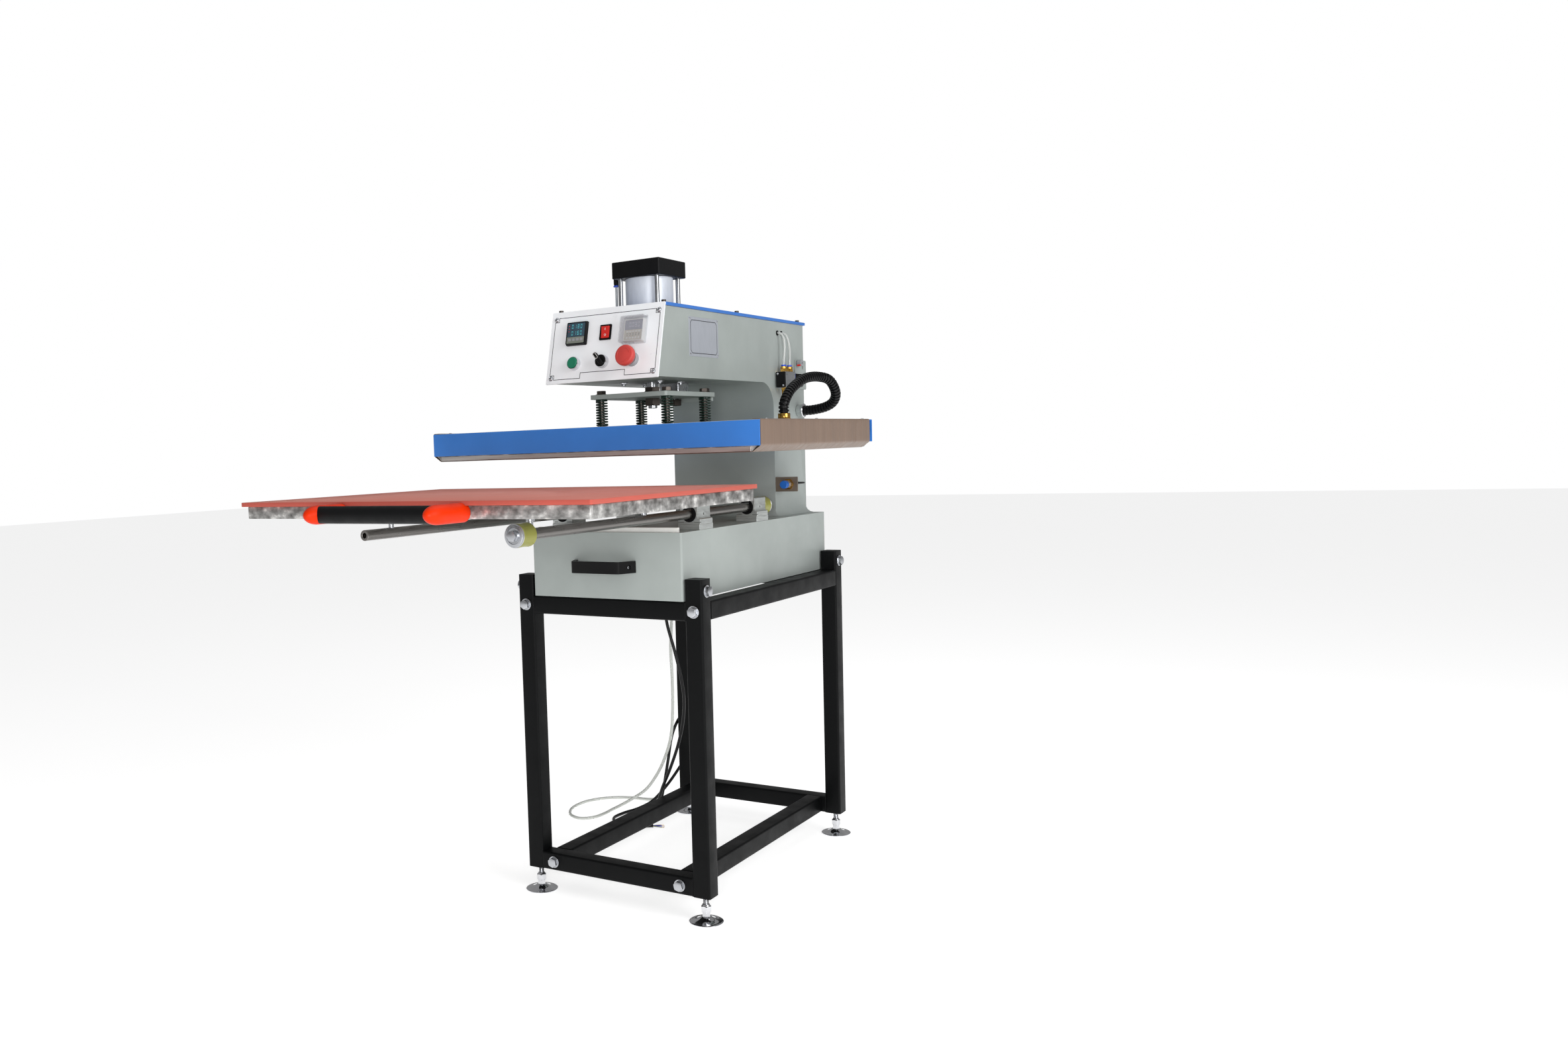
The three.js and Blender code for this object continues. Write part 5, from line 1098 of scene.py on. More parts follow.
CONTROLLER = (-69, 107.5)
TIMER = (75, 102.5)
ROCKER = (2, 105.4)
START, SELECTOR, STOP = (-69, 41), (2, 41), (75, 41)
INSTRUMENT_HALF = {"controller": 25.75, "timer": 24.5}
INSTRUMENT_BODY_SHARE = 0.87


def square_on(centre, half, low, high, half_s=None):
    """A box drawn on the board round a centre."""
    x, s = centre
    tall = half if half_s is None else half_s
    return block((x - half, s - tall, low), (x + half, s + tall, high))


def panel_sheet():
    sheet = prism(rounded(2 * PANEL_HALF, PANEL_RISE, 1.2, (0, PANEL_RISE / 2)), "z", -PANEL_SHEET, 0)
    cuts = [square_on(place, INSTRUMENT_HALF[name] * INSTRUMENT_BODY_SHARE + 0.3, -9, 9)
        for name, place in (("controller", CONTROLLER), ("timer", TIMER))]
    cuts += [square_on(ROCKER, 11.5, -9, 9, 14.5)]
    cuts += [rod(12.4, 18, (*place, -9)) for place in (START, SELECTOR, STOP)]
    return cross_drilled(sheet, *cuts)


piece("control_panel_sheet", on_panel(panel_sheet()), panel_paint, "control_panel", 0.35)
print("panel top at", round((ON_SLOPE @ Vector((0, PANEL_RISE, 0))).z + PANEL_FOOT[2], 1))

# %% Printed line and screws
def printed_line(points, width, low=-0.05, high=0.06):
    """A thin raised line through points of the board, closed on itself, with mitred corners."""
    count = len(points)
    sides = []
    for offset in (-width / 2, width / 2):
        row = []
        for k in range(count):
            before, here, after = (Vector(points[(k + e) % count]) for e in (-1, 0, 1))
            a, b = (here - before).normalized(), (after - here).normalized()
            mitre = Vector((-(a + b).y, (a + b).x)).normalized()
            row.append(here + mitre * offset / max(0.5, mitre.dot(Vector((-a.y, a.x)))))
        sides.append(row)
    rings = [[Vector((*sides[e][k], n)) for e, n in ((0, low), (1, low), (1, high), (0, high))]
        for k in range(count)]
    return skinned(rings, closed=True)


BORDER_LINE = 1.3
LINE_OUT, LINE_IN = 131, 121
LINE_TOP, LINE_TOP_STEP = 146.5, 137.5
LINE_FOOT, LINE_FOOT_STEP = 9, 18.5
NOTCH_LEFT, NOTCH_RIGHT, NOTCH_TOP = -53, 58, 21
border = [(-LINE_IN, LINE_TOP), (LINE_IN, LINE_TOP), (LINE_IN, LINE_TOP_STEP), (LINE_OUT, LINE_TOP_STEP),
    (LINE_OUT, LINE_FOOT_STEP), (LINE_IN, LINE_FOOT_STEP), (LINE_IN, LINE_FOOT), (NOTCH_RIGHT, LINE_FOOT),
    (NOTCH_RIGHT, NOTCH_TOP), (NOTCH_LEFT, NOTCH_TOP), (NOTCH_LEFT, LINE_FOOT), (-LINE_IN, LINE_FOOT),
    (-LINE_IN, LINE_FOOT_STEP), (-LINE_OUT, LINE_FOOT_STEP), (-LINE_OUT, LINE_TOP_STEP),
    (-LINE_IN, LINE_TOP_STEP)]
piece("panel_border_line", on_panel(printed_line(border, BORDER_LINE)), print_ink)
SCREW_INSET = 12.2
panel_screw_spots = both_sides(PANEL_HALF - SCREW_INSET, (SCREW_INSET, LINE_TOP - 3))
fasteners("panel_screws", merged(ring(5.4, 2, 0.8, edge=0.3), moved(cross_screw(4.4, 2.6), (0, 0, 0.8))),
    panel_places(panel_screw_spots), zinc_plate, 11)
print("points in the printed line:", len(border))

# %% Bare plate on the head
PLATE_SIDE = 138
PLATE_Y, PLATE_Z = -168.7, 1223.5
PLATE_WIDE, PLATE_TALL = 134, 84
PLATE_INSET, PLATE_NOTCH = 7, 6


def on_side(shape):
    """A shape of the head's right side: rearward, up, and its height above the paint."""
    corners, faces = shape
    return [Vector((PLATE_SIDE + height, PLATE_Y + across, PLATE_Z + up))
        for across, up, height in corners], faces


def cut_corners(half_wide, half_tall, cut):
    """A rectangle whose corners are cut off."""
    outline = []
    for sy, sz in ((1, 1), (-1, 1), (-1, -1), (1, -1)):
        pair = [(sy * (half_wide - cut), sz * half_tall), (sy * half_wide, sz * (half_tall - cut))]
        outline += pair[::-1] if sy * sz > 0 else pair
    return outline


half_wide, half_tall = PLATE_WIDE / 2, PLATE_TALL / 2
plate_line = cut_corners(half_wide - PLATE_INSET, half_tall - PLATE_INSET, PLATE_NOTCH)
piece("head_plate", prism(rounded(PLATE_WIDE, PLATE_TALL, 1.5, (PLATE_Y, PLATE_Z)), "x", PLATE_SIDE - 0.2,
    PLATE_SIDE + 0.7), label_foil, bevel=0.25)
piece("head_plate_line", on_side(printed_line(plate_line, 1.4, 0.6, 0.78)), print_ink)
rivet_spots = [((PLATE_SIDE + 0.6, PLATE_Y + sy * (half_wide - 4.5), PLATE_Z + sz * (half_tall - 4.5)),
    (1, 0, 0)) for sy in (-1, 1) for sz in (-1, 1)]
rivet = turned([(0, 0), (2.4, 0), (2.2, 0.6), (1.4, 1.1), (0, 1.3)], sides=24)
fasteners("head_plate_rivets", rivet, rivet_spots, zinc_plate, 12)
print("plate rivets:", len(rivet_spots))

# %% [markdown]
# ## Instruments
# The temperature controller and the timer are of one pattern: a square bezel with sloping sides, a window
# set back in it, figures of seven segments, and keys or number wheels below.

# %% Bezel, window and figures
SEGMENTS = {"0": "abcdef", "1": "bc", "2": "abged", "3": "abgcd", "4": "fgbc", "5": "afgcd", "6": "afgedc",
    "7": "abc", "8": "abcdefg", "9": "abcdfg"}
BEZEL_HEIGHT = 9
INSTRUMENT_FACE = BEZEL_HEIGHT - 1.6


def figure(digit, x, s, tall):
    """One digit of seven bars, from its lower left corner."""
    wide, bar, half = tall * 0.52, tall * 0.15, tall / 2
    bars = {"a": (0, tall - bar, wide, tall), "d": (0, 0, wide, bar),
        "g": (0, half - bar / 2, wide, half + bar / 2)}
    for left, names in ((0, "fe"), (wide - bar, "bc")):
        bars[names[0]] = (left, half + bar / 3, left + bar, tall - bar / 3)
        bars[names[1]] = (left, bar / 3, left + bar, half - bar / 3)
    foot, face = INSTRUMENT_FACE + 0.6, INSTRUMENT_FACE + 0.95
    return merged(*[block((x + x0 + bar * 0.3, s + s0, foot), (x + x1 - bar * 0.3, s + s1, face))
        for x0, s0, x1, s1 in (bars[k] for k in SEGMENTS[digit])])


def figures(digits, x, s, tall, pitch):
    return merged(*[figure(d, x + k * pitch, s, tall) for k, d in enumerate(digits)])


def square_rings(centre, sizes, corner, steps):
    """Rings of rounded squares round a centre of the board, from half sides and heights."""
    return [[Vector((x, s, n)) for x, s in rounded(2 * half, 2 * half, corner, centre, steps)]
        for half, n in sizes]


def bezel(centre, half, window):
    """A square frame that tapers to its face, with a window pocket and its body behind the sheet."""
    sizes = ((half, 0.3), (half, BEZEL_HEIGHT * 0.45), (half - 1.6, BEZEL_HEIGHT))
    face = cross_drilled(skinned(square_rings(centre, sizes, 2.2, 4)),
        square_on(centre, window, INSTRUMENT_FACE, BEZEL_HEIGHT + 5))
    return merged(face, square_on(centre, half * INSTRUMENT_BODY_SHARE, -70, 0.2))


def plates(name, centre, half, spans, finishes):
    """The window above and the strip below it, as two thin plates in the pocket."""
    x, s = centre
    for part, (low, high), finish in zip(("window", "strip"), spans, finishes):
        plate = block((x - half, s + low, INSTRUMENT_FACE), (x + half, s + high, INSTRUMENT_FACE + 0.7))
        piece(f"{name}_{part}", on_panel(plate), finish, bevel=0.2)


def raised_keys(spots, wide, tall, corner):
    n = INSTRUMENT_FACE
    return merged(*[prism(rounded(wide, tall, corner, spot, 3), "z", n + 0.5, n + 1.5) for spot in spots])


def controller():
    """Temperature controller: dark window with two rows of figures over a strip of four keys."""
    x, s = CONTROLLER
    piece("controller_bezel", on_panel(bezel(CONTROLLER, INSTRUMENT_HALF["controller"], 22.5)),
        black_plastic, "temperature_controller", 0.3)
    plates("controller", CONTROLLER, 22.3, ((-8, 22.3), (-22.3, -8.3)), (dark_window, olive_plastic))
    rows = [figures(text, x - 12, s + up, 9, 7.4) for text, up in (("0180", 10), ("0160", -4.5))]
    piece("controller_figures", on_panel(merged(*rows)), teal_segment)
    keys = raised_keys([(x - 15 + 10 * k, s - 14.5) for k in range(4)], 7, 6, 1.2)
    piece("controller_keys", on_panel(keys), grey_plastic, bevel=0.25)
    lamps = [rod(1, 1, (x - 18.5, s + 4 + 6 * k, INSTRUMENT_FACE + 0.4), edge=0.2, sides=16)
        for k in range(3)]
    piece("controller_lamps", on_panel(merged(*lamps)), red_plastic)


def timer():
    """Timer: grey window above, and five number wheels with a key over and under each below."""
    x, s = TIMER
    piece("timer_bezel", on_panel(bezel(TIMER, INSTRUMENT_HALF["timer"], 21.5)), white_plastic, "timer",
        0.3)
    plates("timer", TIMER, 21.3, ((0.5, 21.3), (-21.3, 0.2)), (grey_window, beige_plastic))
    piece("timer_figures", on_panel(figures("0030", x - 11.5, s + 6, 10, 7)), pale_segment)
    piece("timer_wheel_figures", on_panel(figures("05025", x - 15.3, s - 12, 5.2, 7)), print_ink)
    keys = raised_keys([(x - 14 + 7 * k, s + up) for k in range(5) for up in (-3.5, -17)], 4.6, 2.6, 0.8)
    piece("timer_keys", on_panel(keys), white_plastic, bevel=0.2)


controller()
timer()
print("instrument bezels are", BEZEL_HEIGHT, "mm proud")

# %% Timer cover
def timer_case():
    """A clear hinged box over the timer, with rounded corners, a finger tab and its hinge barrel."""
    x, s = TIMER
    half, deep, wall = 28.5, 20, 1.6
    inside = square_rings(TIMER, ((half - wall, deep - wall), (half - wall, 0.4)), 1.6, 5)
    outside = square_rings(TIMER, ((half, 0.4), (half, deep - 1.2), (half - 1.2, deep)), 3, 5)
    barrel = rod(2.5, 2 * half, (x - half, s + half, 2.8), "x", sides=24)
    tab = block((x - 6, s - half - 1.8, 8), (x + 6, s - half + 0.4, 12))
    return merged(skinned(inside + outside), barrel, tab)


piece("timer_cover_case", on_panel(timer_case()), clear_case, "timer_cover", 0.25, "timer_cover")

# %% Power rocker
def power_rocker():
    """A black frame round a red key that rocks, with a stroke and a ring on its halves."""
    x, s = ROCKER
    pocket = square_on(ROCKER, 10.3, -18.5, 9, 13.3)
    frame_ring = cross_drilled(prism(rounded(28.5, 33.6, 2, ROCKER, 4), "z", 0, 2.5),
        square_on(ROCKER, 10.3, -5, 9, 13.3))
    case = cross_drilled(square_on(ROCKER, 11.8, -20, 0.5, 14.8), pocket)
    piece("rocker_frame", on_panel(merged(frame_ring, case)), black_plastic, bevel=0.5)
    outline = [(-12.5, -2), (12.5, -2), (12.5, 5.5), (8, 4.3), (0, 3.5), (-8, 2.7), (-12.5, 2.8)]
    key = prism([(s + a, b) for a, b in outline], "x", x - 10, x + 10)
    piece("rocker_key", on_panel(key), red_plastic, "power_rocker", 0.7, "power_rocker")
    stroke = block((x - 0.5, s + 4, 3.9), (x + 0.5, s + 9, 4.75))
    mark = ring(2.4, 1.6, 1.2, (x, s - 6, 2.1), edge=0.1, sides=32)
    piece("rocker_marks", on_panel(merged(stroke, mark)), white_plastic, body="power_rocker")


power_rocker()
print("pieces so far:", len(made_pieces))

# %% [markdown]
# ## Start button, selector and emergency stop
# All three share one 22 mm fitting: a chrome collar on the sheet, a neck through it and a plastic nut
# behind. The start button is a green disc, the selector a black knob with a lever and a white line, and
# the stop a red mushroom with raised arcs. Collars stay on the stand, heads ride on their own bodies.

# %% Collars
COLLAR_RISE = 11


def chrome_collar(place, radius, height, bore):
    """A polished collar with a rounded lip and its neck behind the sheet."""
    lip = [(9.5, -8), (12.2, -8), (12.2, -1), (radius, -1), (radius, height * 0.55),
        (radius - 0.5, height * 0.8), (radius - 1.4, height), (bore + 0.8, height), (bore, height - 0.8),
        (bore, 0), (9.5, -1), (9.5, -8)]
    return moved(turned(lip, sides=64), (*place, 0.05))


def nut_behind(place):
    return moved(ring(17, 12.3, 6, edge=0.8, sides=12), (*place, -9.2))


def neck_case(place):
    return moved(ring(12, 10.9, 21, edge=0.3), (*place, -30))


collars = merged(chrome_collar(START, 14.4, COLLAR_RISE, 12.3), chrome_collar(SELECTOR, 14.4, COLLAR_RISE,
    12.3))
piece("button_collars", on_panel(collars), bright_chrome)
piece("stop_collar", on_panel(chrome_collar(STOP, 15, 10, 9.5)), grey_plastic)
piece("button_nuts",
    on_panel(merged(*[m(p) for p in (START, SELECTOR, STOP) for m in (nut_behind, neck_case)])),
    black_plastic)

# %% The three heads
def start_head():
    top = COLLAR_RISE + 2.2
    profile = [(0, -26), (9, -26), (9, 3.5), (12, 4.5), (12, top - 1), (11.4, top - 0.2), (10.6, top),
        (6, top - 0.3), (0, top - 0.4)]
    return moved(turned(profile, sides=56), (*START, 0))


LEVER_TURN = radians(42)
LEVER_WIDTH, LEVER_REACH, LEVER_TOP = 8.4, 20, 21


def pointed(shape):
    """Turn a shape by the lever's angle and set it on the selector's place."""
    corners, faces = shape
    turn = Matrix.Rotation(LEVER_TURN, 3, "Z")
    return moved(([turn @ Vector(c) for c in corners], faces), (*SELECTOR, 0))


def selector_head():
    """A drum with a lever across it that points to the upper left."""
    top = COLLAR_RISE + 1.5
    drum = turned([(0, -10), (9, -10), (9, 3.5), (12, 4.5), (12, top - 0.8), (11.2, top), (0, top)])
    lever = []
    for inset, n in ((0, top - 0.5), (0, LEVER_TOP - 1.5), (0.6, LEVER_TOP - 0.4), (1.3, LEVER_TOP)):
        size = (LEVER_WIDTH - 2 * inset, LEVER_REACH + 11 - 2 * inset)
        lever.append([Vector((px, ps, n)) for px, ps in rounded(*size, 3, (0, (LEVER_REACH - 11) / 2), 5)])
    return pointed(merged(drum, skinned(lever)))


def selector_outline():
    """The white line round the lever's pointer."""
    outline = rounded(LEVER_WIDTH - 2.6, 15, 2.2, (0, LEVER_REACH - 9), 5)
    return pointed(printed_line(outline, 0.9, LEVER_TOP - 0.05, LEVER_TOP + 0.2))


STOP_RADIUS = 22
ARC_RADIUS = 14.6


def crown(radius):
    """Height of the mushroom's nearly flat face at a radius."""
    return 37 + 2.2 * (1 - (radius / (STOP_RADIUS - 5)) ** 2)


def stop_head():
    """A mushroom with a concave waist and a crown."""
    profile = [(0, -12), (9, -12), (9, 19), (14, 20), (19, 22), (21.4, 25.5), (STOP_RADIUS, 30),
        (STOP_RADIUS, 32)]
    profile += [(STOP_RADIUS - 5 + 5 * cos(a), 32 + 5 * sin(a)) for a in (k * pi / 16 for k in range(1, 8))]
    profile += [(r, crown(r)) for r in (STOP_RADIUS - 5, 14, 10, 5, 0)]
    return moved(turned(profile, sides=72), (*STOP, 0))


def turning_arrows():
    """Three raised arcs on the crown that show the turn which frees it."""
    arcs = []
    for start in (0.2, 2.3, 4.4):
        angles = [start + k * 0.11 for k in range(13)]
        arcs.append(swept(
            [Vector((STOP[0] + ARC_RADIUS * cos(a), STOP[1] + ARC_RADIUS * sin(a), crown(ARC_RADIUS) + 0.1))
            for a in angles], 0.7, 8))
    return merged(*arcs)


piece("start_button_head", on_panel(start_head()), green_plastic, "start_button", body="start_button")
piece("selector_head", on_panel(selector_head()), black_plastic, "selector_knob", 0.4, "selector_knob")
piece("selector_line", on_panel(selector_outline()), white_plastic, body="selector_knob")
piece("emergency_stop_head", on_panel(stop_head()), stop_red, "emergency_stop", body="emergency_stop")
piece("emergency_stop_arrows", on_panel(turning_arrows()), stop_red, body="emergency_stop")
print("pieces so far:", len(made_pieces))

# %% [markdown]
# ## Cylinder
# An air cylinder is a drawn aluminium tube squeezed between two square end caps by four tie rods, each
# with its nut. The caps are black anodised, and the tube carries fine lines along its length. From the
# top cap an elbow leads a clear hose down through the lid, held by a blue push-in collar.

# %% Caps, tube and tie rods
cap_low, cap_high = node_box("cylinder_top_cap")
barrel_low, barrel_high = node_box("cylinder_barrel")
TOP_CAP_FOOT = cap_high.z - 36
FRONT_CAP = node_box("cylinder_front_cap")
ROD_SPREAD = 46.5
TIE_FOOT = cap_low.z
CAP_CHAMFER = 1.6
LID_HOSE_RADIUS = 3


def square_cap(low, high):
    """A square end cap with chamfered upright edges and broken rims."""
    rings = []
    for inset, z in ((1, low), (0, low + 1), (0, high - 1), (1, high)):
        half = CYLINDER_SIDE / 2 - inset
        rings.append([Vector((x, y + PRESS_Y, z)) for x, y in cut_corners(half, half, CAP_CHAMFER)])
    return skinned(rings)


def upright_rod(radius, low, high, place):
    return rod(radius, high - low, (*place, low), edge=0.6, sides=64)


tie_spots = both_sides(ROD_SPREAD, (PRESS_Y - ROD_SPREAD, PRESS_Y + ROD_SPREAD))
wells = [rod(6.5, 5, (x, y, cap_high.z - 4), sides=28) for x, y in tie_spots]
top_cap = cross_drilled(square_cap(TOP_CAP_FOOT, cap_high.z), *wells)
piece("top_cap_block", top_cap, black_anodised, "cylinder_top_cap", 0.35)
piece("front_cap_block", cross_drilled(square_cap(FRONT_CAP[0].z, FRONT_CAP[1].z),
    rod(17, 60, (0, PRESS_Y, FRONT_CAP[0].z - 10))), black_anodised, "cylinder_front_cap", 0.35)
barrel_tube = moved(ring(barrel_high.x, 50, barrel_high.z - barrel_low.z, edge=0.3, sides=96),
    (0, PRESS_Y, barrel_low.z))
piece("barrel_tube", barrel_tube, drawn_tube, "cylinder_barrel")
tie_rods = merged(*[upright_rod(5, TIE_FOOT, TOP_CAP_FOOT + 4, spot) for spot in tie_spots])
piece("tie_rods", tie_rods, polished_steel)
fasteners("tie_rod_nuts", hexagon(16, 6), facing(tie_spots, TIE_FOOT + 10, -1), zinc_plate, 2)
fasteners("cap_screws", socket_screw(6.2, 3.2, 6), facing(tie_spots, cap_high.z - 3.8), dark_steel, 4)
print("cylinder from", round(FRONT_CAP[0].z), "to", round(cap_high.z))

# %% Elbow and lid hose
def elbow_fitting():
    """A black swivel elbow out of the side of the top cap, looking down."""
    height, bend = (TOP_CAP_FOOT + cap_high.z) / 2, 8
    path = [Vector((1 - CYLINDER_SIDE / 2 - k, PRESS_Y, height)) for k in range(0, 17, 4)]
    path += [Vector((ELBOW_X + bend - bend * sin(a), PRESS_Y, height - bend + bend * cos(a)))
        for a in (k * pi / 16 for k in range(1, 9))]
    path.append(Vector((ELBOW_X, PRESS_Y, height - 24)))
    nut = hexagon(13, 6, (-CYLINDER_SIDE / 2 - 6, PRESS_Y, height), "x")
    return merged(swept(path, 5.2, 28), nut, rod(5.9, 12, (ELBOW_X, PRESS_Y, height - 22),
        sides=32)), height - 24


elbow, elbow_foot = elbow_fitting()
piece("elbow_fitting", elbow, black_plastic)
piece("elbow_collar", rod(6.6, 3.5, (ELBOW_X, PRESS_Y, elbow_foot - 3.5), sides=36), collar_blue)
lid_hose = swept([Vector((ELBOW_X, PRESS_Y, z)) for z in (elbow_foot - 1, 1340, 1310, lid_low.z - 12)],
    LID_HOSE_RADIUS, 20, 2)
piece("lid_hose", lid_hose, clear_tube)
print("elbow looks down from", round(elbow_foot))

# %% [markdown]
# ## Rod, guide and spring plate
# The piston rod comes out under the head and holds a steel plate between a collar and a nut. A second rod
# behind it slides in a bush, so that the plate can't turn. The plate has a bent-down rear lip and a hole
# for each spring bolt.

# %% Rods and their guide
ROD_NUT = node_box("piston_rod")[0].z
PLATE_LOW, PLATE_HIGH = (node_box("spring_plate")[k] for k in (0, 1))
PLATE_FOOT = PLATE_HIGH.z - 10
GUIDE_Y = (node_box("guide_rod")[0].y + node_box("guide_rod")[1].y) / 2
GUIDE_LOW, GUIDE_HIGH = (node_box("guide_bush")[k].z for k in (0, 1))
piston = turned([(0, ROD_NUT - 6), (8.5, ROD_NUT - 6), (10, ROD_NUT - 5), (10, ROD_NUT + 16),
    (12.5, ROD_NUT + 16.4), (12.5, 1300), (0, 1300)], (0, PRESS_Y, 0), sides=56)
piece("piston_rod_turned", piston, polished_steel, "piston_rod", body="press")
rod_nuts = merged(moved(hexagon(32, 16), (0, PRESS_Y, PLATE_FOOT - 0.2), "-z"),
    moved(hexagon(30, 14), (0, GUIDE_Y, PLATE_FOOT - 2), "-z"),
    moved(hexagon(32, 9), (0, PRESS_Y, PLATE_HIGH.z + 6)), ring(18, 12, 6, (0, PRESS_Y, PLATE_HIGH.z + 0.2),
    edge=0.8))
piece("rod_nuts", rod_nuts, dark_steel, body="press")
guide = merged(turned([(0, PLATE_FOOT - 1.5), (9.2, PLATE_FOOT - 1.5), (10, PLATE_FOOT - 0.7), (10, 1264),
    (9, 1265), (0, 1265)], (0, GUIDE_Y, 0), sides=48), ring(15, 10, 4, (0, GUIDE_Y, PLATE_HIGH.z + 0.3),
    edge=0.8))
piece("guide_rod_turned", guide, polished_steel, "guide_rod", body="press")
flange = cross_drilled(prism(rounded(50, 50, 3, (0, GUIDE_Y)), "z", GUIDE_LOW, GUIDE_LOW + 19.7),
    rod(10.3, 60, (0, GUIDE_Y, GUIDE_LOW - 20)))
sleeve = ring(19, 10.3, GUIDE_HIGH - GUIDE_LOW - 19, (0, GUIDE_Y, GUIDE_LOW + 19))
piece("guide_bush_turned", merged(flange, sleeve), zinc_plate, "guide_bush", 0.4)
fasteners("guide_screws", socket_screw(4.4, 4, 4), facing(both_sides(18, (GUIDE_Y - 18, GUIDE_Y + 18)),
    GUIDE_LOW, -1), dark_steel, 6)
print("guide at depth", round(GUIDE_Y))

# %% Spring plate and its bolts
SPRING_X = 83.5
SPRING_ROWS = (-241, -69)
spring_spots = both_sides(SPRING_X, SPRING_ROWS)


def spring_plate():
    plate = prism(rounded(2 * PLATE_HIGH.x, PLATE_HIGH.y - PLATE_LOW.y, 6,
        (0, (PLATE_LOW.y + PLATE_HIGH.y) / 2)), "z", PLATE_FOOT, PLATE_HIGH.z)
    holes = [rod(6.4, 30, (x, y, PLATE_FOOT - 10), sides=28) for x, y in spring_spots]
    holes += [rod(12.7, 30, (0, PRESS_Y, PLATE_FOOT - 10)), rod(10.1, 30, (0, GUIDE_Y, PLATE_FOOT - 10))]
    lip = block((-PLATE_HIGH.x + 6, PLATE_HIGH.y - 8, PLATE_LOW.z),
        (PLATE_HIGH.x - 6, PLATE_HIGH.y, PLATE_FOOT + 0.2))
    return merged(cross_drilled(plate, *holes), lip)


piece("spring_plate_bent", spring_plate(), grey_paint, "spring_plate", 0.7, "press")
platen_top = node_box("platen_cover")[1].z
fasteners("spring_bolt_heads", hexagon_bolt(19, 7.6, 13, 1.7), facing(spring_spots, PLATE_HIGH.z),
    dark_steel, 9, "platen")
shanks = merged(*[upright_rod(5.9, platen_top - 6, PLATE_HIGH.z + 1, spot) for spot in spring_spots],
    *[ring(12, 6, 5, (*spot, platen_top + 0.3), edge=0.8) for spot in spring_spots])
piece("spring_bolt_shanks", shanks, dark_steel, body="platen")
print("spring bolts:", len(spring_spots))

# %% [markdown]
# ## Springs
# Four die springs push the platen away from the plate. The first and last turn of a die spring lie flat,
# and the ones between rise evenly. That is a rule, so Geometry Nodes grow it: a line of points is wound
# round a cylinder, with a height that eases at both ends, and a flat section is swept along it.

# %% The spring tree
SPRING_OUTER = 13.3
SPRING_WIRE = (4.8, 3.1)
SPRING_TURNS = 11.0
SPRING_FOOT, SPRING_HEAD = (node_box("platen_spring_front_left")[k].z for k in (0, 1))
GROUND_TURNS = 0.9
CLOSED_RISE = 3.1
WIRE_EDGE = 0.6


def spring_tree():
    """Flat wire wound round an upright line, with closed ends."""
    tree = new_tree("die_spring", Float=("Radius", "Foot", "Rise", "Turns", "Closed Share"),
        Vector=("Wire",), Int=("Steps",), Material=("Finish",))
    add, sums = partial(grow_node, tree), partial(arithmetic, tree)
    given = add("NodeGroupInput").outputs
    line = add("GeometryNodeMeshLine", {"Count": given["Steps"]})
    curve = add("GeometryNodeMeshToCurve", {0: line.outputs[0]})
    share = add("GeometryNodeSplineParameter").outputs["Factor"]
    angle = sums("MULTIPLY", share, sums("MULTIPLY", given["Turns"], 2 * pi))
    eased = add("ShaderNodeMapRange", {"Value": share, "From Min": given["Closed Share"],
        "From Max": sums("SUBTRACT", 1.0, given["Closed Share"])})
    free = sums("SUBTRACT", given["Rise"], 2 * CLOSED_RISE * MM)
    height = sums("ADD", sums("MULTIPLY", eased.outputs[0], free),
        sums("MULTIPLY", share, 2 * CLOSED_RISE * MM))
    place = add("ShaderNodeCombineXYZ", {"X": sums("MULTIPLY", given["Radius"], sums("COSINE", angle)),
        "Y": sums("MULTIPLY", given["Radius"], sums("SINE", angle)),
        "Z": sums("ADD", given["Foot"], height)})
    wound = add("GeometryNodeSetPosition", {"Geometry": curve.outputs[0], "Position": place.outputs[0]})
    upright = add("GeometryNodeSetCurveNormal", {"Curve": wound.outputs[0]}, mode="Z_UP")
    wire = add("ShaderNodeSeparateXYZ", {0: given["Wire"]}).outputs
    section = add("GeometryNodeCurvePrimitiveQuadrilateral", {"Width": wire["X"], "Height": wire["Y"]})
    soft = add("GeometryNodeFilletCurve", {"Curve": section.outputs[0], "Count": 2,
        "Radius": WIRE_EDGE * MM}, mode="POLY")
    bar = add("GeometryNodeCurveToMesh", {"Curve": upright.outputs[0], "Profile Curve": soft.outputs[0],
        "Fill Caps": True})
    points = add("GeometryNodeMeshToPoints", {0: given["Geometry"]})
    coils = add("GeometryNodeInstanceOnPoints", {"Points": points.outputs[0], "Instance": bar.outputs[0]})
    return finished_tree(tree, coils.outputs[0], given["Finish"])


die_spring = spring_tree()
for (x, y), corner in zip(spring_spots, ("front_left", "rear_left", "front_right", "rear_right")):
    seed = place_mesh("spring_seed", facing([(x, y)], 0))
    coil = grown(f"die_spring_{corner}", die_spring, seed,
        {"Radius": (SPRING_OUTER - SPRING_WIRE[0] / 2) * MM,
        "Foot": (SPRING_FOOT + SPRING_WIRE[1] / 2) * MM,
        "Rise": (SPRING_HEAD - SPRING_FOOT - SPRING_WIRE[1]) * MM, "Turns": SPRING_TURNS,
        "Closed Share": GROUND_TURNS / SPRING_TURNS, "Wire": (SPRING_WIRE[0] * MM, SPRING_WIRE[1] * MM, 0),
        "Steps": 397, "Finish": spring_paint}, None, f"platen_spring_{corner}")
    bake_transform(coil)
print("spring pitch in mm:", round((SPRING_HEAD - SPRING_FOOT - 3 * CLOSED_RISE) / (SPRING_TURNS - 1.8), 2))

# %% [markdown]
# ## Platen
# The heating platen is a cast plate under a folded steel cover: blue flanges in front and at the rear, a
# grey top, and open sides that the release sheet fills. Under the front flange a milled strip clamps the
# sheet's edge.

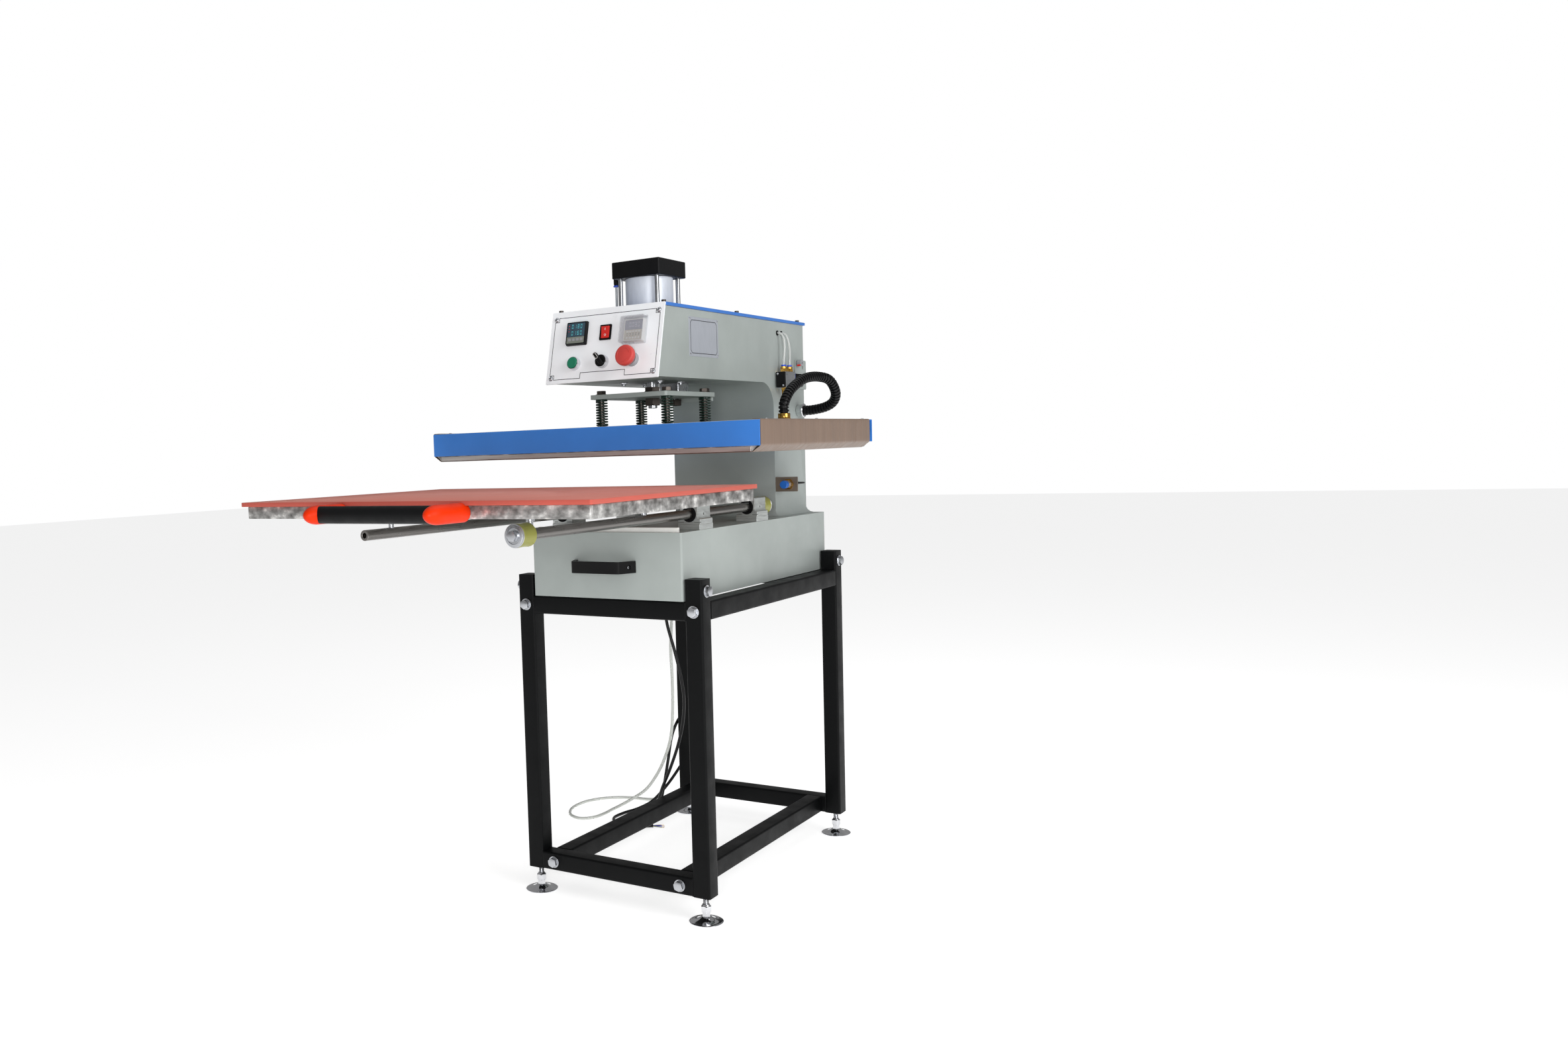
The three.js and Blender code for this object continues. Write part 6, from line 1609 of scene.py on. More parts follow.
# %% Cover, casting and strip
COVER_LOW, COVER_HIGH = node_box("platen_cover")
HEATER_FOOT = node_box("heating_plate")[0].z
HEATER_TOP = 1005.5
STRIP_TOP = 981.3


def cover_skin():
    """A folded tray with bent corners and turned-in side returns, open at its sides and below."""
    skin, bend = 2, 3
    outer, inner = [], []
    half_depth = (COVER_HIGH.y - COVER_LOW.y) / 2
    middle = (COVER_HIGH.y + COVER_LOW.y) / 2
    for radius, inset, rows in ((bend, 0, outer), (bend - skin, skin, inner)):
        y, z = half_depth - inset, COVER_HIGH.z - inset
        rows.append((-y, COVER_LOW.z))
        rows += [(-y + radius - radius * cos(a), z - radius + radius * sin(a))
            for a in (k * pi / 12 for k in range(7))]
        rows += [(-a, b) for a, b in rows[::-1]]
    outline = [(a + middle, b) for a, b in outer + inner[::-1]]
    return prism(outline, "x", COVER_LOW.x, COVER_HIGH.x)


platen_cover = piece("platen_cover_folded", cover_skin(), cover_paint, "platen_cover", 0.3, "platen")
platen_cover.data.materials.append(pale_paint)
for polygon in platen_cover.data.polygons:
    if polygon.normal.z > 0.9 and polygon.center.z > (COVER_HIGH.z - 1) * MM:
        polygon.material_index = 1
print("cover", round(COVER_HIGH.x - COVER_LOW.x), "by", round(COVER_HIGH.y - COVER_LOW.y))


def heater_slab():
    """The heated casting, with its long lower edges turned under."""
    side, under, low, high = 393, 12, HEATER_FOOT, HEATER_TOP
    outline = [(-side, high), (-side, low + 11), (under - side, low), (side - under, low), (side, low + 11),
        (side, high)]
    return prism(outline, "y", COVER_LOW.y + 2.3, COVER_HIGH.y - 2.3)


piece("heater_casting", heater_slab(), cast_aluminium, "heating_plate", 0.8, "platen")
strip_half = 380
strip = block((-strip_half, COVER_LOW.y + 1.2, HEATER_FOOT + 0.6),
    (strip_half, COVER_LOW.y + 14, STRIP_TOP + 4))
piece("sheet_strip", strip, milled_strip, bevel=0.4, body="platen")
print("strip length", 2 * strip_half)

# %% [markdown]
# ## Release sheet
# A sheet of brown glass cloth with a slippery coating is stretched under the heater, up both sides and
# over the top edges of the cover. A section drawn once across the platen gives the bends, rounded as
# cloth rounds them, and each step along the depth carries it on. The fine creases of the sides are real
# displacements of the mesh. The weave and the rubbed streaks are in the finish.

# %% Woven finish
def release_cloth():
    """Brown coated glass cloth: a fine square weave, dull streaks and a faint gloss."""
    cloth = Finish("release_cloth", rgb(118, 96, 80), 0.46, Sheen_Weight=0.1)
    weave = cloth.node("ShaderNodeMath")
    weave.operation = "MAXIMUM"
    for k, way in enumerate("YZ"):
        threads = cloth.node("ShaderNodeTexWave", Vector=cloth.place, Scale=420.0, Distortion=0.4,
            Detail=1.0)
        threads.bands_direction = way
        cloth.links.new(threads.outputs["Fac"], weave.inputs[k])
    cloth.drift(26, 0.93, 1.05, detail=5.0, stretch=(1, 1.2, 0.16))
    cloth.gloss(40, 0.34, 0.56, detail=6.0, stretch=(1, 3, 0.2))
    return cloth.raised(weave.outputs[0], 0.16, 0.0002).grain(40, 0.3, 0.0006,
        stretch=(1, 1, 0.12)).material


brown_cloth = release_cloth()
print("cloth:", brown_cloth.name)

# %% Section and creases
SHEET_THICK = 0.7
SHEET_FRONT = COVER_LOW.y + 2.2
SHEET_REAR = COVER_HIGH.y - 18
SHEET_SIDE = COVER_HIGH.x + 0.25
SHEET_FOLD = SHEET_SIDE - 16
SHEET_UNDER = HEATER_FOOT - 0.5
BEND_X, BEND_Z = 382.3, 987.0
SHEET_ROWS = 150
CREASES = [(0.34, 0.5, 7), (0.47, 0.7, 5), (0.55, 0.9, 4), (0.61, 1.0, 6), (0.68, 0.6, 4), (0.74, 0.9, 5),
    (0.8, 0.7, 3), (0.86, 1.1, 5), (0.92, 0.8, 4), (0.96, 0.6, 3)]


def bent(points, radius, steps=5):
    """A line through points with each corner rounded."""
    line = [Vector(points[0])]
    for before, here, after in zip(points, points[1:], points[2:]):
        here = Vector(here)
        ways = [Vector(other) - here for other in (before, after)]
        start, end = (here + way.normalized() * min(radius, way.length / 2.2) for way in ways)
        line += [start * (1 - t) ** 2 + here * 2 * t * (1 - t) + end * t ** 2
            for t in (k / steps for k in range(steps + 1))]
    return line + [Vector(points[-1])]


def spaced(line, step):
    """The same line with its long straights cut up."""
    points = [line[0]]
    for a, b in zip(line, line[1:]):
        count = max(1, round((b - a).length / step))
        points += [a.lerp(b, k / count) for k in range(1, count + 1)]
    return points


top = COVER_HIGH.z + 0.5
half_section = bent([(SHEET_FOLD, top + 0.2), (SHEET_SIDE, top), (SHEET_SIDE, BEND_Z),
    (BEND_X, SHEET_UNDER), (0, SHEET_UNDER)], 3)
right_side = spaced(half_section, 7)
sheet_line = right_side + [Vector((-p.x, p.y)) for p in right_side[-2::-1]]


def crease(share, height):
    """How far the cloth stands off its side at a share of the depth and a height."""
    lift = 0
    for k, (place, size, width) in enumerate(CREASES):
        lean = (height - 1010) * 0.00022 * sin(k * 2.4)
        gap = (share + lean - place) * (SHEET_REAR - SHEET_FRONT) / width
        lift += size * 0.55 * math.exp(-gap * gap)
    return lift * (0.75 + 0.25 * sin(height * 0.11 + share * 9))


def release_sheet():
    """Rows of the section along the depth."""
    rows = []
    for j in range(SHEET_ROWS + 1):
        share = j / SHEET_ROWS
        y = SHEET_FRONT + (SHEET_REAR - SHEET_FRONT) * share
        row = []
        for p in sheet_line:
            on_side = max(0.0, 1 - abs(abs(p.x) - SHEET_SIDE) / 2) * (978 < p.y < top - 2)
            ripple = 0.12 * sin(p.x * 0.021 + y * 0.013) * (p.y < SHEET_UNDER + 1)
            row.append(Vector((p.x + math.copysign(crease(share, p.y) * on_side, p.x), y, p.y + ripple)))
        rows.append(row)
    return rows


def thickened(rows, thick):
    """Two skins of a grid of points, joined round the edge."""
    high, wide = len(rows), len(rows[0])
    outer, inner = [], []
    for j, row in enumerate(rows):
        for k, point in enumerate(row):
            along = row[min(k + 1, wide - 1)] - row[max(k - 1, 0)]
            deep = rows[min(j + 1, high - 1)][k] - rows[max(j - 1, 0)][k]
            normal = along.cross(deep).normalized()
            outer.append(point + normal * thick)
            inner.append(point.copy())
    count = high * wide
    at = lambda j, k: j * wide + k
    faces = []
    for j in range(high - 1):
        for k in range(wide - 1):
            quad = [at(j, k), at(j, k + 1), at(j + 1, k + 1), at(j + 1, k)]
            faces += [quad, [i + count for i in quad[::-1]]]
    border = [at(0, k) for k in range(wide)] + [at(j, wide - 1) for j in range(1, high)]
    border += [at(high - 1, k) for k in range(wide - 2, -1, -1)]
    border += [at(j, 0) for j in range(high - 2, 0, -1)]
    faces += [[a, b, b + count, a + count] for a, b in zip(border, border[1:] + border[:1])]
    return outer + inner, faces


sheet_rows = release_sheet()
brown_sheet = piece("release_sheet_cloth", thickened(sheet_rows, SHEET_THICK), brown_cloth, "release_sheet",
    body="platen")

# %% [markdown]
# ## Table
# The lower table is a sand cast plate. Its red sponge silicone pad stands a little proud and is cut by
# hand, so its edge is not quite straight. Both are rounded outlines with rows of points along the edge,
# so that a smooth formula can shift them.

# %% Wavy slabs
TABLE_LOW, TABLE_HIGH = node_box("lower_plate")
PAD_LOW, PAD_HIGH = node_box("silicone_pad")


def slab(low, high, corner, edge, sway, step=9):
    """A rectangular slab with round corners, soft edges and a swaying rim."""
    centre = ((low.x + high.x) / 2, (low.y + high.y) / 2)
    half = ((high.x - low.x) / 2, (high.y - low.y) / 2)
    outline = [Vector(p) for p in rounded(2 * half[0], 2 * half[1], corner, centre)]
    outline = spaced(outline + outline[:1], step)[:-1]
    heights = [(edge, low.z), (edge * 0.3, low.z + edge * 0.3), (0, low.z + edge)]
    heights += [(inset, high.z + low.z - z) for inset, z in heights[::-1]]
    rings = []
    for inset, z in heights:
        row = []
        for p in outline:
            out = (p.x - centre[0], p.y - centre[1])
            reach = Vector([math.copysign(min(1, abs(d) / h) ** 8, d) for d, h in zip(out, half)])
            row.append(Vector((*(p + reach * (sway(p.x, p.y, z) - inset)), z)))
        rings.append(row)
    return skinned(rings)


def cast_sway(x, y, z):
    """Mould joints, sand marks and a dent near each corner of the casting."""
    wave = 0.35 * sin(x * 0.021 + 1.3) * sin(y * 0.017) + 0.25 * sin(x * 0.11 + y * 0.09 + z * 0.3)
    joint = -0.3 * math.exp(-((abs(x) - 372) / 2.2) ** 2) if y < TABLE_LOW.y + 30 else 0
    return wave + joint - 0.6


def cut_sway(x, y, z):
    """A hand cut edge: slow waves with a few small nicks."""
    return 0.7 * sin(x * 0.012 + 0.5) + 0.5 * sin(y * 0.016) + 0.12 * sin((x + y) * 0.31) - 0.7


piece("table_casting", slab(TABLE_LOW, TABLE_HIGH, 6, 1.2, cast_sway, 4), cast_aluminium, "lower_plate",
    body="table")
pad = piece("silicone_mat", slab(PAD_LOW, PAD_HIGH, 4, 0.7, cut_sway), red_silicone, "silicone_pad",
    body="table")
print("pad size", [round(v) for v in PAD_HIGH - PAD_LOW])

# %% [markdown]
# ## Table handle
# A black foam grip is pushed between two orange moulded legs with bullet noses, which screw to the
# plate's front edge.

# %% Legs and grip
HANDLE_X = 134
leg_low, leg_high = node_box("handle_leg_right")
HANDLE_Z = (leg_low.z + leg_high.z) / 2
LEG_RADIUS = (leg_high.z - leg_low.z) / 2
grip_low, grip_high = node_box("handle_grip")
GRIP_Y = (grip_low.y + grip_high.y) / 2
GRIP_RADIUS = (grip_high.y - grip_low.y) / 2
NOSE = 30


def bullet():
    """A moulded leg: a round foot with a soft rim, a body and a nose like a bullet."""
    length = leg_high.y - leg_low.y
    straight = length - NOSE
    profile = [(0, 0), (LEG_RADIUS - 1, 0), (LEG_RADIUS, 1), (LEG_RADIUS, straight * 0.5),
        (LEG_RADIUS, straight)]
    profile += [(LEG_RADIUS * cos(a), straight + NOSE * sin(a))
        for a in (k * pi / 28 for k in range(1, 14))]
    return turned(profile + [(0, length)], sides=72)


for side, s in (("left", -1), ("right", 1)):
    leg = moved(bullet(), (s * HANDLE_X, leg_high.y, HANDLE_Z), "-y")
    under = block((s * HANDLE_X - 40, PAD_LOW.y - 0.3, TABLE_HIGH.z),
        (s * HANDLE_X + 40, TABLE_LOW.y + 4, PAD_HIGH.z))
    piece(f"handle_leg_moulded_{side}", cross_drilled(leg, under), orange_plastic, f"handle_leg_{side}",
        0.3, "table")
GRIP_TUCK = 9
length = grip_high.x - grip_low.x + GRIP_TUCK
grip_profile = [(0, 0), (GRIP_RADIUS - 0.8, 0), (GRIP_RADIUS, 0.8)]
grip_profile += [(GRIP_RADIUS - (0.25 if k % 2 else 0), 6 + k * 1.2) for k in range(5)]
grip_profile += [(GRIP_RADIUS, 14), (GRIP_RADIUS, length / 2), (GRIP_RADIUS, length - 14)]
grip_profile += [(GRIP_RADIUS - (0.25 if k % 2 else 0), length - 10.8 + k * 1.2) for k in range(5)]
grip_profile += [(GRIP_RADIUS, length - 0.8), (GRIP_RADIUS - 0.8, length), (0, length)]
piece("handle_grip_sleeve", turned(grip_profile, (grip_low.x - GRIP_TUCK, GRIP_Y, HANDLE_Z), "x", 64),
    grip_rubber, "handle_grip", body="table")
print("grip length", round(length))

# %% [markdown]
# ## Shafts, stops and bearing blocks
# Two ground shafts under the table run in four bearing blocks. The right shaft has a bumper at each end:
# a urethane ring, a pressed zinc disc and a bolt. The blocks are extruded aluminium on pale spacers, open
# along the top so that the table's spacer screws pass, with black seals round the shafts.

# %% Shafts
SHAFT_Z = node_box("slide_shaft_left")[0].z + 10
SHAFT_X = 161
SHAFT_RADIUS = 10
SHAFT_REAR = node_box("slide_shaft_left")[1].y
SHAFT_FRONTS = {side: node_box(f"slide_shaft_{side}")[0].y + stop
    for side, stop in (("left", 0), ("right", 12.5))}
STANDOFF_ROWS = (-866, -483)
BLOCK_HIGH = node_box("bearing_block_front_right")[1].z


def shaft(side, s):
    """A ground shaft with a tapped hole in its front end, and the posts that carry the table on it."""
    x, front, foot = s * SHAFT_X, SHAFT_FRONTS[side], BLOCK_HIGH + 0.5
    length, r = SHAFT_REAR - front, SHAFT_RADIUS
    profile = [(0, 12), (4.2, 12), (5, 10), (5, 0.6), (5.6, 0), (r - 0.8, 0), (r, 1), (r, length - 1),
        (r - 0.8, length), (0, length)]
    posts = []
    for y in STANDOFF_ROWS:
        posts += [rod(5, TABLE_LOW.z - 0.3 - SHAFT_Z, (x, y, SHAFT_Z), sides=28),
            rod(8, TABLE_LOW.z - 0.3 - foot, (x, y, foot), edge=0.6, sides=36),
            hexagon(13, 3.5, (x, y, foot + 4))]
    return turned(profile, (x, front, SHAFT_Z), "y", 56), posts


for side, s in (("left", -1), ("right", 1)):
    bar, posts = shaft(side, s)
    piece(f"slide_shaft_{side}_ground", bar, ground_steel, f"slide_shaft_{side}", body="table")
    piece(f"table_posts_{side}", merged(*posts), zinc_plate, body="table")
print("shaft lengths", [round(SHAFT_REAR - front) for front in SHAFT_FRONTS.values()])

# %% Stops
BUMPER_RADIUS = 21
STOP_RINGS = ((-912, -875.5, "-y"), (31, 61, "y"))


def bumper(low, high):
    """A cast urethane ring with a soft waist."""
    length, waist = high - low, 0.8
    outer = [(BUMPER_RADIUS - 1.5, 0), (BUMPER_RADIUS, 1.5)]
    outer += [(BUMPER_RADIUS - waist * sin(k * pi / 8), 1.5 + (length - 3) * k / 8) for k in range(1, 8)]
    outer += [(BUMPER_RADIUS, length - 1.5), (BUMPER_RADIUS - 1.5, length)]
    return turned([(10.1, 0), *outer, (10.1, length), (10.1, 0)], (SHAFT_X, low, SHAFT_Z), "y", 64)


def stop_hardware(low, high, way):
    """A dished disc, a spring washer and a bolt on the outer end of a bumper."""
    disc = turned([(0, 0), (BUMPER_RADIUS - 0.7, 0), (BUMPER_RADIUS, 1), (BUMPER_RADIUS - 0.4, 2.2),
        (18.5, 2.6), (17.6, 4.4), (14.5, 4.8), (13.8, 3.6), (10.5, 3.6), (10.5, 6), (0, 6)], sides=64)
    washer = ring(9.6, 4, 1.4, (0, 0, 5.6), edge=0.3)
    end = low if way == "-y" else high
    return moved(merged(disc, hexagon(17, 5.6, (0, 0, 6.6)), washer), (SHAFT_X, end, SHAFT_Z), way)


piece("stop_bumpers", merged(*[bumper(low, high) for low, high, _ in STOP_RINGS]), urethane, body="table")
piece("stop_discs", merged(*[stop_hardware(*ends) for ends in STOP_RINGS]), zinc_plate, body="table")
print("bumpers:", len(STOP_RINGS))

# %% Bearing blocks
FLANGE, BODY = 26, 20.5
RISER_TOP = node_box("bearing_block_front_right")[0].z + 11.7
FLANGE_TOP = RISER_TOP + 11.5
SLOT = 6


def block_shape(s):
    """The extrusion: flange, chamfered shoulders, grooves, a bore and the slot above it."""
    low, high = node_box("bearing_block_front_right")
    length = high.y - low.y - 4
    outline = [(-FLANGE, RISER_TOP), (FLANGE, RISER_TOP), (FLANGE, FLANGE_TOP - 1),
        (FLANGE - 1, FLANGE_TOP), (BODY + 1.2, FLANGE_TOP), (BODY, FLANGE_TOP + 3.5),
        (BODY, BLOCK_HIGH - 1.4), (BODY - 1.4, BLOCK_HIGH)]
    outline += [(-a, b) for a, b in outline[:1:-1]]
    way = "x" if s > 0 else "-x"
    tools = [rod(16.6, length + 10, (0, -5, SHAFT_Z), "y", sides=56),
        block((-SLOT, -5, SHAFT_Z), (SLOT, length + 5, BLOCK_HIGH + 5)),
        rod(2.5, 12, (s * (BODY - 6), length / 2, SHAFT_Z), way, sides=20)]
    tools += [block((x, -1, RISER_TOP + 3.6), (x + 14.5, 7, RISER_TOP + 4.6)) for x in (12, -26.5)]
    return cross_drilled(prism(outline, "y", 0, length), *tools), length


def c_ring(outer, inner, low, high):
    """A bush that is open along its top."""
    def arc(radius):
        spare = math.asin((SLOT + 0.4) / radius)
        angles = [spare + (2 * pi - 2 * spare) * k / 40 for k in range(41)]
        return [(radius * sin(a), radius * cos(a) + SHAFT_Z) for a in angles]
    return prism(arc(outer) + arc(inner)[::-1], "y", low, high)


for row in ("front", "rear"):
    for side, s in (("left", -1), ("right", 1)):
        node = f"bearing_block_{row}_{side}"
        low, high = node_box(node)
        front = low.y + 2
        shape, length = block_shape(s)
        piece(f"{node}_extruded", moved(shape, (s * SHAFT_X, front, 0)), block_metal, node, 0.35)
        seals = merged(*[c_ring(16.3, 10.6, *ends) for ends in ((-1.2, 3), (length - 3, length + 1.2))])
        piece(f"{node}_seals", moved(seals, (s * SHAFT_X, front, 0)), black_rubber, bevel=0.2)
        sleeve = c_ring(16.3, 11, 3.2, length - 3.2)
        piece(f"{node}_sleeve", moved(sleeve, (s * SHAFT_X, front, 0)), polished_steel)
        riser = block((s * SHAFT_X - FLANGE, front - 2, low.z), (s * SHAFT_X + FLANGE, front + length + 2,
            RISER_TOP))
        piece(f"{node}_riser", riser, block_metal, bevel=0.6)
print("block length", length)

# %% [markdown]
# ## Air valve
# A solenoid valve hangs on a painted bracket at the right side of the column: a black end cover, a milled
# body with two brass fittings above and two bronze silencers below, and a ribbed black coil. Two clear
# hoses drop from holes in the head into blue push-in collars. The bracket has a keyhole and a round
# regulator knob.

# %% Valve body, cover and coil
VALVE_LOW, VALVE_HIGH = node_box("air_valve")
VALVE_LEFT, VALVE_RIGHT = VALVE_LOW.x, VALVE_HIGH.x
VALVE_TOP, VALVE_FOOT = 1161, 1123
VALVE_Y = (VALVE_LOW.y, 193, 247, VALVE_HIGH.y)
PORT_X = (VALVE_LEFT + VALVE_RIGHT) / 2
PORTS = (207, 240)
VALVE_MIDDLE = (VALVE_TOP + VALVE_FOOT) / 2


def valve_box(low_y, high_y, inset, corner=2.0):
    """A milled block with rounded long edges, set in from the valve's outline."""
    height, width = VALVE_TOP - VALVE_FOOT - 2 * inset, VALVE_RIGHT - VALVE_LEFT - inset
    outline = rounded(width, height, corner, (VALVE_LEFT + width / 2, VALVE_MIDDLE), 5)
    return prism(outline, "y", low_y, high_y)


valve_block = cross_drilled(valve_box(VALVE_Y[1] + 0.1, VALVE_Y[2] - 0.1, 0, 1.2),
    *[rod(1.7, 40, (VALVE_RIGHT - 20, y, VALVE_MIDDLE + dz), "x", sides=20) for y in (199, 241)
    for dz in (-12, 12)], block((VALVE_RIGHT - 0.6, 196, VALVE_MIDDLE - 0.4),
    (VALVE_RIGHT + 2, 244, VALVE_MIDDLE + 0.4)))
piece("valve_block", valve_block, valve_metal, "air_valve", 0.4)
piece("valve_end_cover", valve_box(VALVE_Y[0], VALVE_Y[1], 0.6, 1.5), black_plastic, bevel=0.5)
cover_screws = [((VALVE_LEFT + 4.5, VALVE_Y[0], VALVE_TOP - 5), (0, -1, 0)),
    ((VALVE_RIGHT - 5.5, VALVE_Y[0], VALVE_FOOT + 5), (0, -1, 0))]
fasteners("valve_screws", cross_screw(2.6, 1.4), cover_screws, zinc_plate, 8)
COIL_RIBS = 7
coil_parts = [valve_box(VALVE_Y[2] + 0.2, VALVE_Y[3], 4, 3)]
for k in range(COIL_RIBS):
    at = VALVE_Y[2] + 8 + k * 6.4
    coil_parts.append(valve_box(at, at + 3.4, 3.1, 3))
piece("valve_coil", merged(*coil_parts), black_plastic, bevel=0.4)
piece("valve_gasket", valve_box(VALVE_Y[2] - 0.3, VALVE_Y[2] + 1.4, 0.4, 2), collar_blue, bevel=0.2)
print("valve length", round(VALVE_Y[3] - VALVE_Y[0]))

# %% Fittings and silencers
def port_fitting(y):
    """Hexagon, neck and push-in body of a brass fitting."""
    body = turned([(0, 7), (7, 7), (7.6, 7.8), (7.6, 11.6), (6.8, 12.6), (4.2, 13), (0, 13)], sides=40)
    return moved(merged(hexagon(15.5, 7), body), (PORT_X, y, VALVE_TOP))


def silencer(y):
    """A sintered bronze cone under a hexagon."""
    cone = turned([(0, 5), (5.6, 5), (5.8, 6), (5.4, 14), (4, 18), (2.6, 20), (0, 20)], sides=40)
    return moved(merged(hexagon(12, 5), cone), (PORT_X, y, VALVE_FOOT), "-z")


piece("valve_fittings", merged(*[port_fitting(y) for y in PORTS]), yellow_brass)
piece("valve_silencers", merged(*[silencer(y) for y in PORTS]), yellow_brass)
COLLAR_TOP = VALVE_TOP + 16.5
push_collar = [(3.3, 12.8), (5.2, 12.8), (5.2, 14.2), (6.6, 14.4), (6.6, 16), (6.2, 16.5), (3.3, 16.5),
    (3.3, 12.8)]
piece("valve_collars", merged(*[turned(push_collar, (PORT_X, y, VALVE_TOP), sides=36) for y in PORTS]),
    collar_blue)
print("ports:", len(PORTS))

# %% Valve hoses
HOSE_RADIUS = 3
COLUMN_SIDE = 138
hose_exits = (206.5, 228.8)
for k, (exit_y, port) in enumerate(zip(hose_exits, PORTS)):
    name = "rear" if k else "front"
    route = [(133, exit_y, 1254.5), (141, exit_y, 1254.5), (149, exit_y, 1251), (154.6, exit_y, 1241),
        (156.6, (exit_y + port) / 2, 1219), (154.4, port, 1196), (153.1, port, COLLAR_TOP - 3)]
    piece(f"valve_hose_{name}_tube", swept(smooth_path(route, 2.5), HOSE_RADIUS, 20, 2), clear_tube,
        f"valve_hose_{name}")
grommets = [moved(ring(6.2, 3.2, 2.2, edge=0.7, sides=32), (COLUMN_SIDE + 0.1, y, 1254.5), "x")
    for y in hose_exits]
piece("hose_grommets", merged(*grommets), black_rubber)
print("hoses:", len(hose_exits))

# %% Bracket and regulator
BRACKET_LOW, BRACKET_HIGH = node_box("valve_bracket")
BRACKET_THICK = 2.5
KEYHOLE = (345, 1177)


def valve_bracket():
    """A plate with rounded corners, an arm behind the valve, a keyhole and a slot."""
    (x, front_y, low), (_, rear_y, high) = BRACKET_LOW, BRACKET_HIGH
    step = rear_y - 66
    outline = [(front_y, VALVE_FOOT), (step, VALVE_FOOT), (step + 1, low + 3), (step + 4, low),
        (rear_y - 3, low), (rear_y, low + 3), (rear_y, high - 3), (rear_y - 3, high), (step + 4, high),
        (step, high - 4), (step, VALVE_TOP), (front_y, VALVE_TOP)]
    y, z = KEYHOLE
    holes = [rod(5, 20, (x - 9, y, z), "x"), rod(3, 20, (x - 9, y, z + 5), "x", sides=32)]
    return cross_drilled(prism(outline, "x", x, x + BRACKET_THICK), *holes)


piece("valve_bracket_plate", valve_bracket(), grey_paint, "valve_bracket", 0.5)
regulator_y, regulator_z = 313, 1186
knob_profile = [(0, 2), (5, 2), (5, 5), (7.6, 5.4), (8, 6.4)] + [(8, 7 + k) if k % 2 else (7.7, 7 + k)
    for k in range(8)]
knob_profile += [(8, 15.4), (7.4, 16.4), (3.4, 16.4), (3.4, 14), (0, 14)]
piece("regulator_knob", turned(knob_profile, (BRACKET_LOW.x, regulator_y, regulator_z), "x", 56),
    grey_plastic)
piece("regulator_lead", rod(2.2, 9, (BRACKET_LOW.x + 7, regulator_y - 9, regulator_z - 6), "x", sides=24),
    red_plastic)
print("bracket height", round(BRACKET_HIGH.z - BRACKET_LOW.z))

# %% [markdown]
# ## Glands and conduit
# The heater's wires cross from the column to the platen in a ribbed black conduit. It leaves a painted
# boss with a chrome ring, arches back and over, and drops into a brass gland. The platen moves, but the
# conduit is one fixed mesh that hangs on no body. Its ribs have one rule, so Geometry Nodes make them:
# the radius along the path is a rounded square wave of the length.

# %% Glands
CONDUIT_RADIUS = 12
BOSS = (319.5, 1069)
GLAND = (205, 90)
boss_low, boss_high = node_box("column_gland")
boss = turned([(7, 0), (14.4, 0), (15, 0.8), (15, 13), (14.4, 14), (12.3, 14), (12.3, 10), (7, 10), (7, 0)],
    (boss_low.x, *BOSS), "x", 56)
piece("column_boss", boss, grey_paint, "column_gland")
piece("column_boss_ring", moved(ring(17, 12.3, 4.6, edge=1.4, sides=56), (boss_high.x - 4.9, *BOSS), "x"),
    bright_chrome)
GLAND_FOOT = node_box("platen_gland")[0].z
GLAND_BORE = 12.5
nut_part = hexagon(28, 12)
rim_part = turned([(GLAND_BORE, 11), (13.4, 12), (14.2, 13), (14.2, 21), (13.6, 22), (GLAND_BORE, 22),
    (GLAND_BORE, 11)], sides=56)
hollow_nut = cross_drilled(nut_part, rod(GLAND_BORE, 20, (0, 0, -4), sides=56))
piece("platen_gland_turned", moved(merged(hollow_nut, ring(14.6, GLAND_BORE, 1.6, (0, 0, 11.9), edge=0.4),
    rim_part), (*GLAND, GLAND_FOOT)), yellow_brass, "platen_gland", 0.4, "platen")
print("gland foot at", round(GLAND_FOOT))

# %% The ribbed path
def ribbed_tree():
    """A tube along a path whose radius is a rounded square wave of the length."""
    tree = new_tree("ribbed_conduit", Float=("Radius", "Pitch", "Groove Share", "Step"),
        Material=("Finish",))
    add, sums = partial(grow_node, tree), partial(arithmetic, tree)
    given = add("NodeGroupInput").outputs
    path = add("GeometryNodeMeshToCurve", {0: given["Geometry"]})
    stepped = add("GeometryNodeResampleCurve", {"Curve": path.outputs[0], "Length": given["Step"]},
        mode="LENGTH")
    along = add("GeometryNodeSplineParameter").outputs["Length"]
    wave = sums("SINE", sums("MULTIPLY", sums("DIVIDE", along, given["Pitch"]), 2 * pi))
    size = add("ShaderNodeMapRange", {"Value": wave, "From Min": -0.75, "From Max": 0.1,
        "To Min": given["Groove Share"], "To Max": 1.0}, interpolation_type="SMOOTHSTEP")
    sized = add("GeometryNodeSetCurveRadius", {"Curve": stepped.outputs[0], "Radius": size.outputs[0]})
    profile = add("GeometryNodeCurvePrimitiveCircle", {"Resolution": 40, "Radius": given["Radius"]})
    tube = add("GeometryNodeCurveToMesh", {"Curve": sized.outputs[0], "Profile Curve": profile.outputs[0],
        "Fill Caps": True})
    if "Scale" in tube.inputs:
        tree.links.new(add("GeometryNodeInputRadius").outputs[0], tube.inputs["Scale"])
    return finished_tree(tree, tube.outputs[0], given["Finish"])


def path_mesh(name, path):
    """A seed mesh of one open line of edges."""
    mesh = bpy.data.meshes.new(name)
    mesh.from_pydata([to_frame(p) for p in path], [(k, k + 1) for k in range(len(path) - 1)], [])
    return mesh


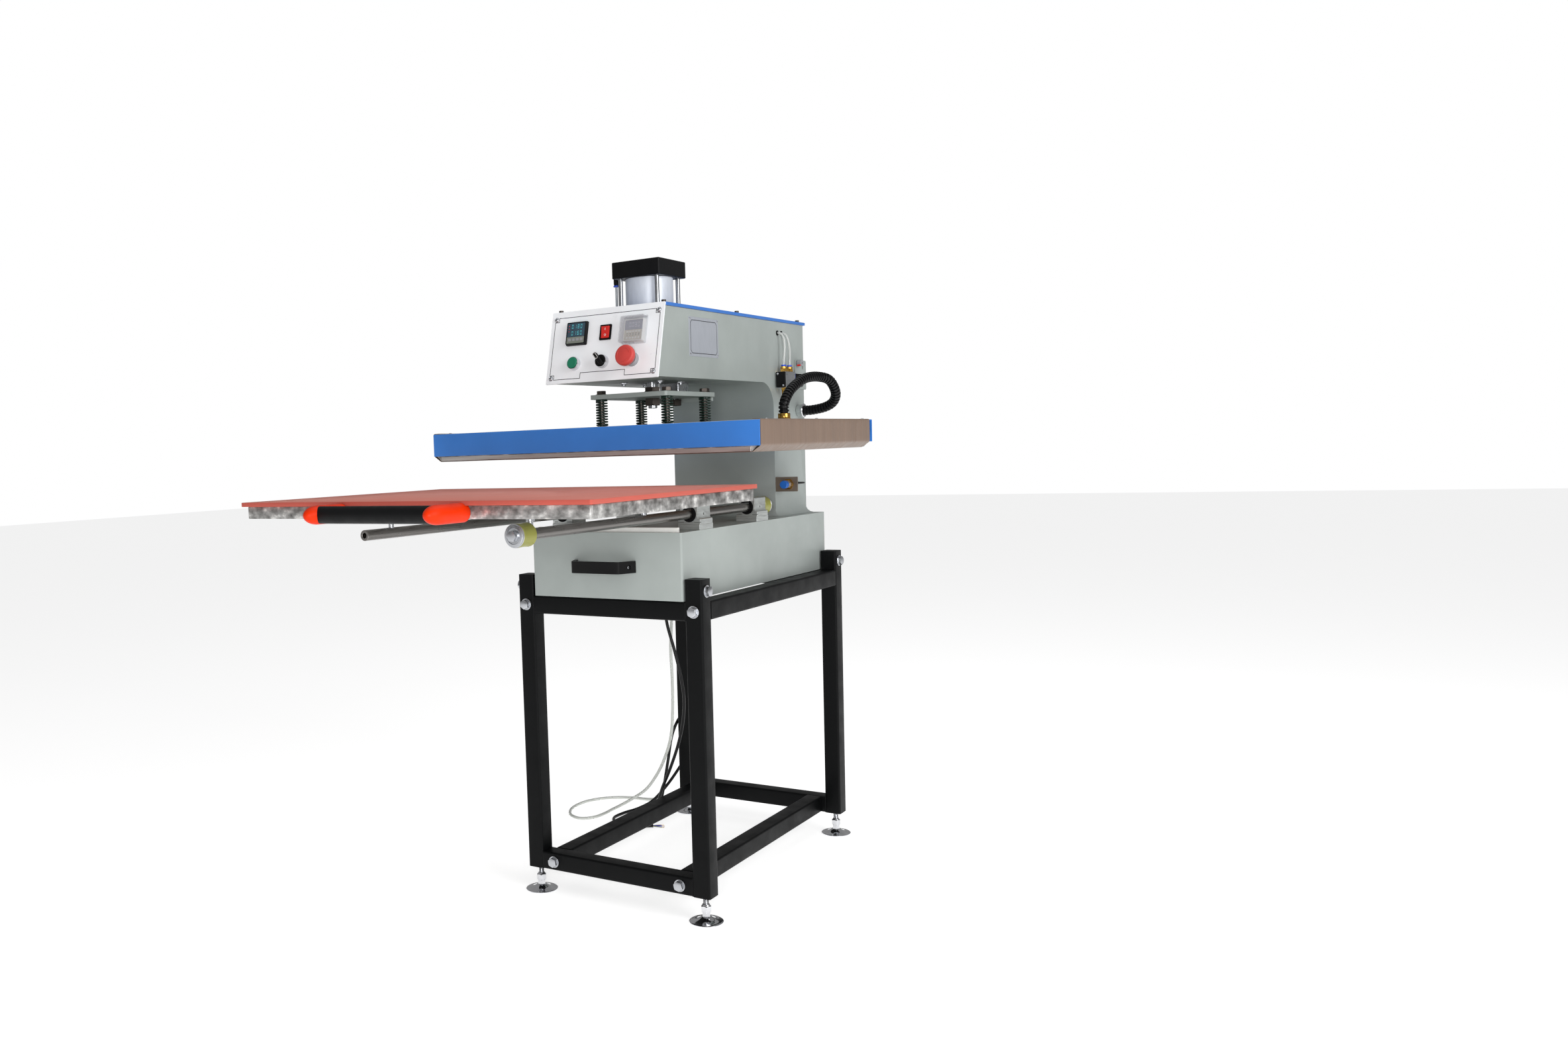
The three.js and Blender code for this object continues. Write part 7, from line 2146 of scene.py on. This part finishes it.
conduit_route = [(152.6, 319.5, 1069), (174.6, 319.5, 1069), (215.6, 316, 1076), (235.8, 310, 1087),
    (248, 295, 1107), (244.6, 265, 1137), (230.4, 235, 1145), (218.6, 185, 1141), (212.3, 150, 1128),
    (208, 114, 1108), (205, 90, 1078.3), (205, 90, GLAND_FOOT + 19)]
conduit_path = smooth_path(conduit_route, 3)
RIB_PITCH = 8
conduit = grown("ribbed_conduit", ribbed_tree(), path_mesh("conduit_seed", conduit_path),
    {"Radius": CONDUIT_RADIUS * MM, "Pitch": RIB_PITCH * MM, "Groove Share": 0.76,
    "Step": RIB_PITCH / 10 * MM, "Finish": cable_rubber}, None, "conduit")
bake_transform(conduit)
print("conduit mm:", round(path_length(conduit_path)), "ribs:",
    round(path_length(conduit_path) / RIB_PITCH))

# %% [markdown]
# ## Position sensor
# An inductive sensor looks at the table from a plated bracket: a threaded barrel with a blue face, two
# nuts, and a black lead that goes back into the column through a small boot. The thread is the same
# formula as on the feet.

# %% Sensor, nuts and lead
SENSOR = (172, 891)
plate_low, plate_high = node_box("proximity_sensor")
PLATE_FRONT, PLATE_THICK = 179, 3


def sensor_plate():
    low, high, y = plate_low, plate_high, PLATE_FRONT
    centre = ((low.x + high.x) / 2, (low.z + high.z) / 2)
    face = prism(rounded(high.x - low.x, high.z - low.z, 1.5, centre, 4), "y", y, y + PLATE_THICK)
    tab = block((low.x, y + 1, low.z + 1), (low.x + PLATE_THICK, y + 21, high.z - 1))
    return merged(cross_drilled(face, rod(9.2, 30, (SENSOR[0], y - 10, SENSOR[1]), "y")), tab)


piece("sensor_bracket", sensor_plate(), stained_plate, "proximity_sensor", 0.4)
barrel = thread(9, 0, 50, 0.6, 1.2, 40)
piece("sensor_barrel", moved(barrel, (SENSOR[0], 161, SENSOR[1]), "y"), stained_plate)
cap = turned([(0, 0), (8.4, 0), (9.4, 0.9), (9.4, 12.4), (0, 12.4)], (SENSOR[0], plate_low.y, SENSOR[1]),
    "y", 56)
piece("sensor_cap", cap, blue_plastic)
nuts = merged(moved(hexagon(24, 4), (SENSOR[0], PLATE_FRONT - 0.1, SENSOR[1]), "-y"),
    moved(hexagon(24, 4), (SENSOR[0], PLATE_FRONT + PLATE_THICK + 0.1, SENSOR[1]), "y"))
piece("sensor_nuts", nuts, yellow_brass)
boot = turned([(0, 0), (6, 0), (6, 4), (3.4, 12), (0, 12)], (SENSOR[0], 210.5, SENSOR[1]), "y", 40)
piece("sensor_boot", boot, black_rubber)
lead_route = [(172, 214.3, 891), (172, 241, 891), (167.6, 279.7, 891), (146.8, 290.7, 891),
    (138, 290.7, 891), (133, 290.7, 891)]
piece("sensor_lead_wire", swept(smooth_path(lead_route, 3), 2.2, 16), cable_rubber, "sensor_lead")
print("sensor thread turns:", round(50 / 1.2))

# %% Screws of the cover and the rear plate
cover_spots = facing(both_sides(COVER_HIGH.x - 9, (-400, -160, 95)), COVER_HIGH.z + 0.9)
fasteners("sheet_screws", cross_screw(3.6, 2), cover_spots, zinc_plate, 12, "platen")
rear_y = node_box("rear_cover")[1].y
rear_spots = [((sx * 100, rear_y - 0.2, 1049.8 + dz), (0, 1, 0)) for sx in (-1, 1) for dz in (-157, 157)]
fasteners("rear_cover_screws", cross_screw(4, 2.2), rear_spots, zinc_plate, 13)
print("screws:", len(cover_spots) + len(rear_spots))

# %% [markdown]
# ## Pieces made
# The last cell counts the pieces that were made.

# %% Count of pieces
print("pieces made:", len(made_pieces))
